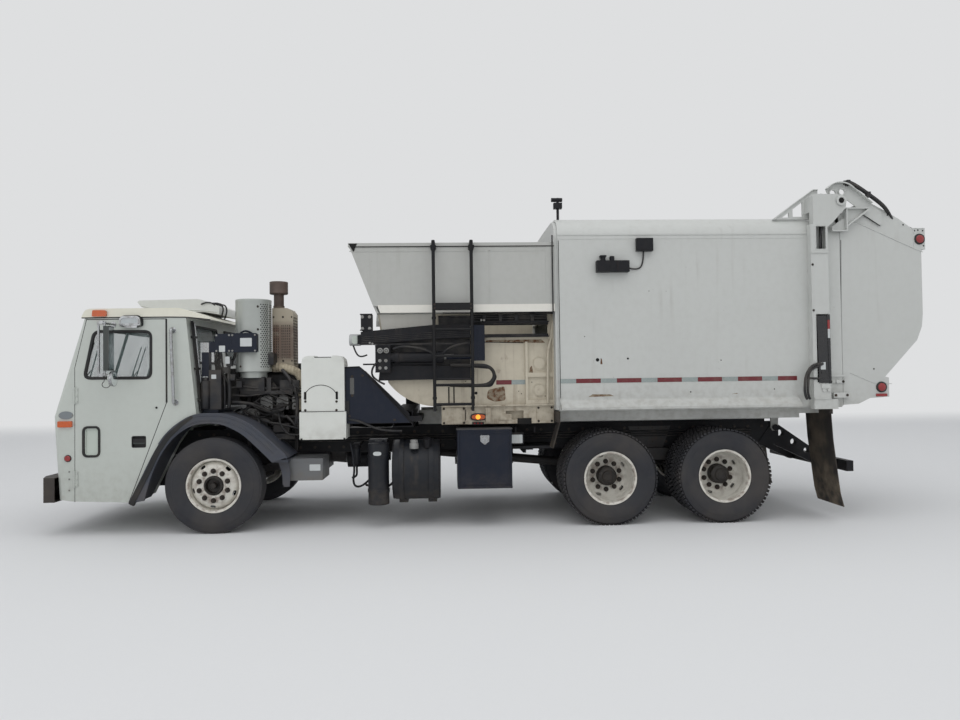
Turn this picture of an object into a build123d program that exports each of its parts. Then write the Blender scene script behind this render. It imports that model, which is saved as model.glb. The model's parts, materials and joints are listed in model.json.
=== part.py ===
"""A side-loading refuse truck: low-entry cab, open engine, hopper with packer, body and tailgate.

X runs to the rear, Y to the truck's right, Z up, in millimetres. The origin is on the ground
under the middle of the truck. "side" is -1 on the truck's left and +1 on its right.
"""

import math
import os

from build123d import *

os.makedirs("parts", exist_ok=True)

# Wheels and axles
FRONT_AXLE_X = -3065
REAR_AXLES_X = (1298, 2593)
HUB_Z = 520
TYRE_RADIUS = 520
TYRE_HALF_WIDTH = 137
BEAD_RADIUS = 286
FLANGE_RADIUS = 298
FRONT_TYRE_Y = 1050
TWIN_TYRES_Y = (720, 1055)
TWIN_DISC_Y = 887
KINGPIN_Y = 930
KINGPIN_RADIUS = 25
SPINDLE_RADIUS = 40
STEERING_ARM = 150
NUT_CIRCLE = 160
NUT_COUNT = 10
HAND_HOLE_COUNT = 5
RUNNING_GAP = 0.08

# Chassis
RAIL_Y = 430
RAIL_FLANGE = 80
RAIL_STEEL = 10
RAIL_Z = (795, 1075)
RAIL_REAR_X = 3545
TIP_PIN = (3485, 1003)
TIP_PIN_RADIUS = 25
SPACER_TOP_Z = 1108

# Cab
CAB_HALF = 1150
CAB_CORNER = 60
CAB_WALL = 50
CAB_SKIN_GAP = 6
DOOR_THICKNESS = 45
DOOR_HINGE_X = -4545
FLOOR_Z = 450
TUNNEL_HALF = 490
TUNNEL_TOP_Z = 760

# Load body and hopper
BODY_HALF = 1220
BODY_WALL = 25
BODY_FRONT_X = 732
BODY_REAR_X = 3935
BODY_FLOOR_Z = 1290
BODY_SIDE_TOP_Z = 3190
BODY_ROOF_Z = 3450
BODY_CORNER = 260
POST_X = (3560, 3752)
POST_HALF = 1310
HOPPER_UPPER_HALF = 1200
HOPPER_LOWER_HALF = 1000
HOPPER_WALL = 25
RIM_Z = 3140
SILL_Z = 2462
FLARE_Z = 2385
HOPPER_REAR_X = 698
LOADING_X = (-1480, -420)

# Tailgate
GATE_PIN = (3910, 3584)
GATE_PIN_RADIUS = 40
GATE_FRONT_X = 3942
GATE_HALF = 1215
LEVER_TIP = (-215, 60)

# Tipping cylinder, from its chassis pin to its eye under the body
HOIST_BASE = (500, 790)
HOIST_EYE = (1985, 1120)
HOIST_PIN_RADIUS = 24

# Side lifting arm
ARM_X = -1015
SLEEVE_Z = (1110, 1300)
MAST_Y = (1040, 1120)
MAST_Z = (640, 2450)
TILT_PIN = (1240, 1150)
FINGER_PIN_X = 210
FINGER_PIN_Y = 1300

FLATS_BY_RADIUS = ((30, 8), (90, 12), (220, 18))
MOST_FLATS = 24


def prism_y(points, low, high, rounding=0, mode=Mode.ADD):
    """An outline in X and Z, made thick from Y = low to Y = high."""
    with BuildSketch(Plane.XZ.offset(-high)) as outline:
        with BuildLine():
            Polyline(*points, close=True)
        make_face()
        if rounding:
            fillet(outline.vertices(), rounding)
    extrude(outline.sketch, amount=high - low, mode=mode)


def prism_x(points, low, high, rounding=0, mode=Mode.ADD):
    """An outline in Y and Z, made long from X = low to X = high."""
    with BuildSketch(Plane.YZ.offset(low)) as outline:
        with BuildLine():
            Polyline(*points, close=True)
        make_face()
        if rounding:
            fillet(outline.vertices(), rounding)
    extrude(outline.sketch, amount=high - low, mode=mode)


def prism_z(points, low, high, rounding=0, mode=Mode.ADD):
    """An outline in X and Y, made high from Z = low to Z = high."""
    with BuildSketch(Plane.XY.offset(low)) as outline:
        with BuildLine():
            Polyline(*points, close=True)
        make_face()
        if rounding:
            fillet(outline.vertices(), rounding)
    extrude(outline.sketch, amount=high - low, mode=mode)


def block(x, y, z, mode=Mode.ADD):
    """A box between two values on each axis."""
    centre = tuple((pair[0] + pair[1]) / 2 for pair in (x, y, z))
    with Locations(centre):
        Box(abs(x[1] - x[0]), abs(y[1] - y[0]), abs(z[1] - z[0]), mode=mode)


def flats(radius):
    """How many flats stand for a round of this radius."""
    for limit, count in FLATS_BY_RADIUS:
        if radius < limit:
            return count
    return MOST_FLATS


def pin(start, end, radius, bore=0, mode=Mode.ADD):
    """A true round between two points, for a pin, a rod or its bore."""
    path = Vector(*end) - Vector(*start)
    with BuildSketch(Plane(origin=start, z_dir=path)) as ring:
        Circle(radius)
        if bore:
            Circle(bore, mode=Mode.SUBTRACT)
    extrude(ring.sketch, amount=path.length, mode=mode)


def bar(start, end, radius, bore=0, mode=Mode.ADD):
    """A bar or pipe between two points, with flats for its round."""
    path = Vector(*end) - Vector(*start)
    with BuildSketch(Plane(origin=start, z_dir=path)) as ring:
        RegularPolygon(radius, flats(radius))
        if bore:
            RegularPolygon(bore, flats(radius), mode=Mode.SUBTRACT)
    extrude(ring.sketch, amount=path.length, mode=mode)


def bent_pipe(points, radius, bend):
    """A round pipe along straight runs joined by arcs of one radius."""
    with BuildLine() as route:
        FilletPolyline(*points, radius=bend)
    with BuildSketch(Plane(origin=route.line @ 0, z_dir=route.line % 0)) as ring:
        RegularPolygon(radius, flats(radius))
    sweep(ring.sketch, path=route.line)


def turned(points, side, y, x, z, steps=MOST_FLATS):
    """An outline of (outward, radius) pairs, turned about the Y line through x and z in flat steps."""

    def corner(point, index):
        turn = 2 * math.pi * (index + 0.5) / steps
        return Vector(x + point[1] * math.cos(turn), y + side * point[0], z + point[1] * math.sin(turn))

    faces = []
    for start, end in zip(points, points[1:] + points[:1]):
        for index in range(steps):
            ring = [corner(start, index), corner(start, index + 1), corner(end, index + 1), corner(end, index)]
            if start[1] == 0:
                ring = ring[1:]
            if end[1] == 0:
                ring = ring[:3]
            if start[1] or end[1]:
                faces.append(Face(Wire.make_polygon(ring)))
    add(Solid(Shell(faces)))


def span(side, inner, outer):
    """The low and high Y of a stretch from inner to outer on one side."""
    return tuple(sorted((side * inner, side * outer)))


def polar(centre, radius, degrees):
    """A point of X and Z on a circle."""
    turn = math.radians(degrees)
    return centre[0] + radius * math.cos(turn), centre[1] + radius * math.sin(turn)


def save(piece, name):
    """Names the finished piece and writes it."""
    piece.part.label = name
    export_step(piece.part, f"parts/{name}.step")


def save_moved(piece, name, along=0):
    """Writes a left-hand piece for the right side too, moved along the truck."""
    placed = Pos(along, 0, 0) * piece.part
    for shape, side in ((placed, "left"), (mirror(placed, about=Plane.XZ), "right")):
        shape.label = f"{name}_{side}"
        export_step(shape, f"parts/{name}_{side}.step")


# Wheels

TYRE_FLATS = 36
TYRE_CORNER_RADIUS = TYRE_RADIUS / math.cos(math.pi / TYRE_FLATS)
TYRE_OUTLINE = (
    (-95, BEAD_RADIUS + 6), (-95, FLANGE_RADIUS + 4), (-TYRE_HALF_WIDTH, 420), (-108, TYRE_CORNER_RADIUS),
    (108, TYRE_CORNER_RADIUS), (TYRE_HALF_WIDTH, 420), (95, FLANGE_RADIUS + 4), (95, BEAD_RADIUS + 6),
)


def rim_barrel(side, x, y):
    """The rim between the two bead flanges, open inside."""
    turned(
        (
            (-95, BEAD_RADIUS), (-95, FLANGE_RADIUS), (-107, FLANGE_RADIUS), (-107, 270), (107, 270),
            (107, FLANGE_RADIUS), (95, FLANGE_RADIUS), (95, BEAD_RADIUS),
        ),
        side, y, x, HUB_Z,
    )


def nuts(side, x, y, length):
    """A ring of wheel nuts standing out from a disc at y."""
    for index in range(NUT_COUNT):
        px, pz = polar((x, HUB_Z), NUT_CIRCLE, 36 * index + 18)
        with BuildSketch(Plane(origin=(px, y, pz), z_dir=(0, side, 0))) as hexagon:
            RegularPolygon(19, 6)
        extrude(hexagon.sketch, amount=length)


def hand_holes(side, x, y, radius):
    """Oval-looking holes through a disc between the nuts and the barrel."""
    for index in range(HAND_HOLE_COUNT):
        px, pz = polar((x, HUB_Z), radius, 360 / HAND_HOLE_COUNT * index + 50)
        bar((px, y - 90, pz), (px, y + 90, pz), 26, mode=Mode.SUBTRACT)


def front_wheels():
    """The steered wheels: a disc that bulges outwards to its hub."""
    side = -1
    with BuildPart() as tyre:
        turned(TYRE_OUTLINE, side, side * FRONT_TYRE_Y, FRONT_AXLE_X, HUB_Z, TYRE_FLATS)
    save_moved(tyre, "front_tyre")

    with BuildPart() as rim:
        rim_barrel(side, FRONT_AXLE_X, side * FRONT_TYRE_Y)
        turned(
            ((30, 278), (66, 248), (95, 205), (95, 60), (80, 60), (80, 198), (52, 240), (18, 268), (18, 278)),
            side, side * FRONT_TYRE_Y, FRONT_AXLE_X, HUB_Z,
        )
        hand_holes(side, FRONT_AXLE_X, side * (FRONT_TYRE_Y + 75), 226)
        nuts(side, FRONT_AXLE_X, side * (FRONT_TYRE_Y + 94), 28)
        turned(((-40, 0), (-40, 108), (112, 108), (128, 62), (128, 0)), side, side * FRONT_TYRE_Y, FRONT_AXLE_X, HUB_Z, 16)
        hub_y = side * (FRONT_TYRE_Y - 50)
        pin((FRONT_AXLE_X, hub_y, HUB_Z), (FRONT_AXLE_X, hub_y + side * 140, HUB_Z), SPINDLE_RADIUS + RUNNING_GAP,
            mode=Mode.SUBTRACT)
    save_moved(rim, "front_rim")


def rear_wheels():
    """Twin wheels on one hub: two rims, their shared disc plane, the drum and the hub."""
    side = -1
    x = REAR_AXLES_X[0]
    places = tuple(zip(("first", "second"), (0, REAR_AXLES_X[1] - REAR_AXLES_X[0])))
    with BuildPart() as tyres:
        for tyre_y in TWIN_TYRES_Y:
            turned(TYRE_OUTLINE, side, side * tyre_y, x, HUB_Z, TYRE_FLATS)
    for place, along in places:
        save_moved(tyres, f"rear_tyres_{place}", along)

    outer_y = TWIN_TYRES_Y[1]
    dish = TWIN_DISC_Y - outer_y
    with BuildPart() as rims:
        rim_barrel(side, x, side * outer_y)
        turned(
            ((-30, 278), (dish + 42, 246), (dish + 16, 205), (dish + 16, 60), (dish, 60), (dish, 212),
             (dish + 26, 256), (-50, 278)),
            side, side * outer_y, x, HUB_Z,
        )
        hand_holes(side, x, side * (TWIN_DISC_Y + 20), 226)
        nuts(side, x, side * (TWIN_DISC_Y + 15), 30)
        rim_barrel(side, x, side * TWIN_TYRES_Y[0])
        turned(
            ((95, 278), (107, 278), (-dish - 18, 250), (-dish, 212), (-dish, 60), (-dish - 16, 60),
             (-dish - 16, 206), (-dish - 28, 234), (95, 262)),
            side, side * TWIN_TYRES_Y[0], x, HUB_Z,
        )
        turned(((-247, 178), (-247, 205), (0, 205), (0, 110), (150, 110), (160, 0), (-20, 0), (-20, 178)),
               side, side * TWIN_DISC_Y, x, HUB_Z, 16)
        hub_y = side * (TWIN_DISC_Y - 30)
        pin((x, hub_y, HUB_Z), (x, hub_y + side * 90, HUB_Z), SPINDLE_RADIUS + RUNNING_GAP, mode=Mode.SUBTRACT)
    for place, along in places:
        save_moved(rims, f"rear_rims_{place}", along)


LEAF_HALF_LENGTHS = (640, 540, 420, 300)
LEAF_RISE = 110


def front_axle():
    """The dropped beam, its kingpin bosses and its two leaf springs."""
    with BuildPart() as axle:
        prism_x(
            (
                (-KINGPIN_Y, 470), (-KINGPIN_Y, 580), (-840, 580), (-620, 500), (620, 500), (840, 580),
                (KINGPIN_Y, 580), (KINGPIN_Y, 470), (820, 470), (600, 400), (-600, 400), (-820, 470),
            ),
            FRONT_AXLE_X - 35, FRONT_AXLE_X + 35,
        )
        for side in (-1, 1):
            boss_y = side * KINGPIN_Y
            bar((FRONT_AXLE_X, boss_y, 460), (FRONT_AXLE_X, boss_y, 590), 45)
            block((FRONT_AXLE_X - 90, FRONT_AXLE_X + 90), span(side, 350, 430), (500, 545))
        for side in (-1, 1):
            boss_y = side * KINGPIN_Y
            pin((FRONT_AXLE_X, boss_y, 440), (FRONT_AXLE_X, boss_y, 610), KINGPIN_RADIUS + RUNNING_GAP,
                mode=Mode.SUBTRACT)
        for side in (-1, 1):
            for leaf, half in enumerate(LEAF_HALF_LENGTHS):
                with BuildSketch(Plane.XZ.offset(-(side * 390 + 40))) as outline:
                    with BuildLine():
                        top = 615 - 16 * leaf
                        rise = LEAF_RISE * (half / LEAF_HALF_LENGTHS[0]) ** 2
                        ThreePointArc(
                            (FRONT_AXLE_X - half, top + rise), (FRONT_AXLE_X, top), (FRONT_AXLE_X + half, top + rise)
                        )
                        Line((FRONT_AXLE_X + half, top + rise), (FRONT_AXLE_X + half, top + rise - 16))
                        ThreePointArc(
                            (FRONT_AXLE_X + half, top + rise - 16), (FRONT_AXLE_X, top - 16),
                            (FRONT_AXLE_X - half, top + rise - 16),
                        )
                        Line((FRONT_AXLE_X - half, top + rise - 16), (FRONT_AXLE_X - half, top + rise))
                    make_face()
                extrude(outline.sketch, amount=80)
            block((FRONT_AXLE_X - 60, FRONT_AXLE_X + 60), span(side, 350, 430), (545, 555))
            for end in (-1, 1):
                end_x = FRONT_AXLE_X + end * (LEAF_HALF_LENGTHS[0] - 20)
                block((end_x - 30, end_x + 30), span(side, 350, 430), (715, RAIL_Z[0]))
    save(axle, "front_axle")


def knuckle(side, name):
    """The steering knuckle: two lugs on the kingpin, the spindle and the steering arm."""
    with BuildPart() as piece:
        low, high = span(side, 985, 1005)
        block((FRONT_AXLE_X - 60, FRONT_AXLE_X + 60), (low, high), (395, 645))
        for lug_z in ((395, 452), (598, 645)):
            block((FRONT_AXLE_X - 45, FRONT_AXLE_X + 45), span(side, 890, 985), lug_z)
        pin_y = side * KINGPIN_Y
        pin((FRONT_AXLE_X, pin_y, 430), (FRONT_AXLE_X, pin_y, 620), KINGPIN_RADIUS)
        pin((FRONT_AXLE_X, side * 1000, HUB_Z), (FRONT_AXLE_X, side * 1120, HUB_Z), SPINDLE_RADIUS)
        block((FRONT_AXLE_X + 40, FRONT_AXLE_X + STEERING_ARM + 25), span(side, 870, 910), (412, 440))
    save(piece, f"knuckle_{name}")


def tie_rod():
    """The rod between the two steering arms, just under their ends."""
    rod_x = FRONT_AXLE_X + STEERING_ARM
    with BuildPart() as rod:
        bar((rod_x, -880, 385), (rod_x, 880, 385), 19)
    save(rod, "tie_rod")


def rear_axles():
    """Two drive axles, the shafts to them, and the walking beams with their saddles on the frame."""
    with BuildPart() as axles:
        for axle_x in REAR_AXLES_X:
            bar((axle_x, -860, HUB_Z), (axle_x, 860, HUB_Z), 66)
            pin((axle_x, -940, HUB_Z), (axle_x, 940, HUB_Z), SPINDLE_RADIUS)
            bar((axle_x, -110, HUB_Z), (axle_x, 130, HUB_Z), 205)
            bar((axle_x - 330, 0, HUB_Z + 40), (axle_x, 0, HUB_Z + 40), 120)
        bar((-1340, 0, 800), (-1300, 0, 797), 80)
        bar((-1300, 0, 797), (1000, 0, HUB_Z + 50), 55)
        bar((1480, 0, HUB_Z + 60), (2290, 0, HUB_Z + 40), 50)
        middle = sum(REAR_AXLES_X) / 2
        first, last = REAR_AXLES_X
        for side in (-1, 1):
            low, high = span(side, 440, 530)
            prism_y(
                (
                    (first - 90, 596), (first + 90, 596), (middle - 120, 640), (middle + 120, 640),
                    (last - 90, 596), (last + 90, 596), (last + 90, 690), (last - 60, 700),
                    (middle + 150, 780), (middle - 150, 780), (first + 60, 700), (first - 90, 690),
                ),
                low, high,
            )
            prism_y(
                ((middle - 260, 1040), (middle + 260, 1040), (middle + 130, 700), (middle - 130, 700)),
                *span(side, 430, 440),
            )
            for axle_x in REAR_AXLES_X:
                block((axle_x - 60, axle_x + 60), (low, high), (540, 600))
    save(axles, "rear_axles")


# Chassis

CROSS_MEMBERS_X = (-4600, -3980, -1200, -300, 2250, 3100, 3350)


def chassis():
    """Two channel rails that drop under the cab, with cross-members and the tipping pins."""
    web = (
        (-4700, 430), (-3860, 430), (-3740, RAIL_Z[0]), (RAIL_REAR_X, RAIL_Z[0]), (RAIL_REAR_X, RAIL_Z[1]),
        (-3820, RAIL_Z[1]), (-3900, 700), (-4700, 700),
    )
    with BuildPart() as frame:
        for side in (-1, 1):
            prism_y(web, *span(side, RAIL_Y - RAIL_STEEL, RAIL_Y))
            for flange_z in ((RAIL_Z[0], RAIL_Z[0] + RAIL_STEEL), (RAIL_Z[1] - RAIL_STEEL, RAIL_Z[1])):
                block((-3735, RAIL_REAR_X), span(side, RAIL_Y - RAIL_FLANGE, RAIL_Y - RAIL_STEEL), flange_z)
            for flange_z in ((430, 440), (690, 700)):
                block((-4700, -3900), span(side, RAIL_Y - RAIL_FLANGE, RAIL_Y - RAIL_STEEL), flange_z)
            block((-860, 3380), span(side, RAIL_Y - RAIL_FLANGE + 5, RAIL_Y - 5), (RAIL_Z[1], SPACER_TOP_Z))
            pin_x, pin_z = TIP_PIN
            pin((pin_x, side * RAIL_Y, pin_z), (pin_x, side * 500, pin_z), TIP_PIN_RADIUS)
            bar((pin_x, side * 488, pin_z), (pin_x, side * 500, pin_z), 38)
            prism_y(
                ((3300, 830), (3545, 830), (3545, 960), (3520, 1040), (3450, 1040)),
                *span(side, RAIL_Y, RAIL_Y + 12),
            )
        for member_x in CROSS_MEMBERS_X:
            low_z = 440 if member_x < -3800 else 900
            top_z = 640 if member_x < -3800 else RAIL_Z[1] - RAIL_STEEL - 20
            block((member_x - 35, member_x + 35), (-RAIL_Y + RAIL_STEEL, RAIL_Y - RAIL_STEEL), (low_z, top_z))
        base_x, base_z = HOIST_BASE
        block((base_x - 100, base_x - 65), (-RAIL_Y + RAIL_STEEL, RAIL_Y - RAIL_STEEL), (740, 900))
        for side in (-1, 1):
            block((base_x - 65, base_x + 60), span(side, 58, 78), (base_z - 50, base_z + 50))
        pin((base_x, -78, base_z), (base_x, 78, base_z), HOIST_PIN_RADIUS)
        for side in (-1, 1):
            low, high = span(side, RAIL_Y - RAIL_FLANGE, RAIL_Y - RAIL_STEEL)
            prism_y(
                ((3420, 830), (3420, 1040), (3545, 1040), (4090, 660), (4150, 660), (4150, 520), (4060, 520)), low, high,
            )
            for hole_x, hole_z, hole_r in ((3580, 930, 42), (3740, 820, 38), (3900, 710, 34)):
                bar((hole_x, low - 5, hole_z), (hole_x, high + 5, hole_z), hole_r, mode=Mode.SUBTRACT)
        block((4080, 4160), (-1000, 1000), (525, 645))
        block((ARM_X - 115, ARM_X + 115), (-950, 950), SLEEVE_Z)
        block((ARM_X - 100, ARM_X + 100), (-960, 960), (SLEEVE_Z[0] + 15, SLEEVE_Z[1] - 15), mode=Mode.SUBTRACT)
        for side in (-1, 1):
            block((ARM_X - 115, ARM_X + 115), span(side, 350, RAIL_Y), (RAIL_Z[1], SLEEVE_Z[0]))
    save(frame, "chassis_frame")


# Cab

WHEEL_ARCH = ((-3285, 1290), (-3409, 1217), (-3561, 1089), (-3677, 924), (-3963, 350))
CAB_SIDE = (
    (-4725, 403), (-4771, 1097), (-4779, 1300), (-4457, 2367), (-3355, 2367), (-3249, 1298), *WHEEL_ARCH, (-4540, 375),
)
DOOR_SIDE = ((-4540, 378), (-4540, 1822), (-4414, 2343), (-3569, 2343), (-3569, 1434), (-3975, 356))
DOOR_OPENING = (*((x, z) for x, z in DOOR_SIDE if z > 400), (-3998, 295), (-4540, 295))
DOOR_WINDOW = ((-4341, 2222), (-3726, 2216), (-3728, 1699), (-4448, 1704))
PEEP_WINDOW = ((-4456, 858), (-4280, 858), (-4280, 1182), (-4456, 1182))
WINDSCREEN_Z = (1430, 2280)
REAR_WINDOW_Z = (1860, 2290)
REAR_WINDOW_Y = (130, 950)
WHEEL_HUB = (-4206, 640, 1424)
WHEEL_TILT = Vector(190, 0, 180).normalized()


def front_face_x(z):
    """The outside of the sloping front at height z."""
    return -4779 + (z - 1300) * 322 / 1067


def rear_face_x(z):
    """The outside of the rear wall at height z."""
    return -3355 + (2367 - z) * 106 / 1069


def slab(face_x, heights, near, far):
    """An outline that follows a sloping face, from near to far behind it."""
    low, high = heights
    return (
        (face_x(low) + near, low), (face_x(high) + near, high), (face_x(high) + far, high), (face_x(low) + far, low),
    )


def side_sketch(points, y, gap=0, rounding=0):
    """An outline in X and Z at one Y, grown or shrunk by a gap."""
    with BuildSketch(Plane.XZ.offset(-y)) as outline:
        with BuildLine():
            Polyline(*points, close=True)
        make_face()
        if gap:
            offset(amount=gap, kind=Kind.INTERSECTION)
        if rounding:
            fillet(outline.vertices(), rounding)
    return outline.sketch


def cab_shell():
    """The welded cab: walls, floor, frame tunnel, with door, windscreen and rear window openings."""
    with BuildPart() as shell:
        prism_y(CAB_SIDE, -CAB_HALF, CAB_HALF)
        corners = [
            edge for edge in shell.edges()
            if edge.center().X < -4500 and abs(edge.center().Y) > CAB_HALF - 1 and edge.bounding_box().size.Z > 300
        ]
        fillet(corners, CAB_CORNER)
        inside = side_sketch(CAB_SIDE, CAB_HALF - CAB_WALL, gap=-CAB_WALL)
        extrude(inside, amount=2 * (CAB_HALF - CAB_WALL), mode=Mode.SUBTRACT)
        tunnel = (
            (-4722, 404), (-4722, TUNNEL_TOP_Z), (-4000, TUNNEL_TOP_Z), (-3910, 1150), (-3520, 1150), (-3561, 1095),
            (-3677, 930), (-3950, 385),
        )
        prism_y(tunnel, -TUNNEL_HALF, TUNNEL_HALF)
        channel = (
            (-4712, 300), (-4712, 715), (-3970, 715), (-3870, 1100), (-3200, 1100), (-3200, 300),
        )
        prism_y(channel, -RAIL_Y - 20, RAIL_Y + 20, mode=Mode.SUBTRACT)
        for side in (-1, 1):
            block((-4800, -4690), span(side, 345, RAIL_Y + 5), (425, 705), mode=Mode.SUBTRACT)
        for side in (-1, 1):
            opening = side_sketch(DOOR_OPENING, side * CAB_HALF + 100, gap=CAB_SKIN_GAP)
            extrude(opening, amount=200, mode=Mode.SUBTRACT)
        prism_y(slab(front_face_x, WINDSCREEN_Z, -30, 90), -1010, 1010, mode=Mode.SUBTRACT)
        for side in (-1, 1):
            prism_y(slab(rear_face_x, REAR_WINDOW_Z, -90, 30), *span(side, *REAR_WINDOW_Y), mode=Mode.SUBTRACT)
    save(shell, "cab_shell")


def cab_glass():
    """The windscreen and the two rear windows."""
    with BuildPart() as glass:
        prism_y(slab(front_face_x, WINDSCREEN_Z, 12, 20), -1010, 1010)
        for side in (-1, 1):
            prism_y(slab(rear_face_x, REAR_WINDOW_Z, -20, -12), *span(side, *REAR_WINDOW_Y))
    save(glass, "cab_glass")


AC_SIDE = ((-4058, 2593), (-3360, 2607), (-3127, 2515), (-3127, 2425), (-3300, 2460), (-3880, 2460), (-4014, 2523))


def cab_roof():
    """The moulded roof cap with its long rear visor, and the air-conditioning scoop on it."""
    cap = ((-4470, 2367), (-4411, 2465), (-3439, 2465), (-3085, 2353), (-3085, 2335), (-3340, 2367))
    with BuildPart() as roof:
        prism_y(cap, -1160, 1160)
        fillet(roof.edges().filter_by(Axis.X).group_by(Axis.Z)[-1], 45)
        prism_y(AC_SIDE, -720, 720)
    save(roof, "cab_roof")


def door(side, name):
    """A cab door with its window frame, peep window, hinges, grip recess, lamp and mirrors."""
    low, high = span(side, CAB_HALF - DOOR_THICKNESS, CAB_HALF)
    with BuildPart() as leaf:
        extrude(side_sketch(DOOR_SIDE, high), amount=DOOR_THICKNESS)
        extrude(side_sketch(DOOR_WINDOW, high + 20, rounding=45), amount=DOOR_THICKNESS + 40, mode=Mode.SUBTRACT)
        extrude(side_sketch(PEEP_WINDOW, high + 20, rounding=40), amount=DOOR_THICKNESS + 40, mode=Mode.SUBTRACT)
        for hinge_z in ((540, 700), (1440, 1600)):
            block((DOOR_HINGE_X, DOOR_HINGE_X + 30), span(side, CAB_HALF, CAB_HALF + 6), hinge_z)
            knuckle_y = side * (CAB_HALF + 10)
            pin((DOOR_HINGE_X, knuckle_y, hinge_z[0]), (DOOR_HINGE_X, knuckle_y, hinge_z[1]), 8)
        block((-3937, -3789), span(side, CAB_HALF - 25, CAB_HALF), (951, 1072), mode=Mode.SUBTRACT)
        block((-3925, -3801), span(side, CAB_HALF - 25, CAB_HALF - 8), (990, 1040))
        block((-4038, -3821), span(side, CAB_HALF - 5, CAB_HALF + 65), (2275, 2330))
        mirror_y = side * 1420
        for arm_x in (-4160, -4100):
            bar((arm_x, mirror_y, 1740), (arm_x, mirror_y, 2290), 11)
        for arm_z in (1740, 2290):
            bar((-4160, mirror_y, arm_z), (-4100, mirror_y, arm_z), 11)
            bar((-4130, mirror_y, arm_z), (-4130, side * (CAB_HALF - 5), arm_z), 10)
        block((-4095, -4050), span(side, 1330, 1448), (1790, 2250))
        bar((-4050, side * 1390, 1700), (-4020, side * 1390, 1700), 78)
        bar((-4035, mirror_y, 1740), (-4100, mirror_y, 1740), 8)
    save(leaf, f"door_{name}")

    with BuildPart() as panes:
        pane_high = span(side, CAB_HALF - 30, CAB_HALF - 24)[1]
        extrude(side_sketch(DOOR_WINDOW, pane_high, rounding=45), amount=6)
        extrude(side_sketch(PEEP_WINDOW, pane_high, rounding=40), amount=6)
    save(panes, f"door_glass_{name}")


def cab_inside():
    """The dashboard, two steering wheels, the pedestals and two seats."""
    with BuildPart() as dash:
        prism_y(
            ((-4690, 760), (-4715, 1240), (-4600, 1330), (-4330, 1290), (-4330, 1180), (-4480, 1100), (-4480, 760)),
            -1085, 1085,
        )
        for side in (-1, 1):
            hub = Vector(WHEEL_HUB[0], side * WHEEL_HUB[1], WHEEL_HUB[2])
            bar(hub - WHEEL_TILT * 262, hub, 28)
            with BuildSketch(Plane(origin=hub, z_dir=WHEEL_TILT)) as ring:
                Circle(225)
                Circle(203, mode=Mode.SUBTRACT)
                Rectangle(420, 34)
                Circle(48)
            extrude(ring.sketch, amount=24)
    save(dash, "dashboard")

    with BuildPart() as seats:
        for side in (-1, 1):
            low, high = span(side, 500, 1040)
            pedestal = ((-4030, 403), (-4030, 1180), (-3570, 1180), (-3618, 1128), (-3728, 962), (-4003, 403))
            prism_y(pedestal, low + 60, high - 60)
            block((-4030, -3560), (low, high), (1180, 1310))
            prism_y(((-3600, 1310), (-3470, 1310), (-3400, 1960), (-3500, 1970)), low + 20, high - 20)
    save(seats, "seats")


def cab_fittings():
    """Grab rails, the front bumper, steps and the lamps on the cab's corners."""
    with BuildPart() as rails:
        for side in (-1, 1):
            y_out = side * (CAB_HALF + 55)
            bent_pipe(
                ((-3470, side * CAB_HALF, 1433), (-3470, y_out, 1433), (-3495, y_out, 2222), (-3495, side * CAB_HALF, 2222)),
                15, 30,
            )

        for side in (-1, 1):
            block((-4337, -4199), span(side, 1160, 1180), (2380, 2432))
            block((-4707, -4570), span(side, 1150, 1168), (1186, 1244))
            bar((-4616, side * 1150, 844), (-4616, side * 1166, 844), 29)
            for lamp_y in (760, 930):
                bar((-4800, side * lamp_y, 1010), (-4772, side * lamp_y, 1010), 85)
    save(rails, "cab_fittings")


def front_bumper():
    """The black channel bumper on its two brackets, with a tow-pin bore in each."""
    with BuildPart() as bumper:
        prism_z(
            ((-4931, -1000), (-4931, 1000), (-4860, 1180), (-4745, 1180), (-4745, -1180), (-4860, -1180)), 375, 640,
        )
        prism_z(
            ((-4921, -996), (-4921, 996), (-4854, 1170), (-4740, 1170), (-4740, -1170), (-4854, -1170)), 385, 630,
            mode=Mode.SUBTRACT,
        )
        for side in (-1, 1):
            block((-4860, -4700), span(side, 350, RAIL_Y), (440, 620))
            block((-4921, -4860), span(side, 350, 356), (440, 620))
            block((-4921, -4860), span(side, RAIL_Y - 6, RAIL_Y), (440, 620))
            pin((-4935, side * 390, 530), (-4915, side * 390, 530), 27, mode=Mode.SUBTRACT)
    save(bumper, "front_bumper")


def fenders():
    """Front wheel arches: an outer lip that follows the arch and an inner skin over the wheel."""
    outer_line = (*reversed(WHEEL_ARCH), (-3249, 1297), (-2986, 1300), (-2666, 1185), (-2453, 1000), (-2258, 817))
    lip_inner = (
        (-2428, 766), (-2738, 1078), (-2973, 1189), (-3253, 1190), (-3480, 1060), (-3600, 900), (-3700, 700), (-3800, 375),
    )
    skin_inner = (
        (-2300, 800), (-2480, 978), (-2684, 1158), (-2992, 1272), (-3260, 1268), (-3395, 1195), (-3543, 1070),
        (-3655, 912), (-3935, 362),
    )
    with BuildPart() as arches:
        for side in (-1, 1):
            prism_y((*outer_line, *lip_inner), *span(side, CAB_HALF, 1185))
            prism_y((*outer_line, *skin_inner), *span(side, 640, CAB_HALF))
    save(arches, "fenders")


# Engine and what stands behind the cab

CYLINDER_COUNT = 6
ENGINE_X = (-3000, -1950)


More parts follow.
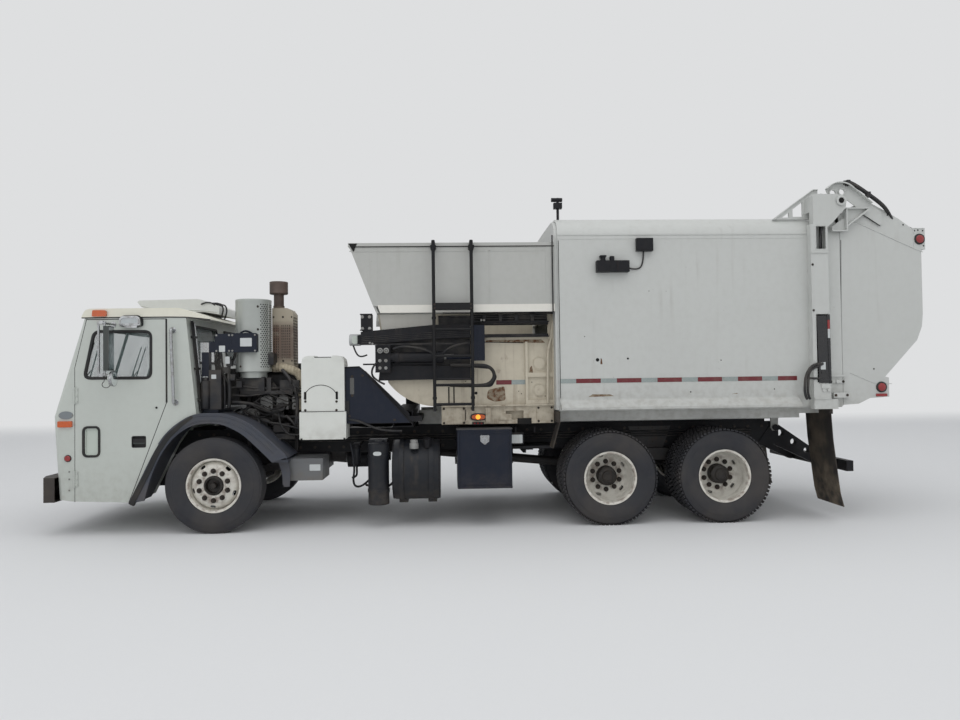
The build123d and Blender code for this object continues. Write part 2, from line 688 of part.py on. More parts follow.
def engine():
    """The block between the rails, the heads and covers in a row, manifolds, turbo and pulleys."""
    pitch = (ENGINE_X[1] - ENGINE_X[0] - 100) / CYLINDER_COUNT
    with BuildPart() as unit:
        block(ENGINE_X, (-300, 300), (640, 1180))
        block((ENGINE_X[0] + 40, ENGINE_X[1] - 40), (-260, 260), (560, 640))
        block((ENGINE_X[0] + 20, ENGINE_X[1] - 20), (-330, 250), (1180, 1300))
        for index in range(CYLINDER_COUNT):
            start = ENGINE_X[0] + 50 + pitch * index
            block((start + 8, start + pitch - 8), (-310, 130), (1300, 1470))
            bar((start + pitch / 2, -300, 1230), (start + pitch / 2, -440, 1200), 34)
        bar((ENGINE_X[0] + 60, -440, 1195), (ENGINE_X[1] - 60, -440, 1195), 46)
        bar((-2560, -520, 1260), (-2420, -520, 1260), 110)
        bar((-2490, -440, 1195), (-2490, -520, 1250), 50)
        bar((ENGINE_X[0] - 40, 0, 900), (ENGINE_X[0], 0, 900), 150)
        bar((ENGINE_X[1], 0, 900), (-1750, 0, 880), 270)
        bar((-1750, 0, 880), (-1340, 0, 840), 190)
        for side in (-1, 1):
            block((-2960, -2840), span(side, 300, 420), (880, 960))
            block((-1960, -1840), span(side, 240, 420), (860, 940))
        for post_x in (-2860, -2560):
            block((post_x - 25, post_x + 25), (-760, -700), (1540, 1690))
        for beam_y in ((-760, -700), (-470, -430)):
            block((-2885, -2290), beam_y, (1500, 1540))
        for post_x in (-2885, -2330):
            block((post_x, post_x + 40), (-470, -430), (RAIL_Z[0] + 20, 1500))
            block((post_x, post_x + 40), (-700, -470), (1500, 1540))
    save(unit, "engine")


def exhaust():
    """The white cylinder, the rusty shield beside it, the stack with its cap, and the elbow pipe."""
    with BuildPart() as cylinder:
        bar((-2706, -700, 1756), (-2706, -700, 2590), 200, bore=188)
        bar((-2706, -700, 1756), (-2706, -700, 1768), 200)
        bar((-2706, -700, 2578), (-2706, -700, 2590), 200)
        bar((-2706, -700, 1768), (-2706, -700, 2578), 150)
        bar((-2706, -700, 1690), (-2706, -700, 1756), 150)
        bent_pipe(((-2700, -480, 1712), (-2480, -640, 1712), (-2200, -640, 1690), (-2200, -640, 1310)), 46, 90)
    save(cylinder, "exhaust_cylinder")

    with BuildPart() as shield:
        outline = ((-2495, 1756), (-2245, 1756), (-2245, 2440), (-2290, 2478), (-2495, 2506))
        inner = ((-2487, 1764), (-2253, 1764), (-2253, 2436), (-2293, 2470), (-2487, 2497))
        prism_y(outline, -600, -250)
        prism_y(inner, -592, -258, mode=Mode.SUBTRACT)
        bar((-2380, -425, 1764), (-2380, -425, 2440), 120)
        for foot_x in (-2450, -2310):
            block((foot_x - 15, foot_x + 15), (-470, -430), (1540, 1756))
        bar((-2440, -450, 2480), (-2440, -450, 2692), 57)
        bar((-2440, -450, 2690), (-2440, -450, 2828), 104)
    save(shield, "exhaust_stack")


def behind_cab():
    """Electrical boxes, the dark intake box, the cover and what carries them on the frame."""
    with BuildPart() as boxes:
        block((-3238, -3090), (-1000, -800), (1348, 1690))
        block((-3088, -2920), (-990, -905), (1982, 2183))
        block((-2920, -2636), (-990, -905), (1982, 2183))
        block((-3238, -3160), (-995, -905), (1690, 1982))
        block((-3238, -3060), (-1000, 1000), (1310, 1348))
        for side in (-1, 1):
            block((-3150, -3080), span(side, 350, RAIL_Y), (RAIL_Z[1], 1310))
        block((-3160, -3088), (-990, -905), (1982, 2100))
    save(boxes, "electrical_boxes")

    cover_top = ((-2113, 1300), (-2113, 1850), (-2060, 1922), (-1975, 1922), (-1960, 1900), (-1800, 1900),
                 (-1785, 1922), (-1700, 1922), (-1650, 1850), (-1650, 1300))
    with BuildPart() as cover:
        prism_y(cover_top, -1110, -840, rounding=12)
        block((-2136, -1634), (-1118, -840), (1000, 1300))
        block((-2090, -1675), (-1090, -800), (1020, 1880), mode=Mode.SUBTRACT)
        for slot_x in (-2085, -1700):
            block((slot_x, slot_x + 22), (-1115, -1080), (1440, 1530), mode=Mode.SUBTRACT)
        for arm_z in (1040, 1200):
            block((-2090, -1675), (-860, -840), (arm_z, arm_z + 40))
        block((-1900, -1840), (-840, -RAIL_Y), (1035, 1075))
        block((-1900, -1840), (-860, -840), (1020, 1240))
    save(cover, "service_cover")


def frame_tanks():
    """What hangs on the frame rails between the front and rear wheels."""
    with BuildPart() as tanks:
        block((-2298, -1914), (-1000, -560), (541, 780))
        block((-2250, -1960), (-560, -RAIL_Y), (700, 790))
        bar((-1560, -800, 686), (-1560, -800, 895), 46)
        block((-1600, -1520), (-800, -RAIL_Y), (895, 925))
        for side in (-1, 1):
            bar((-1720, side * 320, 690), (-1260, side * 320, 690), 95)
            for hanger_x in (-1640, -1360):
                block((hanger_x - 20, hanger_x + 20), span(side, 360, 410), (700, RAIL_Z[0]))
        bar((-1287, -1015, 267), (-1287, -1015, 940), 115)
        bar((-1287, -1015, 940), (-1287, -1015, 967), 60)
        block((-1320, -1254), (-920, -RAIL_Y), (820, 900))
        bar((-1131, -815, 622), (-601, -815, 622), 335)
        bar((-740, -1010, 890), (-740, -1040, 985), 45)
        for strap_x in (-1030, -700):
            block((strap_x - 25, strap_x + 25), (-520, -RAIL_Y), (560, 900))
            bar((strap_x - 25, -815, 622), (strap_x + 25, -815, 622), 341)
        block((-2250, -1500), (560, 1080), (560, 1240))
        bar((-1875, 820, 1240), (-1875, 820, 1290), 70)
        for arm_x in (-2150, -1660):
            block((arm_x, arm_x + 60), (RAIL_Y, 560), (820, 1000))
        block((-420, 360), (560, 1100), (500, 1000))
        for arm_x in (-330, 210):
            block((arm_x, arm_x + 60), (RAIL_Y, 560), (820, 960))
    save(tanks, "frame_tanks")

    with BuildPart() as tool:
        block((-408, 201), (-1150, -560), (443, 1087))
        block((-400, 193), (-1160, -568), (451, 1079), mode=Mode.SUBTRACT)
        for arm_x in (-330, 90):
            block((arm_x, arm_x + 60), (-560, -RAIL_Y), (820, 1000))
    save(tool, "tool_box")

    with BuildPart() as lid:
        block((-404, 197), (-1172, -1152), (447, 1083))
        pin((-404, -1176, 443), (197, -1176, 443), 8)
        prism_y(((-150, 1020), (-60, 1020), (-60, 960), (-105, 930), (-150, 960)), -1178, -1172)
    save(lid, "tool_box_door")


# Load body

def body_section(x, half, top_z, corner, bottom_z):
    """The body's cross-section: straight sides, rounded shoulders and a slightly crowned roof."""
    side_top = top_z - corner
    turn = corner * (1 - math.sqrt(0.5))
    with BuildSketch(Plane.YZ.offset(x)) as outline:
        with BuildLine():
            Line((-half, bottom_z), (-half, side_top))
            ThreePointArc((-half, side_top), (-half + turn, top_z - turn), (-half + corner, top_z))
            ThreePointArc((-half + corner, top_z), (0, top_z + 16), (half - corner, top_z))
            ThreePointArc((half - corner, top_z), (half - turn, top_z - turn), (half, side_top))
            Line((half, side_top), (half, bottom_z))
            Line((half, bottom_z), (-half, bottom_z))
        make_face()
    return outline.sketch


def body_shell():
    """The load body: side sheets and roof in one section, with a front frame around the hopper's mouth."""
    length = BODY_REAR_X - BODY_FRONT_X
    inner_half = BODY_HALF - BODY_WALL
    with BuildPart() as shell:
        extrude(body_section(BODY_FRONT_X, BODY_HALF, BODY_ROOF_Z, BODY_CORNER, BODY_FLOOR_Z), amount=length)
        inside = body_section(BODY_FRONT_X, inner_half, BODY_ROOF_Z - BODY_WALL, BODY_CORNER - BODY_WALL, BODY_FLOOR_Z)
        extrude(inside, amount=length, mode=Mode.SUBTRACT)
        front = body_section(HOPPER_REAR_X, inner_half, BODY_ROOF_Z - 30, BODY_CORNER - BODY_WALL, BODY_FLOOR_Z)
        extrude(front, amount=BODY_FRONT_X - HOPPER_REAR_X)
        inner_mouth = HOPPER_LOWER_HALF - HOPPER_WALL
        block((HOPPER_REAR_X - 5, BODY_FRONT_X + 5), (-inner_mouth, inner_mouth), (1371, 2360), mode=Mode.SUBTRACT)
        for side in (-1, 1):
            outline = ((1219, 1405), (1310, 1318), (1310, 1292), (1302, 1292), (1302, 1314), (1219, 1393))
            prism_x([(side * y, z) for y, z in outline], 741, 3423)
            for rib_x in (745, 1640, 2530, 3415):
                rib = ((1219, 1393), (1302, 1314), (1302, 1292), (1219, 1292))
                prism_x([(side * y, z) for y, z in rib], rib_x - 4, rib_x + 4)
        block((1610, 1787), (-BODY_HALF - 60, -BODY_HALF + 1), (3044, 3180))
        block((1158, 1513), (-BODY_HALF - 80, -BODY_HALF + 1), (2811, 2930))
        for knob_x in (1230, 1330):
            bar((knob_x, -BODY_HALF - 45, 2930), (knob_x, -BODY_HALF - 45, 2981), 26)
        bar((790, -900, 3430), (790, -900, 3720), 14)
        block((745, 835), (-930, -870), (3600, 3660))
        bar((720, -900, 3700), (840, -900, 3700), 22)
    save(shell, "body_shell")


BOLSTERS_X = (800, 1300, 1640, 2230, 2700, 3150, TIP_PIN[0])
SUB_RAIL_Y = (355, 425)


def body_floor():
    """The floor plate on cross-bolsters and two sub-rails, with the lugs on the tipping pins."""
    pin_x, pin_z = TIP_PIN
    with BuildPart() as floor:
        block((BODY_FRONT_X, BODY_REAR_X), (-1200, 1200), (1275, BODY_FLOOR_Z))
        for side in (-1, 1):
            block((-860, 3560), span(side, *SUB_RAIL_Y), (SPACER_TOP_Z, 1275))
            block((-684, HOPPER_REAR_X), span(side, *SUB_RAIL_Y), (1275, 1346))
            block((741, 3560), span(side, 930, 950), (1150, 1275))
            prism_y(
                ((pin_x - 45, 1150), (pin_x + 45, 1150), (pin_x + 45, pin_z), (pin_x + 25, pin_z - 40),
                 (pin_x - 25, pin_z - 40), (pin_x - 45, pin_z)),
                *span(side, 450, 475),
            )
            pin((pin_x, side * 440, pin_z), (pin_x, side * 480, pin_z), TIP_PIN_RADIUS + RUNNING_GAP,
                mode=Mode.SUBTRACT)
        for bolster_x in BOLSTERS_X:
            block((bolster_x - 30, bolster_x + 30), (-930, 930), (1150, 1275))
        block((3550, BODY_REAR_X), (-950, 950), (1200, 1275))
        eye_x, eye_z = HOIST_EYE
        block((eye_x - 50, eye_x + 50), (-SUB_RAIL_Y[0], SUB_RAIL_Y[0]), (1200, 1275))
        for side in (-1, 1):
            block((eye_x - 40, eye_x + 40), span(side, 58, 78), (eye_z - 40, 1200))
    save(floor, "body_floor")


GUARD_SIDE = ((-1618, 1164), (-1612, 1742), (-1427, 1740), (-935, 1250), (-928, 1164))


def hopper():
    """The hopper: a flared upper part with a low loading side, and a narrower part with a rounded toe."""
    upper = ((-1568, 3118), (HOPPER_REAR_X, 3118), (HOPPER_REAR_X, SILL_Z), (-1313, SILL_Z))
    inner_upper = ((-1560, 3180), (HOPPER_REAR_X + 5, 3180), (HOPPER_REAR_X + 5, 2380), (-1256, 2380))
    near, far = HOPPER_LOWER_HALF, HOPPER_UPPER_HALF
    low_x, high_x = LOADING_X
    with BuildPart() as top:
        prism_y(upper, -far, far)
        prism_y(inner_upper, -far + HOPPER_WALL, far - HOPPER_WALL, mode=Mode.SUBTRACT)
        for side in (-1, 1):
            band = ((far, SILL_Z), (near, FLARE_Z), (near - HOPPER_WALL, FLARE_Z), (far - HOPPER_WALL, SILL_Z))
            prism_x([(side * y, z) for y, z in band], -1290, HOPPER_REAR_X)
        front = ((-1313, SILL_Z), (-1280, FLARE_Z), (-1254, FLARE_Z), (-1287, SILL_Z))
        prism_y(front, -far + HOPPER_WALL, far - HOPPER_WALL)
        block((low_x, high_x), (near, far + 10), (FLARE_Z - 5, 3200), mode=Mode.SUBTRACT)
        block((low_x, high_x), (near - HOPPER_WALL, near), (FLARE_Z, SILL_Z))
        cheek = ((near - 20, FLARE_Z), (near, FLARE_Z), (far, SILL_Z), (far, 2700), (far - HOPPER_WALL, 2700), (near, SILL_Z))
        prism_x(cheek, low_x - 20, low_x)
        prism_x(cheek, high_x, high_x + 20)
        block((-1568, HOPPER_REAR_X), (-far - 6, -far + 32), (3118, 3156))
        block((-1568, low_x), (far - 32, far + 6), (3118, 3156))
        block((high_x, HOPPER_REAR_X), (far - 32, far + 6), (3118, 3156))
        block((-1580, -1542), (-far - 6, far + 6), (3118, 3156))
    save(top, "hopper_upper")

    with BuildPart() as bottom:
        for half, inset in ((near, 0), (near - HOPPER_WALL, HOPPER_WALL)):
            with BuildSketch(Plane.XZ.offset(-half)) as outline:
                with BuildLine():
                    toe = (-1171 + inset, 1617)
                    heel = (-684, 1346 + inset)
                    rear_x = HOPPER_REAR_X + (5 if inset else 0)
                    top_z = FLARE_Z + (5 if inset else 0)
                    Line((-1280 + inset, top_z), toe)
                    ThreePointArc(toe, (-956 + inset * 0.6, 1429 + inset * 0.8), heel)
                    Line(heel, (rear_x, 1346 + inset))
                    Line((rear_x, 1346 + inset), (rear_x, top_z))
                    Line((rear_x, top_z), (-1280 + inset, top_z))
                make_face()
            extrude(outline.sketch, amount=2 * half, mode=Mode.SUBTRACT if inset else Mode.ADD)
        block((-240, 640), (-near - 5, -near + HOPPER_WALL + 5), (2150, 2250), mode=Mode.SUBTRACT)
        for side in (-1, 1):
            block((-576, HOPPER_REAR_X), span(side, SUB_RAIL_Y[1], near), (1135, 1350))
            block((-500, -300), span(side, 960, near + 1), (1180, 1300), mode=Mode.SUBTRACT)
            block((150, 350), span(side, 940, near + 1), (1180, 1280), mode=Mode.SUBTRACT)
    save(bottom, "hopper_lower")


PACKER_ROD_Z = 1895
PACKER_Y = 1127


def packer():
    """The packer blade with its outside crosshead and rod, and the fixed drive beside the hopper."""
    inner = HOPPER_LOWER_HALF - HOPPER_WALL
    with BuildPart() as blade:
        outline = ((-660, 1386), (-240, 1386), (-210, 1500), (-210, 1880), (-300, 1920), (-660, 1920))
        prism_y(outline, -inner + 12, inner - 12)
        prism_y(((-680, 1410), (-270, 1410), (-240, 1500), (-240, 1870), (-310, 1890), (-680, 1890)),
                -inner + 37, inner - 37, mode=Mode.SUBTRACT)
        block((-210, -110), (-inner + 12, -inner + 72), (1600, 2235))
        block((-210, -110), (-1105, -inner + 12), (2165, 2235))
        block((-226, -86), (-1150, -1105), (1848, 2245))
        pin((-1080, -PACKER_Y, PACKER_ROD_Z), (-226, -PACKER_Y, PACKER_ROD_Z), 26)
    save(blade, "packer")

    with BuildPart() as drive:
        beam = ((-1459, 2039), (-1459, 2184), (-648, 2254), (-245, 2254), (-245, 2110), (-648, 2097))
        prism_y(beam, -1130, -1030)
        prism_y(((-1270, 1640), (-1250, 1812), (-245, 1790), (-245, 1650)), -1100, -1000)
        for bracket_x in (-1200, -700):
            block((bracket_x - 50, bracket_x + 50), (-1030, -1000), (2110, 2180))
        block((-1294, -1131), (-1180, -1000), (1800, 2026))
        block((-1294, -1131), (-1180, -1095), (1735, 1800))
        for boss in ((-1173, 1970), (-1240, 1970)):
            bar((boss[0], -1200, boss[1]), (boss[0], -1180, boss[1]), 28)
        bar((-1131, -PACKER_Y, PACKER_ROD_Z), (-1100, -PACKER_Y, PACKER_ROD_Z), 55)
        pin((-1100, -PACKER_Y, PACKER_ROD_Z), (-540, -PACKER_Y, PACKER_ROD_Z), 55, bore=26 + RUNNING_GAP)
        for flange_z in ((2111, 2123), (2277, 2289)):
            block((-245, 642), (-1095, -1000), flange_z)
        block((-245, 642), (-1012, -1000), (2123, 2150))
        block((-245, 642), (-1012, -1000), (2250, 2277))
        bar((-1594, -1000, 2100), (-1472, -1000, 2100), 62)
        block((-1500, -1459), (-1090, -990), (2050, 2150))
        block((-1458, -1336), (-1120, -1000), (2200, 2381))
        block((-1440, -1350), (-1110, -1050), (2180, 2205))
        bent_pipe(((-245, -1160, 1790), (-20, -1160, 1767), (31, -1160, 1665), (-20, -1160, 1569), (-260, -1160, 1569)), 15, 45)
        prism_y(GUARD_SIDE, -1060, -1030)
        prism_y(((-1427, 1740), (-935, 1250), (-928, 1262), (-1420, 1752)), -1085, -1030)
        block((-950, -800), (-1060, -1030), (1180, 1240))
        block((-870, -800), (-1030, -SUB_RAIL_Y[1]), (1180, 1240))
    save(drive, "packer_drive")


def ladder():
    """The side ladder, clamped on the hopper's rim and stood off its wall."""
    ladder_y = -1310
    with BuildPart() as piece:
        for rail_x in (-644, -230):
            bar((rail_x, ladder_y, 1355), (rail_x, ladder_y, 3165), 17)
            block((rail_x - 20, rail_x + 20), (-1312, -1206), (3118, 3156))
            block((rail_x - 14, rail_x + 14), (-1310, -1000), (1300, 1330))
            block((rail_x - 14, rail_x + 14), (-1324, -1296), (1300, 1356))
        for rung_z in (1375, 1585, 1650, 1900, 2190):
            bar((-644, ladder_y, rung_z), (-230, ladder_y, rung_z), 13)
        block((-644, -230), (-1330, -1290), (2401, 2478))
        block((-660, -214), (-1290, -1200), (2470, 2478))
    save(piece, "ladder")


HEAD_BOSS_RADIUS = 68
TRUSS_Y = (1108, 1132)
TRUSS_FOOT_Z = 3414
TRUSS_SIDE = ((3210, TRUSS_FOOT_Z), (3423, 3570), (3684, 3754), (3740, 3754), (3740, 3661), (3711, 3640), (3711, TRUSS_FOOT_Z))
TRUSS_HOLES = (
    ((3322, 3436), (3402, 3436), (3402, 3494)),
    ((3446, 3444), (3446, 3530), (3560, 3612), (3560, 3444)),
)


def tail_posts():
    """The rear corner posts with their head plates, pivot pins and roof trusses."""
    pin_x, pin_z = GATE_PIN
    head = [(3592, 3298), (3592, 3640), (3613, 3661), (3850, 3661)]
    head += [polar(GATE_PIN, HEAD_BOSS_RADIUS, degrees) for degrees in (90, 60, 30, 0, -25)]
    head += [(3966, 3500), (3918, 3460), (3817, 3344), (3763, 3298)]
    with BuildPart() as posts:
        for side in (-1, 1):
            block(POST_X, span(side, BODY_HALF, POST_HALF), (1370, 3324))
            block((POST_X[0] + 12, POST_X[1] - 12), span(side, BODY_HALF + 10, POST_HALF - 12), (1400, 3330),
                  mode=Mode.SUBTRACT)
            block((3600, 3735), span(side, POST_HALF - 20, POST_HALF + 5), (1559, 2316), mode=Mode.SUBTRACT)
            block((3620, 3728), span(side, POST_HALF - 20, POST_HALF + 5), (3046, 3302), mode=Mode.SUBTRACT)
            block((3560, 3830), span(side, BODY_HALF, POST_HALF), (1261, 1370))
            prism_y(head, *span(side, POST_HALF - 12, POST_HALF))
            prism_y(head, *span(side, BODY_HALF, BODY_HALF + 10))
            block((3592, 3604), span(side, BODY_HALF + 10, POST_HALF - 12), (3324, 3660))
            pin((pin_x, side * BODY_HALF, pin_z), (pin_x, side * (POST_HALF + 12), pin_z), GATE_PIN_RADIUS)
            bar((pin_x, side * POST_HALF, pin_z), (pin_x, side * (POST_HALF + 14), pin_z), 52)
        for side in (-1, 1):
            low, high = span(side, *TRUSS_Y)
            prism_y(TRUSS_SIDE, low, high)
            for hole in TRUSS_HOLES:
                prism_y(hole, low - 5, high + 5, mode=Mode.SUBTRACT)
            lower, upper = span(side, TRUSS_Y[0] - 14, TRUSS_Y[1] + 14)
            prism_y(((3222, TRUSS_FOOT_Z), (3423, 3570), (3684, 3754), (3740, 3754), (3740, 3746), (3688, 3746),
                     (3427, 3562), (3236, TRUSS_FOOT_Z)), lower, upper)
            block((3590, 3711), span(side, TRUSS_Y[0], BODY_HALF + 10), (TRUSS_FOOT_Z + 60, 3640))
        rod_x = pin_x + LEVER_TIP[0]
        for side in (-1, 1):
            y = side * 1265
            bar((rod_x, y, 1440), (rod_x, y, 2600), 30)
            pin((rod_x, y, 2600), (rod_x, y, 2950), 30, bore=15 + RUNNING_GAP)
            block((rod_x - 20, rod_x + 20), span(side, 1235, 1295), (1395, 1445))
    save(posts, "tail_posts")

    with BuildPart() as rods:
        for side in (-1, 1):
            y = side * 1265
            eye_z = pin_z + LEVER_TIP[1]
            pin((rod_x, y, 2900), (rod_x, y, eye_z - 20), 15)
            bar((rod_x, side * 1252, eye_z), (rod_x, side * 1278, eye_z), 26)
    save(rods, "gate_rods")


GATE_SIDE = (
    (GATE_FRONT_X, 1300), (GATE_FRONT_X, 3450), (4090, 3540), (4266, 3600), (4487, 3482), (4633, 3395), (4798, 3276),
    (4860, 3150), (4884, 3030), (4884, 2321), (4870, 2176), (4811, 2022), (4430, 1612), (4471, 1600), (4471, 1386),
    (4248, 1372), (4116, 1310),
)
ARM_Y = (1236, 1292)
ARM_STEEL = 10
ARCH_START = (3772, 3732)
ARCH_CROWN = (3915, 3806)
ARCH_SHOULDER = (4084, 3739)
ARCH_TAIL = (4290, 3570)
ARCH_HOLES = ((3850, 3685, 34), (3956, 3697, 33))


def arch_plate(inset, low, high, mode=Mode.ADD):
    """The web of the hinge arm: an arched head that runs back and down on to the tailgate."""
    with BuildSketch(Plane.XZ.offset(-high)) as outline:
        with BuildLine():
            start = (ARCH_START[0] + inset, ARCH_START[1] - inset)
            shoulder = (ARCH_SHOULDER[0] - inset * 0.5, ARCH_SHOULDER[1] - inset)
            tail = (ARCH_TAIL[0] - inset * 0.5, ARCH_TAIL[1] - inset)
            ThreePointArc(start, (ARCH_CROWN[0], ARCH_CROWN[1] - inset), shoulder)
            Line(shoulder, tail)
            Polyline(tail, (4240, 3512), (4131, 3520), (4012, 3612), (3960, 3540), (3850, 3540), start)
        make_face()
    extrude(outline.sketch, amount=high - low, mode=mode)


def arch_strap(low, high):
    """The flange that follows the arm's upper edge."""
    with BuildSketch(Plane.XZ.offset(-high)) as outline:
        with BuildLine():
            ThreePointArc(ARCH_START, ARCH_CROWN, ARCH_SHOULDER)
            Line(ARCH_SHOULDER, ARCH_TAIL)
            Line(ARCH_TAIL, (ARCH_TAIL[0] - 7, ARCH_TAIL[1] - 8))
            Line((ARCH_TAIL[0] - 7, ARCH_TAIL[1] - 8), (ARCH_SHOULDER[0] - 7, ARCH_SHOULDER[1] - 8))
            ThreePointArc(
                (ARCH_SHOULDER[0] - 7, ARCH_SHOULDER[1] - 8), (ARCH_CROWN[0], ARCH_CROWN[1] - 10),
                (ARCH_START[0] + 9, ARCH_START[1] - 7),
            )
            Line((ARCH_START[0] + 9, ARCH_START[1] - 7), ARCH_START)
        make_face()
    extrude(outline.sketch, amount=high - low)


def tailgate():
    """The tailgate shell, its lamps and latches, and the hinge arms with their arch and pocket."""
    with BuildPart() as gate:
        prism_y(GATE_SIDE, -GATE_HALF, GATE_HALF)
        inside = side_sketch(GATE_SIDE, GATE_HALF - BODY_WALL, gap=-BODY_WALL)
        extrude(inside, amount=2 * (GATE_HALF - BODY_WALL), mode=Mode.SUBTRACT)
        block((GATE_FRONT_X - 5, GATE_FRONT_X + 40), (-1190, 1190), (1326, 3424), mode=Mode.SUBTRACT)
        for side in (-1, 1):
            block((4800, 4931), span(side, 1080, GATE_HALF), (3048, 3285))
            block((4780, 4859), span(side, 1080, 1190), (3048, 3285), mode=Mode.SUBTRACT)
            block((3790, 3960), span(side, GATE_HALF + 10, 1300), (1385, 1440))
            block((3942, 3990), span(side, GATE_HALF, 1300), (1385, 1440))
    save(gate, "tailgate")

    pin_x, pin_z = GATE_PIN
    tip_x, tip_z = pin_x + LEVER_TIP[0], pin_z + LEVER_TIP[1]
    inner, outer = ARM_Y
    web = (inner, inner + ARM_STEEL)
    with BuildPart() as arms:
        for side in (-1, 1):
            bar((pin_x, side * inner, pin_z), (pin_x, side * outer, pin_z), 72)
            arch_plate(0, *span(side, *web))
            arch_strap(*span(side, inner, outer))
            for hole_x, hole_z, hole_r in ARCH_HOLES:
                start, end = (hole_x, side * (inner - 5), hole_z), (hole_x, side * (web[1] + 14), hole_z)
                bar((hole_x, side * inner, hole_z), end, hole_r + 9)
                bar(start, (hole_x, side * (web[1] + 20), hole_z), hole_r, mode=Mode.SUBTRACT)
            for cheek in (web, (outer - ARM_STEEL, outer)):
                prism_y(
                    ((pin_x, pin_z + 60), (tip_x - 10, tip_z + 26), (tip_x - 26, tip_z - 5), (tip_x, tip_z - 28),
                     (pin_x, pin_z - 60)),
                    *span(side, *cheek),
                )
            prism_y(((3991, 3500), (3991, 3512), (4240, 3512), (4240, 3500)), *span(side, inner, outer))
            prism_y(((3983, 3500), (4240, 3500), (4170, 3440), (3995, 3310), (3983, 3310)), *span(side, GATE_HALF, web[1]))
            prism_y(((3983, 3500), (3983, 3248), (3997, 3248), (3997, 3500)), *span(side, inner, outer))
            prism_y(((3997, 3318), (3997, 3300), (4256, 3490), (4240, 3502)), *span(side, inner, outer))
            prism_y(((3819, 3260), (3830, 3248), (3990, 3248), (3990, 3260)), *span(side, inner, outer))
            prism_y(((3819, 3260), (3819, 3290), (3960, 3395), (3990, 3395), (3990, 3260)), *span(side, *web))
            prism_y(((3830, 3248), (3819, 3260), (3819, 3300), (3829, 3300), (3829, 3258)), *span(side, inner, outer))
            pin((pin_x, side * (inner - 5), pin_z), (pin_x, side * (outer + 5), pin_z), GATE_PIN_RADIUS + RUNNING_GAP,
                mode=Mode.SUBTRACT)
            y = side * GATE_HALF
            bar((4864, y, 3166), (4864, y + side * 14, 3166), 45)
            bar((4381, y, 1495), (4381, y + side * 14, 1495), 45)
            block((4320, 4440), span(side, GATE_HALF, GATE_HALF + 8), (1395, 1418))
    save(arms, "tailgate_arms")

    with BuildPart() as flaps:
        for side in (-1, 1):
            prism_y(
                ((3800, 1200), (3812, 1200), (3830, 900), (3900, 300), (3938, 153), (3926, 153), (3888, 300), (3818, 900)),
                *span(side, 620, 1190),
            )
            prism_y(((647, 866), (660, 866), (740, 1150), (728, 1150)), *span(side, 960, 1190))
            block((700, 741), span(side, 950, 1190), (1150, 1275))
            block((3790, 3830), span(side, 955, 1190), (1200, 1275))
    save(flaps, "mud_flaps")


def hoist():
    """The tipping cylinder between the rails: a barrel on the chassis pin and its rod."""
    base = Vector(HOIST_BASE[0], 0, HOIST_BASE[1])
    eye = Vector(HOIST_EYE[0], 0, HOIST_EYE[1])
    way = (eye - base).normalized()
    reach = (eye - base).length
    with BuildPart() as barrel:
        bar((base.X, -50, base.Z), (base.X, 50, base.Z), 55)
        bar(base + way * 30, base + way * 130, 45)
        bar(base + way * 130, base + way * 160, 75)
        pin(base + way * 160, base + way * (reach - 130), 75, bore=50 + RUNNING_GAP)
        pin((base.X, -55, base.Z), (base.X, 55, base.Z), HOIST_PIN_RADIUS + RUNNING_GAP, mode=Mode.SUBTRACT)
    save(barrel, "hoist_barrel")

    with BuildPart() as rod:
        pin(base + way * 170, eye - way * 30, 50)
        bar((eye.X, -52, eye.Z), (eye.X, 52, eye.Z), 54)
    save(rod, "hoist_rod")


# Side lifting arm

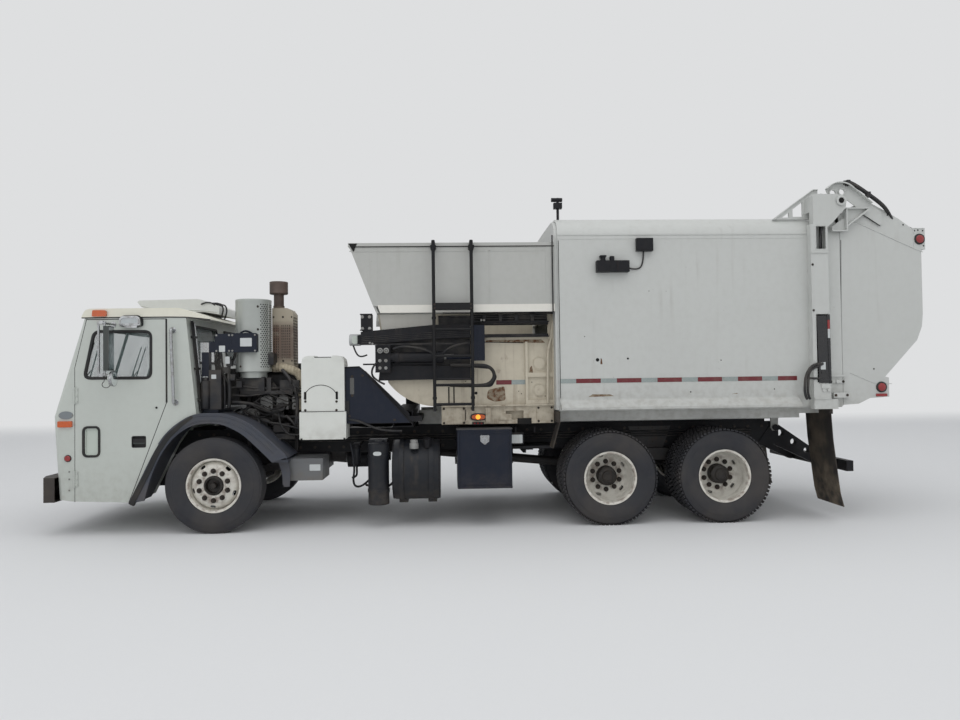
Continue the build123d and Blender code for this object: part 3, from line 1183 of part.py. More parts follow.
def lift_arm():
    """The sleeve on the frame, the boom with its mast, the carriage, the head and two fingers."""
    with BuildPart() as boom:
        block((ARM_X - 95, ARM_X + 95), (-300, MAST_Y[0]), (SLEEVE_Z[0] + 20, SLEEVE_Z[1] - 20))
        block((ARM_X - 80, ARM_X + 80), (-310, MAST_Y[0] - 20), (SLEEVE_Z[0] + 35, SLEEVE_Z[1] - 35), mode=Mode.SUBTRACT)
        block((ARM_X - 85, ARM_X + 85), MAST_Y, MAST_Z)
        block((ARM_X - 70, ARM_X + 70), (MAST_Y[0] + 15, MAST_Y[1] + 5), (MAST_Z[0] + 15, MAST_Z[1] - 15),
              mode=Mode.SUBTRACT)
    save(boom, "arm_mast")

    pin_y, pin_z = TILT_PIN
    with BuildPart() as carriage:
        for side in (-1, 1):
            cheek_x = sorted((ARM_X + side * 90, ARM_X + side * 110))
            prism_x(
                ((1050, 780), (1050, 1180), (1220, 1190), (1265, 1170), (1265, 1125), (1200, 1100), (1200, 780)),
                *cheek_x,
            )
        block((ARM_X - 90, ARM_X + 90), (1130, 1200), (780, 1180))
        pin((ARM_X - 110, pin_y, pin_z), (ARM_X + 110, pin_y, pin_z), 15)
    save(carriage, "arm_carriage")

    with BuildPart() as head:
        bar((ARM_X - 82, pin_y, pin_z), (ARM_X + 82, pin_y, pin_z), 28)
        block((ARM_X - 82, ARM_X + 82), (1245, 1270), (700, 1150))
        block((ARM_X - 250, ARM_X + 250), (1250, 1270), (700, 960))
        for side in (-1, 1):
            pin_x = ARM_X + side * FINGER_PIN_X
            for lug_z in ((740, 780), (880, 920)):
                block((pin_x - 26, pin_x + 26), (1270, 1328), lug_z)
            pin((pin_x, FINGER_PIN_Y, 740), (pin_x, FINGER_PIN_Y, 920), 12)
        pin((ARM_X - 85, pin_y, pin_z), (ARM_X + 85, pin_y, pin_z), 15 + RUNNING_GAP, mode=Mode.SUBTRACT)
    save(head, "arm_head")

    for side, name in ((-1, "front"), (1, "rear")):
        pin_x = ARM_X + side * FINGER_PIN_X
        outline = ((0, -18), (300, -18), (430, 12), (520, 82), (506, 100), (416, 42), (300, 18), (0, 18))
        with BuildPart() as finger:
            prism_z([(pin_x + side * x, FINGER_PIN_Y + y) for x, y in outline], 790, 870)
            bar((pin_x, FINGER_PIN_Y, 785), (pin_x, FINGER_PIN_Y, 875), 22)
            pin((pin_x, FINGER_PIN_Y, 780), (pin_x, FINGER_PIN_Y, 880), 12 + RUNNING_GAP, mode=Mode.SUBTRACT)
        save(finger, f"finger_{name}")


def build_all():
    """Makes every piece in turn."""
    sides = ((-1, "left"), (1, "right"))
    for side, name in sides:
        knuckle(side, name)
        door(side, name)
    front_wheels()
    rear_wheels()
    front_axle()
    tie_rod()
    rear_axles()
    chassis()
    cab_shell()
    cab_glass()
    cab_roof()
    cab_inside()
    cab_fittings()
    front_bumper()
    fenders()
    engine()
    exhaust()
    behind_cab()
    frame_tanks()
    body_shell()
    body_floor()
    hopper()
    packer()
    ladder()
    tail_posts()
    tailgate()
    hoist()
    lift_arm()


build_all()
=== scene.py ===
"""Finish and trim of a side-loading garbage truck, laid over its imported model."""

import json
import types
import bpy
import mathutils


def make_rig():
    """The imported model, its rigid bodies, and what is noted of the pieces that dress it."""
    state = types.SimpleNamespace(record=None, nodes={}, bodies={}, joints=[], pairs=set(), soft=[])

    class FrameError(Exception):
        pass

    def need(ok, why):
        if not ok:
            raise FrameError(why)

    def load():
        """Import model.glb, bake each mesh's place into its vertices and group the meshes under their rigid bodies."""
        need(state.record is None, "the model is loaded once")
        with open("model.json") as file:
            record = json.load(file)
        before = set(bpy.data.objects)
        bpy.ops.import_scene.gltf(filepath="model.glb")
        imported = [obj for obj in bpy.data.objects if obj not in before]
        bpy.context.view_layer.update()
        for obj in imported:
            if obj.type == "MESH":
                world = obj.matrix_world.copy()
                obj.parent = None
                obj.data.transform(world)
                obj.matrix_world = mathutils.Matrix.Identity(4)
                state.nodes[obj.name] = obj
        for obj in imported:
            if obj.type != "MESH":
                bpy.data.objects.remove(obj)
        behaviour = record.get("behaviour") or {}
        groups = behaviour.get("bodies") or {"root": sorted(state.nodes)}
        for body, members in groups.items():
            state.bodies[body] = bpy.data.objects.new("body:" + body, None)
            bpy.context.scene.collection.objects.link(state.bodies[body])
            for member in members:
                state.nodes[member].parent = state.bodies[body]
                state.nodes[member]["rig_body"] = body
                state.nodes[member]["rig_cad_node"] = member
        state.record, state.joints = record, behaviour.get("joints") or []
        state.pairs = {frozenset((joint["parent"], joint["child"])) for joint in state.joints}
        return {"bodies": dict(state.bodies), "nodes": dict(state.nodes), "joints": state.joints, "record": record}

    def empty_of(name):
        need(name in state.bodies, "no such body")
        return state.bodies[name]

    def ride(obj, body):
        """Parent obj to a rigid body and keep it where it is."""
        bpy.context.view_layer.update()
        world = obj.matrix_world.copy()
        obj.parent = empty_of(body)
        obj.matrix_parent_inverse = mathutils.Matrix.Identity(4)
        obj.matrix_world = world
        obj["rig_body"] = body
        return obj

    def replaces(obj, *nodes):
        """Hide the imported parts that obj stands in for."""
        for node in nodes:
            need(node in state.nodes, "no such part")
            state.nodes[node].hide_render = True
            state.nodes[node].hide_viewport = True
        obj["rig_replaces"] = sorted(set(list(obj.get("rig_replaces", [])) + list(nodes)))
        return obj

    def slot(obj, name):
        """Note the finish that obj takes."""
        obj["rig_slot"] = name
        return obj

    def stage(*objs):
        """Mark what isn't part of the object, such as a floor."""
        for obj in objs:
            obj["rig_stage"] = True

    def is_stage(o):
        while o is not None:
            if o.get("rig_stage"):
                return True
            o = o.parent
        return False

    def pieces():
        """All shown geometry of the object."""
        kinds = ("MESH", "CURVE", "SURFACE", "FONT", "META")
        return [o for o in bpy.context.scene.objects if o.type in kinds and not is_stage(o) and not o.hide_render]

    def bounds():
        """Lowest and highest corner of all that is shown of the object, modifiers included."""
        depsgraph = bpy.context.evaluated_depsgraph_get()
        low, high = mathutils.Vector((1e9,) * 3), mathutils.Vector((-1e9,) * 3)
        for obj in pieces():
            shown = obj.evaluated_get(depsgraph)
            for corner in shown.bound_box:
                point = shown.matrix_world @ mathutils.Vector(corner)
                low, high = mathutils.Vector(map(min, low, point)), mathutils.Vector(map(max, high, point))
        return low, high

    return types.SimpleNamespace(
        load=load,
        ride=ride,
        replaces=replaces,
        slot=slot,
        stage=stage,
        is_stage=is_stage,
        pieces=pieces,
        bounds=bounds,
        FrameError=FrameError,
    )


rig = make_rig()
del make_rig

bl_info = {
    "name": "Garbage Truck Finish",
    "version": (1, 0, 0),
    "blender": (4, 5, 0),
    "location": "View3D > Sidebar > Truck",
    "description": "Paints, tyres, rims, lamps, seals, hoses, tape and stage of a garbage truck",
    "category": "Object",
}

import json
import math
import sys

import bmesh
import bpy
from bpy.props import FloatProperty, FloatVectorProperty, IntProperty, PointerProperty
from mathutils import Matrix, Vector

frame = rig.load()
CAD_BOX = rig.bounds()
SIDES = {"left": -1, "right": 1}
FRONT_AXLE_X = -3.065
REAR_AXLES = {"first": 1.298, "second": 2.593}
HUB_Z = 0.52
TWIN_TYRES_Y = (0.72, 1.055)
FRONT_TYRE_Y = 1.05
TYRE_RADIUS = 0.52
NUT_CIRCLE = 0.16
CAB_SIDE_Y, BODY_SIDE_Y, HOPPER_SIDE_Y, POST_SIDE_Y, GATE_SIDE_Y = 1.15, 1.22, 1.0, 1.31, 1.215
TANK_LINE = (0.0, -0.815, 0.622)
FILTER_FOOT = (-1.287, -1.015, 0.0)
STACK_FOOT = (-2.51, -0.45, 0.0)
BARREL_LINE = (0.0, -1.127, 1.895)
TO_PHOTO_SIDE = (0.0, -1.0, 0.0)
CAMERA_RAY, GLOSSY_RAY, TRANSMISSION_RAY = 0, 3, 6
PHOTO_SIZE = (960, 720)
CAMERA_PLACE = (-0.482, -9.14, 1.688)
CAMERA_YAW, CAMERA_PITCH, CAMERA_ROLL = 2.44, 1.2, 0.75
CAMERA_FOCAL = 720.0


def tint(red, green, blue):
    """The linear colour of one given as it shows on a screen, from 0 to 255."""
    def linear(level):
        level /= 255
        return level / 12.92 if level < 0.04045 else ((level + 0.055) / 1.055) ** 2.4
    return tuple(linear(level) for level in (red, green, blue))


def colour_setting(name, description, value):
    """A colour that the user may change."""
    return FloatVectorProperty(name=name, description=description, default=value,
                               subtype="COLOR", size=3, min=0.0, max=1.0)


def length_setting(name, description, value, highest):
    """A length that the user may change, in metres."""
    return FloatProperty(name=name, description=description, default=value,
                         min=0.0, max=highest, subtype="DISTANCE", unit="LENGTH")


class TruckPaints(bpy.types.PropertyGroup):
    """Colours of the truck's paints and plastics."""

    cab: colour_setting("Cab", "Paint of the cab and its doors", tint(188, 193, 187))
    load_body: colour_setting("Body", "Paint of the load body and tailgate", tint(194, 196, 193))
    hopper: colour_setting("Hopper", "Worn paint of the hopper's lower part", tint(196, 188, 170))
    rim: colour_setting("Rims", "Paint of the wheel discs", tint(212, 209, 200))
    navy: colour_setting("Navy", "Paint of the tool box and guards", tint(20, 27, 42))
    black: colour_setting("Black", "Paint of the frame and mechanisms", tint(27, 28, 32))
    rubber: colour_setting("Tyres", "Rubber of the tyres", tint(39, 40, 45))
    fender: colour_setting("Fenders", "Moulded plastic of the front fenders", tint(62, 66, 76))
    rust: colour_setting("Rust", "Rust on worn edges and streaks", tint(96, 58, 38))
    dirt: colour_setting("Dirt", "Dust and road dirt", tint(112, 101, 86))
    tape_red: colour_setting("Red tape", "Red lengths of the reflective tape", tint(106, 11, 24))
    tape_silver: colour_setting("Silver tape", "Silver lengths of the tape", tint(150, 160, 158))
    amber: colour_setting("Amber", "Amber lamps and markers", tint(206, 88, 20))


class TruckSizes(bpy.types.PropertyGroup):
    """Sizes of the trim."""

    lug_count: IntProperty(name="Tread lugs", description="Lugs round one tyre",
                           default=72, min=24, max=120)
    lug_depth: length_setting("Tread depth", "Depth of the tread's grooves", 0.013, 0.03)
    nut_radius: length_setting("Wheel nut", "Radius of a wheel nut", 0.0185, 0.03)
    seal_width: length_setting("Seal", "Width of the rubber seals round the windows", 0.024, 0.05)
    bolt_radius: length_setting("Bolt", "Radius of the bolt heads", 0.011, 0.03)


class TruckStage(bpy.types.PropertyGroup):
    """Floor, backdrop and light."""

    floor: colour_setting("Floor", "Colour of the floor and backdrop", tint(222, 223, 224))
    sky_level: FloatProperty(name="Sky", description="Level of the even light",
                             default=0.72, min=0.0, max=2.0)
    lamp_level: FloatProperty(name="Lamp", description="Level of the soft overhead lamp",
                              default=0.75, min=0.0, max=5.0)


class Wire:
    """A socket of a material. Arithmetic on it adds Math nodes."""

    def __init__(self, finish, socket):
        self.finish = finish
        self.socket = socket

    def math(self, operation, *values, clamp=False):
        """One Math node on these values."""
        made = self.finish.add("ShaderNodeMath", {"operation": operation, "use_clamp": clamp},
                               dict(enumerate(values)))
        return made[0]

    def __add__(self, other):
        return self.math("ADD", self, other)

    def __radd__(self, other):
        return self.math("ADD", other, self)

    def __sub__(self, other):
        return self.math("SUBTRACT", self, other)

    def __mul__(self, other):
        return self.math("MULTIPLY", self, other)

    def __rmul__(self, other):
        return self.math("MULTIPLY", other, self)

    def __truediv__(self, other):
        return self.math("DIVIDE", self, other)

    def __pow__(self, other):
        return self.math("POWER", self, other)

    def ramped(self, start, end):
        """0 up to start, 1 from end, and smooth between; start may be the larger."""
        made = self.finish.add("ShaderNodeMapRange", {"interpolation_type": "SMOOTHSTEP"},
                               {"Value": self, "From Min": start, "From Max": end})
        return made[0]

    def clamped(self):
        """The value kept from 0 to 1."""
        return self.math("ADD", self, 0.0, clamp=True)


class Finish:
    """A material in the making: its shader, and short ways to the patterns on it."""

    def __init__(self, name, colour, roughness=0.5, **own):
        self.material = bpy.data.materials.new(name)
        self.material.use_nodes = True
        self.material.diffuse_color = (*colour, 1.0)
        self.tree = self.material.node_tree
        self.tree.nodes.clear()
        values = {"Base Color": (*colour, 1.0), "Roughness": roughness}
        values.update({key.replace("_", " ").title().replace("Ior", "IOR"): value
                       for key, value in own.items()})
        self.shader = self.tree.nodes.new("ShaderNodeBsdfPrincipled")
        self.set_inputs(self.shader, values)
        self.out = self.tree.nodes.new("ShaderNodeOutputMaterial")
        self.tree.links.new(self.shader.outputs[0], self.out.inputs["Surface"])
        self.place = self.add("ShaderNodeTexCoord", {}, {}, "Object")
        self.x, self.y, self.z = self.add("ShaderNodeSeparateXYZ", {}, {"Vector": self.place})

    def set_inputs(self, node, values):
        """Gives a node's sockets their values or links."""
        for key, value in values.items():
            socket = node.inputs[key]
            if isinstance(value, Wire):
                self.tree.links.new(value.socket, socket)
            else:
                socket.default_value = value

    def add(self, kind, settings, values, output=None):
        """A node of a type, its settings first, then its sockets. Returns its outputs."""
        node = self.tree.nodes.new(kind)
        for key, value in settings.items():
            setattr(node, key, value)
        self.set_inputs(node, values)
        if output is not None:
            return Wire(self, node.outputs[output])
        return [Wire(self, socket) for socket in node.outputs]

    def stretched(self, x, y, z):
        """Object coordinates stretched along the axes."""
        return self.add("ShaderNodeMapping", {}, {"Vector": self.place, "Scale": (x, y, z)}, 0)

    def noise(self, scale, detail=3.0, place=None, rough=0.55):
        """Cloudy noise from 0 to 1 about 0.5."""
        return self.add("ShaderNodeTexNoise", {}, {"Vector": place or self.place, "Scale": scale,
                                                   "Detail": detail, "Roughness": rough}, 0)

    def cells(self, scale):
        """Distance to the nearest of scattered points."""
        return self.add("ShaderNodeTexVoronoi", {}, {"Vector": self.place, "Scale": scale}, 0)

    def waves(self, direction, scale, distortion=0.0):
        """Even bands across a direction."""
        return self.add("ShaderNodeTexWave", {"wave_type": "BANDS", "bands_direction": direction},
                        {"Vector": self.place, "Scale": scale, "Distortion": distortion}, 1)

    def mixed(self, share, first, second):
        """One colour over another, by share."""
        first, second = ((*c, 1.0) if isinstance(c, tuple) and len(c) == 3 else c
                         for c in (first, second))
        return self.add("ShaderNodeMix", {"data_type": "RGBA", "clamp_factor": True},
                        {0: share, 6: first, 7: second}, 2)

    def colour(self, value):
        """Links the base colour."""
        self.set_inputs(self.shader, {"Base Color": value})

    def roughness(self, value):
        """Links the roughness."""
        self.set_inputs(self.shader, {"Roughness": value})

    def bump(self, height, distance, strength=1.0):
        """Raises the surface by a pattern, in metres."""
        normal = self.add("ShaderNodeBump", {}, {"Height": height, "Distance": distance,
                                                 "Strength": strength}, "Normal")
        self.set_inputs(self.shader, {"Normal": normal})


def settings():
    """The user's values: paints, sizes and stage."""
    scene = bpy.context.scene
    return scene.truck_paints, scene.truck_sizes, scene.truck_stage


def weathered(name, colour, roughness=0.42, grime=0.35, streaks=0.25, foot=None, specks=0.0,
              rust=0.0, waves=0.0, grime_colour=None, **own):
    """Painted sheet metal with uneven tone, streaks running down, dirt at its foot and chips."""
    paints = settings()[0]
    dirt = grime_colour or tuple(paints.dirt)
    made = Finish(name, colour, roughness, **own)
    tone = made.noise(0.9, 3.0).ramped(0.3, 0.75)
    fine = made.noise(14.0, 4.0).ramped(0.35, 0.75)
    shade = made.mixed(tone * 0.5, colour, tuple(c * 0.93 for c in colour))
    runs = made.noise(6.0, 4.0, made.stretched(2.2, 2.2, 0.12)).ramped(0.52, 0.8)
    patches = made.noise(1.3, 2.0).ramped(0.42, 0.7)
    soil = (runs * patches * streaks + fine * grime * 0.16).clamped()
    if foot is not None:
        low, high = foot
        rise = made.z.ramped(high, low)
        soil = (soil + rise * (0.35 + 0.65 * fine) * grime).clamped()
    shade = made.mixed(soil, shade, dirt)
    if specks:
        chips = made.noise(38.0, 2.0).ramped(0.74, 0.78) * patches
        shade = made.mixed(chips * specks, shade, tuple(c * 0.25 for c in dirt))
    if rust:
        bloom = made.noise(5.0, 6.0, rough=0.7).ramped(0.6, 0.72)
        lines = made.noise(11.0, 5.0, made.stretched(2.0, 2.0, 0.1)).ramped(0.56, 0.75)
        shade = made.mixed((bloom * 0.7 + lines * 0.5).clamped() * rust, shade,
                           tuple(paints.rust))
    made.colour(shade)
    made.roughness((roughness + soil * 0.35 + fine * 0.06).clamped())
    grain = made.noise(190.0, 2.0)
    if waves:
        buckles = made.noise(1.0, 2.0, made.stretched(0.7, 0.7, 2.6))
        made.bump(buckles * waves + grain * 0.0004, 1.0)
    else:
        made.bump(grain, 0.0004)
    return made.material


def lamp_lens(name, colour, glow=0.0):
    """Moulded lens with fine ribs."""
    made = Finish(name, colour, 0.16, coat_weight=0.6, coat_roughness=0.06)
    ribs = made.waves("X", 46.0)
    cross = made.waves("Z", 46.0)
    made.colour(made.mixed(made.noise(30.0, 2.0) * 0.6, colour, tuple(c * 0.6 for c in colour)))
    made.bump(ribs * cross, 0.0015, 0.7)
    if glow:
        made.set_inputs(made.shader, {"Emission Color": (*colour, 1.0),
                                      "Emission Strength": glow})
    return made.material


def tape_finish(name, start, red, silver):
    """Red and silver lengths of reflective tape in turn along X, with its fine cell pattern."""
    paints = settings()[0]
    made = Finish(name, tuple(paints.tape_red), 0.32, coat_weight=0.4, coat_roughness=0.2)
    turn = (made.x - start) / (red + silver)
    share = turn.math("FRACT", turn)
    is_red = share.math("GREATER_THAN", share, silver / (red + silver))
    weave = made.cells(90.0).ramped(0.2, 0.6)
    shade = made.mixed(is_red, tuple(paints.tape_silver), tuple(paints.tape_red))
    worn = made.noise(9.0, 4.0).ramped(0.5, 0.75)
    shade = made.mixed(weave * 0.25, shade, made.mixed(0.5, shade, (0.0, 0.0, 0.0)))
    made.colour(made.mixed(worn * 0.3, shade, tuple(paints.dirt)))
    made.roughness(0.28 + worn * 0.35)
    made.bump(weave, 0.0006)
    return made.material


def metal(name, colour, roughness=0.2, smudge=0.3):
    """Bare or plated metal, smudged and slightly pitted."""
    paints = settings()[0]
    made = Finish(name, colour, roughness, metallic=1.0)
    haze = made.noise(18.0, 4.0).ramped(0.4, 0.75)
    made.colour(made.mixed(haze * smudge, colour, tuple(paints.dirt)))
    made.roughness((roughness + haze * 0.25).clamped())
    made.bump(made.noise(120.0, 2.0), 0.0003)
    return made.material


def grained(name, colour, roughness=0.7, grain=160.0, depth=0.0008, dust=0.25, foot=None):
    """Moulded plastic or rubber, dusty and finely grained."""
    paints = settings()[0]
    made = Finish(name, colour, roughness)
    cloud = made.noise(3.0, 5.0).ramped(0.4, 0.72)
    soil = cloud * dust
    if foot is not None:
        low, high = foot
        soil = (soil + made.z.ramped(high, low) * made.noise(9.0, 4.0).ramped(0.3, 0.7) * dust
                * 1.6).clamped()
    made.colour(made.mixed(soil, colour, tuple(paints.dirt)))
    made.roughness((roughness + soil * 0.2).clamped())
    made.bump(made.noise(grain, 3.0), depth)
    return made.material


def tyre_finish():
    """Dark rubber with fine rings on the walls, scuffs and dust in the grooves."""
    paints = settings()[0]
    base = tuple(paints.rubber)
    made = Finish("tyre rubber", base, 0.74)
    scuff = made.noise(7.0, 5.0, made.stretched(1.0, 0.4, 1.0)).ramped(0.4, 0.75)
    dust = made.noise(2.0, 3.0).ramped(0.35, 0.7)
    shade = made.mixed(scuff * 0.35, base, tuple(c * 1.7 for c in base))
    made.colour(made.mixed(dust * 0.16, shade, tuple(paints.dirt)))
    made.roughness(0.66 + scuff * 0.2)
    made.bump(made.noise(140.0, 3.0), 0.0008)
    return made.material


def rim_finish(name, hub_x):
    """Off-white disc paint with rust bleeding from the nuts and brake dust in the dish."""
    paints = settings()[0]
    base = tuple(paints.rim)
    made = Finish(name, base, 0.42)
    across, up = made.x - hub_x, made.z - HUB_Z
    reach = (across * across + up * up) ** 0.5
    blot = made.noise(16.0, 5.0)
    near_nuts = reach.ramped(0.25, 0.15) * blot.ramped(0.45, 0.68)
    flecks = made.noise(42.0, 3.0).ramped(0.66, 0.74)
    edge = reach.ramped(0.262, 0.272) * reach.ramped(0.292, 0.28) * blot.ramped(0.42, 0.66)
    shade = made.mixed(blot.ramped(0.4, 0.7) * 0.22, base, tuple(paints.dirt))
    shade = made.mixed((near_nuts * 0.55 + flecks * 0.35 + edge * 0.5).clamped(), shade,
                       tuple(paints.rust))
    made.colour(shade)
    made.roughness(0.36 + near_nuts * 0.4)
    made.bump(blot + flecks * 0.4, 0.0012)
    return made.material


def window_glass():
    """Tinted pane that shows what is behind it, with dust on its face."""
    colour, clear = tint(120, 140, 138), 0.8
    made = Finish("side glass", colour, 0.06, alpha=1.0, IOR=1.45)
    made.material.blend_method = "BLEND"
    dust = made.noise(2.4, 4.0).ramped(0.45, 0.8)
    made.set_inputs(made.shader, {"Alpha": 1.0 - clear + dust * 0.08})
    made.colour(made.mixed(dust * 0.4, colour, (0.5, 0.52, 0.52)))
    made.roughness(0.05 + dust * 0.12)
    return made.material


class Form:
    """A mesh being built from blocks, plates, turned rings and pipes, in metres."""

    def __init__(self):
        self.mesh = bmesh.new()

    def keep(self, vertices, faces):
        """Adds faces given by indices of vertices."""
        made = [self.mesh.verts.new(v) for v in vertices]
        for face in faces:
            self.mesh.faces.new([made[i] for i in face])
        return made

    def rounded(self, vertices, edge, segments=2):
        """Rounds the edges of what has just been added."""
        if edge:
            edges = {e for v in vertices for e in v.link_edges
                     if len(e.link_faces) == 2 and e.calc_face_angle(0.0) > 0.6}
            bmesh.ops.bevel(self.mesh, geom=list(edges), offset=edge, segments=segments,
                            profile=0.5, affect="EDGES", clamp_overlap=True)

    def block(self, low, high, edge=0.002, segments=2):
        """A block between two corners."""
        (a, b, c), (d, e, f) = low, high
        a, d = sorted((a, d))
        b, e = sorted((b, e))
        c, f = sorted((c, f))
        corners = [(a, b, c), (d, b, c), (d, e, c), (a, e, c),
                   (a, b, f), (d, b, f), (d, e, f), (a, e, f)]
        faces = [(0, 3, 2, 1), (4, 5, 6, 7), (0, 1, 5, 4), (1, 2, 6, 5), (2, 3, 7, 6), (3, 0, 4, 7)]
        self.rounded(self.keep(corners, faces), edge, segments)

    def plate(self, outline, axis, low, high, edge=0.002, segments=2):
        """An outline in the two other axes, as thick as from low to high on this one."""
        count = len(outline)
        vertices = [lifted(p, axis, level) for level in (low, high) for p in outline]
        faces = [tuple(range(count)), tuple(range(2 * count - 1, count - 1, -1))]
        faces += [(i, i + count, (i + 1) % count + count, (i + 1) % count) for i in range(count)]
        self.rounded(self.keep(vertices, faces), edge, segments)

    def frame_strip(self, outline, axis, low, high, width):
        """A band of this width inside a closed outline, raised from low to high."""
        inner = inset(outline, width)
        count = len(outline)
        rings = [[lifted(p, axis, level) for p in path] for path, level in
                 ((outline, low), (inset(outline, width * 0.12), high),
                  (inset(outline, width * 0.88), high), (inner, low))]
        vertices = [v for ring in rings for v in ring]
        faces = [(r * count + i, r * count + (i + 1) % count,
                  (r + 1) % 4 * count + (i + 1) % count, (r + 1) % 4 * count + i)
                 for r in range(4) for i in range(count)]
        self.keep(vertices, faces)

    def turned(self, profile, centre, axis="y", steps=48):
        """A closed profile of (along, radius) pairs turned round an axis through centre."""
        turn = "xyz".index(axis)
        others = [i for i in range(3) if i != turn]
        middle = Vector(centre)
        rings = []
        for step in range(steps):
            angle = 2 * math.pi * step / steps
            ring = []
            for along, radius in profile:
                point = middle.copy()
                point[turn] += along
                point[others[0]] += radius * math.cos(angle)
                point[others[1]] += radius * math.sin(angle)
                ring.append(self.mesh.verts.new(point))
            rings.append(ring)
        count = len(profile)
        for step in range(steps):
            here, there = rings[step], rings[(step + 1) % steps]
            for i in range(count):
                j = (i + 1) % count
                if profile[i][1] > 1e-6 or profile[j][1] > 1e-6:
                    self.mesh.faces.new((here[i], here[j], there[j], there[i]))
        bmesh.ops.remove_doubles(self.mesh, verts=[v for ring in rings for v in ring], dist=1e-6)

    def disc(self, centre, radius, low, high, axis="y", steps=32, edge=0.002):
        """A round boss from low to high along the axis, its rims broken."""
        edge = min(edge, radius * 0.4, abs(high - low) * 0.4)
        first, last = sorted((low, high))
        profile = [(first, 0.0), (first, radius - edge), (first + edge, radius),
                   (last - edge, radius), (last, radius - edge), (last, 0.0)]
        self.turned(profile, centre, axis, steps)

    def pipe(self, points, radius, sides=4, order=3, reach=8):
        """A round pipe or hose along a smooth line led by these points."""
        data = bpy.data.curves.new("pipe line", "CURVE")
        data.dimensions = "3D"
        spline = data.splines.new("NURBS")
        spline.points.add(len(points) - 1)
        for made, point in zip(spline.points, points):
            made.co = (*point, 1.0)
        spline.order_u = min(order, len(points))
        spline.use_endpoint_u = True
        spline.resolution_u = reach
        data.bevel_depth = radius
        data.bevel_resolution = sides
        data.use_fill_caps = True
        holder = linked("pipe line", data)
        held = evaluated(holder)
        self.mesh.from_mesh(held)
        bpy.data.objects.remove(holder)
        bpy.data.curves.remove(data)
        bpy.data.meshes.remove(held)

    def mirrored(self):
        """Adds the same again on the other side of the truck."""
        made = bmesh.ops.duplicate(self.mesh, geom=self.mesh.verts[:] + self.mesh.edges[:]
                                   + self.mesh.faces[:])["geom"]
        for vertex in made:
            if isinstance(vertex, bmesh.types.BMVert):
                vertex.co.y = -vertex.co.y
        bmesh.ops.reverse_faces(self.mesh,
                                faces=[f for f in made if isinstance(f, bmesh.types.BMFace)])

    def made_mesh(self, name):
        """What has been built as a mesh, its faces turned outwards."""
        bmesh.ops.recalc_face_normals(self.mesh, faces=self.mesh.faces)
        data = bpy.data.meshes.new(name)
        self.mesh.to_mesh(data)
        self.mesh.free()
        return data

    def piece(self, name, body, look, slot=None, smooth=34.0):
        """The finished piece, riding on its body. Its look is a material or a short name."""
        return placed(name, self.made_mesh(name), body, look, slot, smooth)


def linked(name, data):
    """A new object in the scene."""
    made = bpy.data.objects.new(name, data)
    bpy.context.scene.collection.objects.link(made)
    return made


def evaluated(holder):
    """The mesh of an object with its modifiers applied."""
    bpy.context.view_layer.update()
    return bpy.data.meshes.new_from_object(
        holder.evaluated_get(bpy.context.evaluated_depsgraph_get()))


def placed(name, data, body, look, slot=None, smooth=34.0):
    """An object for a mesh, with its look, riding on its body."""
    data.materials.clear()
    data.materials.append(finish(look) if isinstance(look, str) else look)
    data.shade_smooth()
    data.set_sharp_from_angle(angle=math.radians(smooth))
    made = linked(name, data)
    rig.ride(made, body)
    if slot:
        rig.slot(made, slot)
    return made


def lifted(point, axis, level):
    """A point given in the two other axes, at this level of the axis."""
    values = list(point)
    values.insert("xyz".index(axis), level)
    return tuple(values)


def inset(outline, width):
    """An outline moved inwards by a width, whichever way round it runs."""
    count = len(outline)
    area = sum(outline[i][0] * outline[(i + 1) % count][1]
               - outline[(i + 1) % count][0] * outline[i][1] for i in range(count))
    turn = 1.0 if area > 0 else -1.0
    made = []
    for i in range(count):
        before, here, after = (Vector(outline[(i + k) % count]) for k in (-1, 0, 1))
        first, second = (here - before).normalized(), (after - here).normalized()
        normals = [Vector((-d.y, d.x)) * turn for d in (first, second)]
        middle = (normals[0] + normals[1]).normalized()
        made.append(tuple(here + middle * width / max(0.3, middle.dot(normals[0]))))
    return made


def softened(outline, radius, steps=5):
    """An outline with its corners rounded."""
    count = len(outline)
    made = []
    for i in range(count):
        before, here, after = (Vector(outline[(i + k) % count]) for k in (-1, 0, 1))
        back, on = before - here, after - here
        reach = min(radius, back.length * 0.45, on.length * 0.45)
        start, end = here + back.normalized() * reach, here + on.normalized() * reach
        for step in range(steps + 1):
            t = step / steps
            made.append(tuple(start * (1 - t) ** 2 + here * 2 * t * (1 - t) + end * t ** 2))
    return made


def soft_panel(left, low, right, high, radius, steps=5):
    """The outline of a rectangle with rounded corners."""
    return softened(((left, low), (right, low), (right, high), (left, high)), radius, steps)


def signed_power(value, power):
    """A sine or cosine to a power with its sign kept; under 1 it makes an oval squarer."""
    return math.copysign(abs(value) ** power, value)


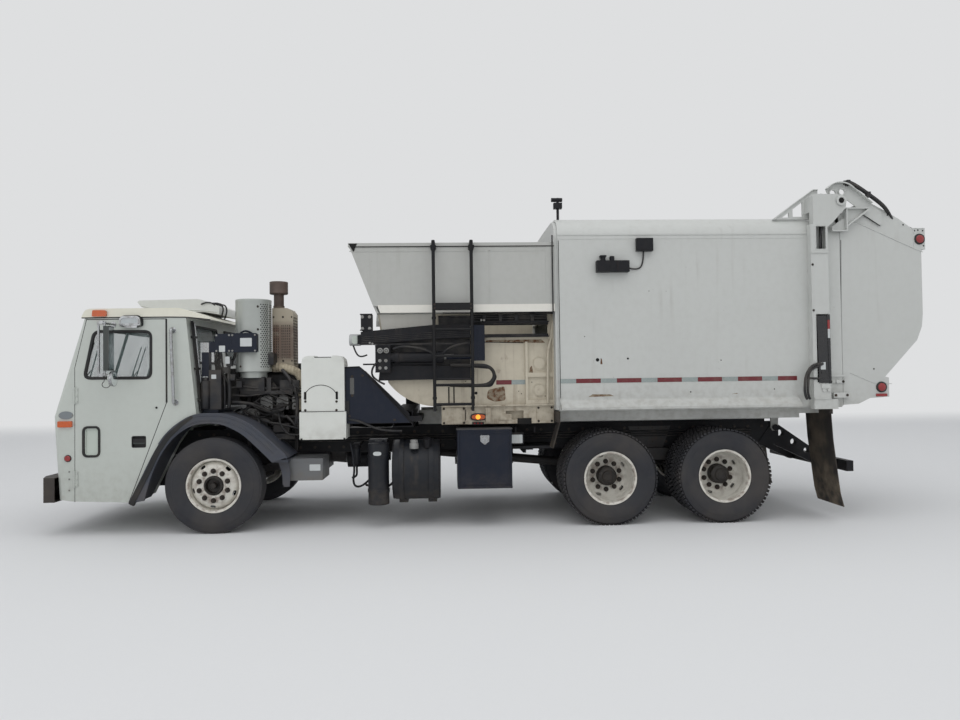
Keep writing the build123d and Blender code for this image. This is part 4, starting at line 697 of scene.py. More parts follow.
def scattered(name, points, facings, shape, sizes, body, look, slot=None, seed=1):
    """Small like parts on points, each facing its own way, made by Geometry Nodes."""
    data = bpy.data.meshes.new(name)
    data.from_pydata([tuple(p) for p in points], [], [])
    facing = data.attributes.new("facing", "FLOAT_VECTOR", "POINT")
    facing.data.foreach_set("vector", [v for f in facings for v in f])
    holder = linked(name, data)
    tree = bpy.data.node_groups.new(name, "GeometryNodeTree")
    face = tree.interface
    face.new_socket("Geometry", in_out="INPUT", socket_type="NodeSocketGeometry")
    inputs = {}
    sizes = {"Spin": 0.5, **sizes}
    for label, value in sizes.items():
        made = face.new_socket(label, in_out="INPUT", socket_type="NodeSocketFloat")
        made.default_value = value
        inputs[label] = made.identifier
    made = face.new_socket("Seed", in_out="INPUT", socket_type="NodeSocketInt")
    inputs["Seed"] = made.identifier
    face.new_socket("Geometry", in_out="OUTPUT", socket_type="NodeSocketGeometry")

    def node(kind, values=None, **own):
        built = tree.nodes.new(kind)
        for key, value in own.items():
            setattr(built, key, value)
        for key, value in (values or {}).items():
            if isinstance(value, bpy.types.NodeSocket):
                tree.links.new(value, built.inputs[key])
            else:
                built.inputs[key].default_value = value
        return built
    given = node("NodeGroupInput")
    single = shape(node, given.outputs)
    way = node("GeometryNodeInputNamedAttribute", {"Name": "facing"}, data_type="FLOAT_VECTOR")
    turned = node("FunctionNodeAlignRotationToVector", {"Vector": way.outputs[0]}, axis="Z")
    least = node("ShaderNodeMath", {0: given.outputs["Spin"], 1: -1.0}, operation="MULTIPLY")
    spun = node("FunctionNodeRandomValue", {2: least.outputs[0], 3: given.outputs["Spin"],
                                            "Seed": given.outputs["Seed"]}, data_type="FLOAT")
    euler = node("ShaderNodeCombineXYZ", {2: spun.outputs[1]})
    spin = node("FunctionNodeEulerToRotation", {0: euler.outputs[0]})
    both = node("FunctionNodeRotateRotation", {0: turned.outputs[0], 1: spin.outputs[0]},
                rotation_space="LOCAL")
    spread = node("GeometryNodeInstanceOnPoints", {"Points": given.outputs[0],
                                                   "Instance": single, "Rotation": both.outputs[0]})
    real = node("GeometryNodeRealizeInstances", {0: spread.outputs[0]})
    dressed = node("GeometryNodeSetMaterial", {0: real.outputs[0], "Material": finish(look)})
    node("NodeGroupOutput", {0: dressed.outputs[0]})
    added = holder.modifiers.new(name, "NODES")
    added.node_group = tree
    for label, value in sizes.items():
        added[inputs[label]] = value
    added[inputs["Seed"]] = seed
    result = evaluated(holder)
    bpy.data.objects.remove(holder)
    bpy.data.node_groups.remove(tree)
    return placed(name, result, body, look, slot)


def heat_stained():
    """Thin steel behind the cab: beige above, burnt brown in the middle."""
    paints = settings()[0]
    made = Finish("heat stained steel", tint(168, 158, 140), 0.5)
    cloud = made.noise(4.0, 5.0)
    high = made.z.ramped(2.37, 2.25)
    low = made.z.ramped(1.84, 1.95)
    burnt = (high * low * cloud.ramped(0.25, 0.5)).clamped()
    runs = made.noise(9.0, 4.0, made.stretched(2.0, 2.0, 0.12)).ramped(0.45, 0.75)
    shade = made.mixed(cloud * 0.35, tint(172, 163, 146), tint(138, 126, 108))
    shade = made.mixed(burnt * 0.9, shade, tint(104, 88, 78))
    shade = made.mixed(runs * burnt * 0.6, shade, tuple(paints.rust))
    stack = made.z.ramped(2.5, 2.54)
    shade = made.mixed(stack, shade, made.mixed(cloud.ramped(0.3, 0.7), tint(98, 82, 74),
                                                tint(70, 58, 52)))
    made.colour(shade)
    made.roughness(0.45 + cloud * 0.3)
    made.bump(made.noise(60.0, 4.0), 0.0012)
    return made.material


def hose_rubber():
    """Braided hydraulic hose, black, a little dusty."""
    made = Finish("hose rubber", tint(30, 30, 33), 0.55)
    weave = made.waves("DIAGONAL", 60.0, 2.0)
    dust = made.noise(8.0, 4.0).ramped(0.4, 0.7)
    made.colour(made.mixed(dust * 0.35, tint(28, 28, 31), tint(98, 92, 84)))
    made.bump(weave, 0.0008)
    return made.material


def seat_cloth():
    """Woven seat cloth with its threads."""
    made = Finish("seat cloth", tint(44, 46, 54), 0.85, sheen_weight=0.3)
    warp = made.waves("X", 120.0, 0.4)
    weft = made.waves("Y", 120.0, 0.4)
    worn = made.noise(5.0, 3.0).ramped(0.4, 0.7)
    made.colour(made.mixed(worn * 0.35, tint(40, 42, 50), tint(74, 76, 84)))
    made.bump(warp * 0.5 + weft * 0.5, 0.0008)
    return made.material


def pipe_wrap():
    """Pale heat wrap on the elbow, wound and stained."""
    made = Finish("pipe wrap", tint(176, 166, 144), 0.9)
    turns = made.waves("X", 9.0, 1.2)
    stain = made.noise(12.0, 5.0).ramped(0.4, 0.72)
    made.colour(made.mixed(stain * 0.6, made.mixed(turns * 0.3, tint(182, 172, 150),
                                                   tint(140, 128, 108)), tint(88, 74, 60)))
    made.bump(turns, 0.004)
    return made.material


def scuffed_steel():
    """Patches worn to bare, rusty steel."""
    made = Finish("scuffed steel", tint(120, 98, 74), 0.75, metallic=0.15)
    patches = made.noise(22.0, 6.0).ramped(0.4, 0.62)
    fine = made.noise(140.0, 3.0).ramped(0.35, 0.7)
    made.colour(made.mixed(patches, made.mixed(fine * 0.5, tint(150, 140, 122), tint(120, 100, 76)),
                           made.mixed(fine, tint(112, 70, 40), tint(70, 52, 40))))
    made.bump(fine, 0.0008)
    return made.material


# Short name: name of the material, colour (a setting's name or levels on a screen), roughness
# and what weathered() does to it.
WEATHERED = {
    "body": ("body paint", "load_body", 0.4, dict(
        grime=0.3, streaks=0.2, foot=(1.25, 1.75), specks=0.5, waves=0.006)),
    "tail": ("tail paint", "load_body", 0.38, dict(
        grime=0.2, streaks=0.16, foot=(1.2, 1.7), specks=0.3, waves=0.005)),
    "cab": ("cab paint", "cab", 0.3, dict(
        grime=0.22, streaks=0.1, foot=(0.3, 0.95), specks=0.35, waves=0.002, coat_weight=0.25,
        coat_roughness=0.2)),
    "roof": ("roof gelcoat", (222, 220, 205), 0.34, dict(
        grime=0.25, streaks=0.1, coat_weight=0.2, coat_roughness=0.25)),
    "hopper": ("hopper paint", "hopper", 0.55, dict(
        grime=0.55, streaks=0.75, foot=(1.1, 1.6), specks=0.6, rust=0.55, waves=0.004,
        grime_colour=tint(98, 78, 58))),
    "hopper_top": ("hopper top paint", (178, 179, 175), 0.48, dict(
        grime=0.3, streaks=0.32, specks=0.5, rust=0.08, waves=0.006)),
    "black": ("black paint", "black", 0.5, dict(
        grime=0.4, streaks=0.2, specular_ior_level=0.22, rust=0.12,
        grime_colour=tint(92, 84, 76))),
    "ladder": ("clean black paint", (20, 21, 24), 0.42, dict(
        grime=0.2, streaks=0.15, specular_ior_level=0.25)),
    "navy": ("navy paint", "navy", 0.36, dict(
        grime=0.16, streaks=0.1, foot=(0.4, 0.7), specular_ior_level=0.28)),
    "cast": ("oily castings", (46, 45, 46), 0.48, dict(
        grime=0.75, streaks=0.3, rust=0.3, grime_colour=tint(104, 94, 84))),
    "bumper": ("bumper steel", (52, 46, 42), 0.55, dict(grime=0.8, streaks=0.3, rust=0.35)),
    "cylinder": ("cylinder sheet", (176, 180, 176), 0.34, dict(
        grime=0.3, streaks=0.2, metallic=0.35)),
    "alloy": ("cast alloy", (148, 148, 146), 0.5, dict(
        grime=0.7, streaks=0.2, metallic=0.3, grime_colour=tint(70, 64, 58))),
    "label": ("blank label", (196, 200, 200), 0.4, dict(grime=0.3, streaks=0.2)),
    "plate": ("grey plate", (126, 132, 136), 0.35, dict(grime=0.3, metallic=0.5)),
    "tank": ("tank skin", (29, 32, 38), 0.42, dict(
        grime=0.25, streaks=0.2, foot=(0.25, 0.6), specular_ior_level=0.3)),
    "grey_box": ("grey box", (104, 106, 108), 0.5, dict(
        grime=0.5, streaks=0.3, foot=(0.5, 0.7))),
    "dusty": ("dusty top", (74, 74, 76), 0.8, dict(grime=0.9, streaks=0.1)),
    "mirror_shell": ("mirror shell", (38, 46, 44), 0.3, dict(
        grime=0.25, streaks=0.15, coat_weight=0.3)),
    "band": ("band paint", (224, 222, 214), 0.42, dict(grime=0.25, streaks=0.2, rust=0.05)),
    "air_unit": ("air unit shell", (208, 210, 206), 0.4, dict(grime=0.25, streaks=0.12)),
    "gloss_black": ("gloss black", (20, 21, 25), 0.25, dict(
        grime=0.3, streaks=0.3, coat_weight=0.4, coat_roughness=0.15)),
    "silver": ("silver case", (176, 178, 178), 0.35, dict(grime=0.3, streaks=0.2)),
    "nut": ("wheel nut steel", (52, 46, 42), 0.5, dict(
        grime=0.6, streaks=0.0, rust=0.6, metallic=0.4)),
    "hub": ("greasy hub", (38, 35, 33), 0.4, dict(
        grime=0.6, streaks=0.0, rust=0.25, metallic=0.3)),
}
# Short name: material, colour, roughness, scale and depth of the grain, dust, dusty foot.
GRAINED = {
    "cover": ("cover plastic", (214, 216, 211), 0.38, 220.0, 0.0005, 0.16, (0.95, 1.3)),
    "fender": ("fender plastic", "fender", 0.62, 120.0, 0.0012, 0.22),
    "flap": ("flap rubber", (40, 36, 34), 0.8, 70.0, 0.002, 0.55, (0.1, 0.9)),
    "seal": ("seal rubber", (20, 20, 22), 0.6, 200.0, 0.0005, 0.15),
    "trim": ("cab trim", (58, 60, 62), 0.6, 180.0, 0.0006, 0.1),
    "void": ("dark void", (12, 12, 13), 0.9, 80.0, 0.0005, 0.05),
    "peep": ("peep pane", (190, 198, 190), 0.3, 90.0, 0.0004, 0.12),
    "trim_black": ("black plastic", (24, 26, 32), 0.45, 150.0, 0.0006, 0.3),
}
# Short name: material, colour, glow.
LENSES = {
    "amber": ("amber lens", "amber", 0.0),
    "lit": ("lit amber lens", (255, 150, 40), 1.4),
    "red": ("red lens", (150, 24, 26), 0.0),
    "clear": ("clear lens", (190, 196, 198), 0.0),
    "smoked": ("smoked plate", (78, 78, 76), 0.0),
}
# Short name: material, linear colour, roughness, smudges.
METALS = {
    "chrome": ("bright chrome", (0.42, 0.43, 0.44), 0.18, 0.35),
    "zinc": ("dull zinc", tint(150, 150, 148), 0.38, 0.5),
    "mirror": ("mirror face", (0.86, 0.88, 0.9), 0.03, 0.05),
}
OWN = {"heat": heat_stained, "hose": hose_rubber, "cloth": seat_cloth, "glass": window_glass,
       "wrap": pipe_wrap, "scuff": scuffed_steel, "tyre": tyre_finish}
MADE = {}


def shown(colour):
    """A colour from the name of its setting or from its levels on a screen."""
    return tint(*colour) if isinstance(colour, tuple) else tuple(getattr(settings()[0], colour))


def finish(name):
    """A finish by its short name, made at its first use."""
    if name not in MADE:
        if name in WEATHERED:
            label, colour, roughness, wear = WEATHERED[name]
            MADE[name] = weathered(label, shown(colour), roughness, **wear)
        elif name in GRAINED:
            label, colour, *grain = GRAINED[name]
            MADE[name] = grained(label, shown(colour), *grain)
        elif name in LENSES:
            label, colour, glow = LENSES[name]
            MADE[name] = lamp_lens(label, shown(colour), glow)
        elif name in METALS:
            MADE[name] = metal(*METALS[name])
        else:
            MADE[name] = OWN[name]()
    return MADE[name]


NODE_FINISHES = {
    "cab_shell": "cab", "door_left": "cab", "door_right": "cab", "cab_roof": "roof",
    "cab_glass": "glass", "door_glass_left": "glass", "door_glass_right": "glass",
    "dashboard": "trim", "seats": "cloth", "cab_fittings": "chrome", "front_bumper": "bumper",
    "fenders": "fender", "engine": "cast", "front_axle": "cast", "rear_axles": "cast",
    "knuckle_left": "cast", "knuckle_right": "cast", "tie_rod": "cast",
    "exhaust_cylinder": "cylinder", "exhaust_stack": "heat", "electrical_boxes": "navy",
    "service_cover": "cover", "frame_tanks": "black", "chassis_frame": "black",
    "tool_box": "navy", "tool_box_door": "navy", "body_shell": "body", "body_floor": "body",
    "hopper_upper": "hopper_top", "hopper_lower": "hopper", "packer": "navy",
    "packer_drive": "black", "ladder": "ladder", "tail_posts": "tail", "gate_rods": "ladder",
    "tailgate": "tail", "tailgate_arms": "tail", "mud_flaps": "flap", "hoist_barrel": "black",
    "hoist_rod": "chrome", "arm_mast": "black", "arm_carriage": "black", "arm_head": "black",
    "finger_front": "black", "finger_rear": "black",
}


class TruckOperator:
    """What the operators of this file share."""

    bl_options = {"REGISTER", "UNDO"}


class TRUCK_OT_paint(TruckOperator, bpy.types.Operator):
    """Paint the nodes of the model that stay as they are"""

    bl_idname = "truck.paint"
    bl_label = "Paint the model"

    def execute(self, context):
        for name, node in frame["nodes"].items():
            kind = NODE_FINISHES.get(name)
            if kind is None and ("tyre" in name or "rim" in name):
                kind = "tyre" if "tyre" in name else "alloy"
            if kind is None:
                raise RuntimeError(f"no finish is named for {name}")
            node.data.materials.clear()
            node.data.materials.append(finish(kind))
        return {"FINISHED"}


def block_shape(node, given):
    """A tapered block lying along X, for tread lugs and plain studs."""
    cone = node("GeometryNodeMeshCone", {"Vertices": 4, "Radius Top": 0.62, "Radius Bottom": 0.7071,
                                         "Depth": 1.0})
    squared = node("GeometryNodeTransform", {"Geometry": cone.outputs["Mesh"],
                                             "Rotation": (0.0, 0.0, math.radians(45.0))})
    size = node("ShaderNodeCombineXYZ", {0: given["Length"], 1: given["Width"], 2: given["Height"]})
    return node("GeometryNodeTransform", {"Geometry": squared.outputs[0],
                                          "Scale": size.outputs[0]}).outputs[0]


def bolt_shape(node, given):
    """A hexagonal head on a round washer."""
    head = node("GeometryNodeMeshCone", {"Vertices": 6, "Radius Top": given["Radius"],
                                         "Radius Bottom": given["Radius"],
                                         "Depth": given["Height"]})
    wide = node("ShaderNodeMath", {0: given["Radius"], 1: 1.55}, operation="MULTIPLY")
    thin = node("ShaderNodeMath", {0: given["Height"], 1: 0.3}, operation="MULTIPLY")
    washer = node("GeometryNodeMeshCylinder", {"Vertices": 12, "Radius": wide.outputs[0],
                                               "Depth": thin.outputs[0]})
    both = node("GeometryNodeJoinGeometry")
    for made in (head.outputs["Mesh"], washer.outputs["Mesh"]):
        both.id_data.links.new(made, both.inputs[0])
    return both.outputs[0]


def hole_shape(node, given):
    """A thin round disc, read as a hole."""
    return node("GeometryNodeMeshCylinder", {"Vertices": 10, "Radius": given["Radius"],
                                             "Depth": given["Height"]}).outputs["Mesh"]


def bolts(name, places, way, body, kind="zinc", radius=None, height=None, seed=1):
    """Bolt heads at places, all facing one way."""
    radius = radius or settings()[1].bolt_radius
    return scattered(name, places, [way] * len(places), bolt_shape,
                     {"Radius": radius, "Height": height or radius * 1.1}, body, kind, seed=seed)


def wheels():
    """Body, rim node, tyre node, axle x, side and hub distances of the six wheels."""
    for name, side in SIDES.items():
        yield (f"front_wheel_{name}", f"front_rim_{name}", f"front_tyre_{name}",
               FRONT_AXLE_X, side, (FRONT_TYRE_Y,))
        for place, x in REAR_AXLES.items():
            yield (f"rear_wheels_{place}_{name}", f"rear_rims_{place}_{name}",
                   f"rear_tyres_{place}_{name}", x, side, TWIN_TYRES_Y)


TYRE_WALL = (
    (-0.094, 0.292), (-0.104, 0.3), (-0.113, 0.306), (-0.1205, 0.322), (-0.131, 0.36),
    (-0.1355, 0.4), (-0.136, 0.424), (-0.1345, 0.44), (-0.1315, 0.443), (-0.13, 0.452),
    (-0.1265, 0.472), (-0.1225, 0.482), (-0.1215, 0.4845), (-0.1175, 0.496), (-0.113, 0.504),
    (-0.103, 0.507),
)


class TRUCK_OT_tyres(TruckOperator, bpy.types.Operator):
    """Make the tyres, with walls, rings and tread lugs"""

    bl_idname = "truck.tyres"
    bl_label = "Tyres"

    def execute(self, context):
        sizes = settings()[1]
        for body, _, tyre, x, side, rows in wheels():
            form = Form()
            front = len(rows) == 1
            for y in rows:
                centre = (x, side * y, HUB_Z)
                crown = TYRE_RADIUS - sizes.lug_depth
                walls = [(a, min(r, crown)) for a, r in TYRE_WALL]
                profile = walls + [(-a, r) for a, r in reversed(walls)]
                profile += [(0.094, 0.284), (-0.094, 0.284)]
                form.turned(profile, centre, "y", 96)
                if front:
                    for low, high in ((-0.108, -0.072), (-0.06, -0.026), (-0.014, 0.014),
                                      (0.026, 0.06), (0.072, 0.108)):
                        form.turned([(low, crown - 0.002), (low + 0.003, 0.5197),
                                     (high - 0.003, 0.5197), (high, crown - 0.002)], centre, "y",
                                    96)
            name = tyre.replace("tyre", "tread_tyre")
            made = form.piece(name, body, "tyre", "tyre", 30.0)
            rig.replaces(made, tyre)
            if front:
                continue
            rings = ((-0.094, 0.0), (-0.032, 0.5), (0.032, 0.0), (0.094, 0.5))
            points, facings = [], []
            for y in rows:
                for across, shift in rings:
                    for i in range(sizes.lug_count):
                        turn = 2 * math.pi * (i + shift) / sizes.lug_count
                        way = Vector((math.cos(turn), 0.0, math.sin(turn)))
                        points.append(Vector((x, side * y + across, HUB_Z)) + way * 0.5125)
                        facings.append(way)
            scattered(name + "_lugs", points, facings, block_shape,
                      {"Length": 2 * math.pi * 0.51 / sizes.lug_count * 0.72, "Width": 0.052,
                       "Height": 0.0145, "Spin": 0.0}, body, "tyre", "tyre")
        return {"FINISHED"}


def slots_cut(data, centre_y, x, count, circle, half_length, half_width, start):
    """A disc's mesh with its hand holes cut through by a Boolean modifier."""
    cutter = Form()
    for index in range(count):
        angle = math.radians(360 / count * index + start)
        radial = Vector((math.cos(angle), 0.0, math.sin(angle)))
        along = Vector((-math.sin(angle), 0.0, math.cos(angle)))
        middle = Vector((x, centre_y, HUB_Z)) + radial * circle
        ring = []
        for step in range(20):
            turn = 2 * math.pi * step / 20
            square = 0.62
            c, s = math.cos(turn), math.sin(turn)
            ring.append(middle + along * half_length * signed_power(c, square)
                        + radial * half_width * signed_power(s, square))
        vertices = [v + Vector((0.0, d, 0.0)) for d in (-0.12, 0.12) for v in ring]
        faces = [tuple(range(20)), tuple(range(39, 19, -1))]
        faces += [(i, i + 20, (i + 1) % 20 + 20, (i + 1) % 20) for i in range(20)]
        cutter.keep([tuple(v) for v in vertices], faces)
    tool_data = cutter.made_mesh("hand hole cutter")
    holder = linked("disc to cut", data)
    tool = linked("hand hole cutter", tool_data)
    cut = holder.modifiers.new("hand holes", "BOOLEAN")
    cut.object = tool
    cut.operation = "DIFFERENCE"
    cut.solver = "EXACT"
    result = evaluated(holder)
    for made in (holder, tool):
        bpy.data.objects.remove(made)
    bpy.data.meshes.remove(tool_data)
    return result


def facing_out(profile, side):
    """A profile measured outwards from the truck, for turning on this side."""
    return [(side * along, radius) for along, radius in profile]


RIM_BARREL = (
    (-0.106, 0.286), (-0.106, 0.2965), (-0.102, 0.298), (-0.098, 0.2965), (-0.096, 0.283),
    (-0.08, 0.279), (-0.03, 0.273), (0.03, 0.273), (0.08, 0.279), (0.096, 0.283),
    (0.098, 0.2965), (0.102, 0.298), (0.1065, 0.2965), (0.1065, 0.286), (0.1, 0.274),
    (0.08, 0.27), (0.03, 0.264), (-0.03, 0.264), (-0.08, 0.27), (-0.1, 0.274),
)
FRONT_DISC = (
    (0.01, 0.268), (0.03, 0.262), (0.052, 0.25), (0.074, 0.23), (0.09, 0.208), (0.097, 0.188),
    (0.098, 0.13), (0.098, 0.112), (0.094, 0.107), (0.088, 0.107), (0.088, 0.184), (0.08, 0.204),
    (0.064, 0.224), (0.044, 0.24), (0.022, 0.252), (0.01, 0.256),
)
REAR_DISC = (
    (-0.036, 0.27), (-0.07, 0.262), (-0.112, 0.25), (-0.14, 0.232), (-0.152, 0.208),
    (-0.153, 0.18), (-0.153, 0.112), (-0.156, 0.107), (-0.164, 0.107), (-0.164, 0.212),
    (-0.15, 0.24), (-0.12, 0.258), (-0.06, 0.271),
)


class TRUCK_OT_rims(TruckOperator, bpy.types.Operator):
    """Make the wheel discs, barrels, hubs and nuts"""

    bl_idname = "truck.rims"
    bl_label = "Rims"

    def execute(self, context):
        sizes = settings()[1]
        for body, rim, _, x, side, rows in wheels():
            front = len(rows) == 1
            outer = rows[-1]
            centre = (x, side * outer, HUB_Z)
            form = Form()
            form.turned(facing_out(FRONT_DISC if front else REAR_DISC, side), centre, "y", 80)
            disc = slots_cut(form.made_mesh("disc to cut"), side * (outer
                                                                    + (0.07 if front else -0.13)),
                             x, 5, 0.231 if front else 0.228, 0.03, 0.0155, 50 if front else 32)
            form = Form()
            form.mesh.from_mesh(disc)
            bpy.data.meshes.remove(disc)
            for y in rows:
                form.turned(facing_out(RIM_BARREL, side), (x, side * y, HUB_Z), "y", 80)
            if not front:
                form.turned(facing_out([(-a - 2 * 0.168, r) for a, r in REAR_DISC], side), centre,
                            "y", 64)
            made = form.piece(rim.replace("rim", "disc"), body,
                              rim_finish(f"{rim} paint", x), "rim_paint", 32.0)
            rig.replaces(made, rim)
            face = 0.098 if front else -0.153
            nuts = [(x + NUT_CIRCLE * math.cos(turn), side * (outer + face + 0.011),
                     HUB_Z + NUT_CIRCLE * math.sin(turn))
                    for turn in (math.radians(36 * index + 18) for index in range(10))]
            bolts(rim.replace("rim", "nuts"), nuts, (0.0, side, 0.0), body, "nut",
                  sizes.nut_radius, 0.026, 3)
            bolts(rim.replace("rim", "studs"), [(a, b + side * 0.014, c) for a, b, c in nuts],
                  (0.0, side, 0.0), body, "nut", 0.0085, 0.03, 4)
            hub = Form()
            if front:
                hub.turned(facing_out([(0.02, 0.0), (0.02, 0.104), (0.094, 0.104), (0.106, 0.1),
                                       (0.112, 0.092), (0.112, 0.084), (0.104, 0.08),
                                       (0.062, 0.076), (0.06, 0.04), (0.066, 0.036), (0.11, 0.034),
                                       (0.122, 0.028), (0.125, 0.016), (0.125, 0.0)], side), centre,
                           "y", 48)
                hub.turned(facing_out([(-0.1, 0.0), (-0.1, 0.19), (0.0, 0.19), (0.0, 0.0)], side),
                           centre, "y", 48)
            else:
                hub.turned(facing_out([(-0.19, 0.0), (-0.19, 0.112), (-0.13, 0.112),
                                       (-0.126, 0.104), (-0.06, 0.098), (-0.054, 0.104),
                                       (-0.04, 0.104), (-0.034, 0.096), (-0.026, 0.07),
                                       (-0.014, 0.06), (-0.012, 0.046), (-0.018, 0.04),
                                       (-0.018, 0.0)], side), centre, "y", 48)
                hub.turned(facing_out([(-0.42, 0.0), (-0.42, 0.205), (-0.18, 0.205), (-0.18, 0.0)],
                                      side), centre, "y", 48)
            hub.piece(rim.replace("rim", "hub"), body, "hub", "cast", 30.0)
            cap = [(x + 0.086 * math.cos(a), side * (outer - 0.04),
                    HUB_Z + 0.086 * math.sin(a)) for a in
                   (math.radians(45 * i) for i in range(8))]
            if not front:
                bolts(rim.replace("rim", "hub_bolts"), cap, (0.0, side, 0.0), body, "hub", 0.008,
                      0.012, 5)
        return {"FINISHED"}


def milli(points):
    """Points given in millimetres, as metres."""
    return [tuple(value / 1000 for value in point) for point in points]


def oval(centre, half_x, half_z, steps=28, square=1.0):
    """An oval outline, squarer where square is under 1."""
    made = []
    for step in range(steps):
        turn = 2 * math.pi * step / steps
        c, s = math.cos(turn), math.sin(turn)
        made.append((centre[0] + half_x * signed_power(c, square),
                     centre[1] + half_z * signed_power(s, square)))
    return made


def front_x(z):
    """The cab's sloping front at this height."""
    return -4.779 + (z - 1.3) * 0.3018 if z > 1.3 else -4.779 + (1.3 - z) * 0.04


def rear_x(z):
    """The cab's rear wall at this height."""
    return -3.355 + (2.367 - z) * 0.0992


WHEEL_ARCH = milli(((-3285, 1290), (-3409, 1217), (-3561, 1089), (-3677, 924), (-3772, 723),
                    (-3868, 539), (-3963, 350)))
DOOR_SIDE = milli(((-4540, 378), (-4540, 1822), (-4414, 2343), (-3569, 2343), (-3569, 1434),
                   (-3975, 356)))
DOOR_WINDOW = milli(((-4341, 2222), (-3726, 2216), (-3728, 1699), (-4448, 1704)))
PEEP_WINDOW = milli(((-4456, 858), (-4280, 858), (-4280, 1182), (-4456, 1182)))


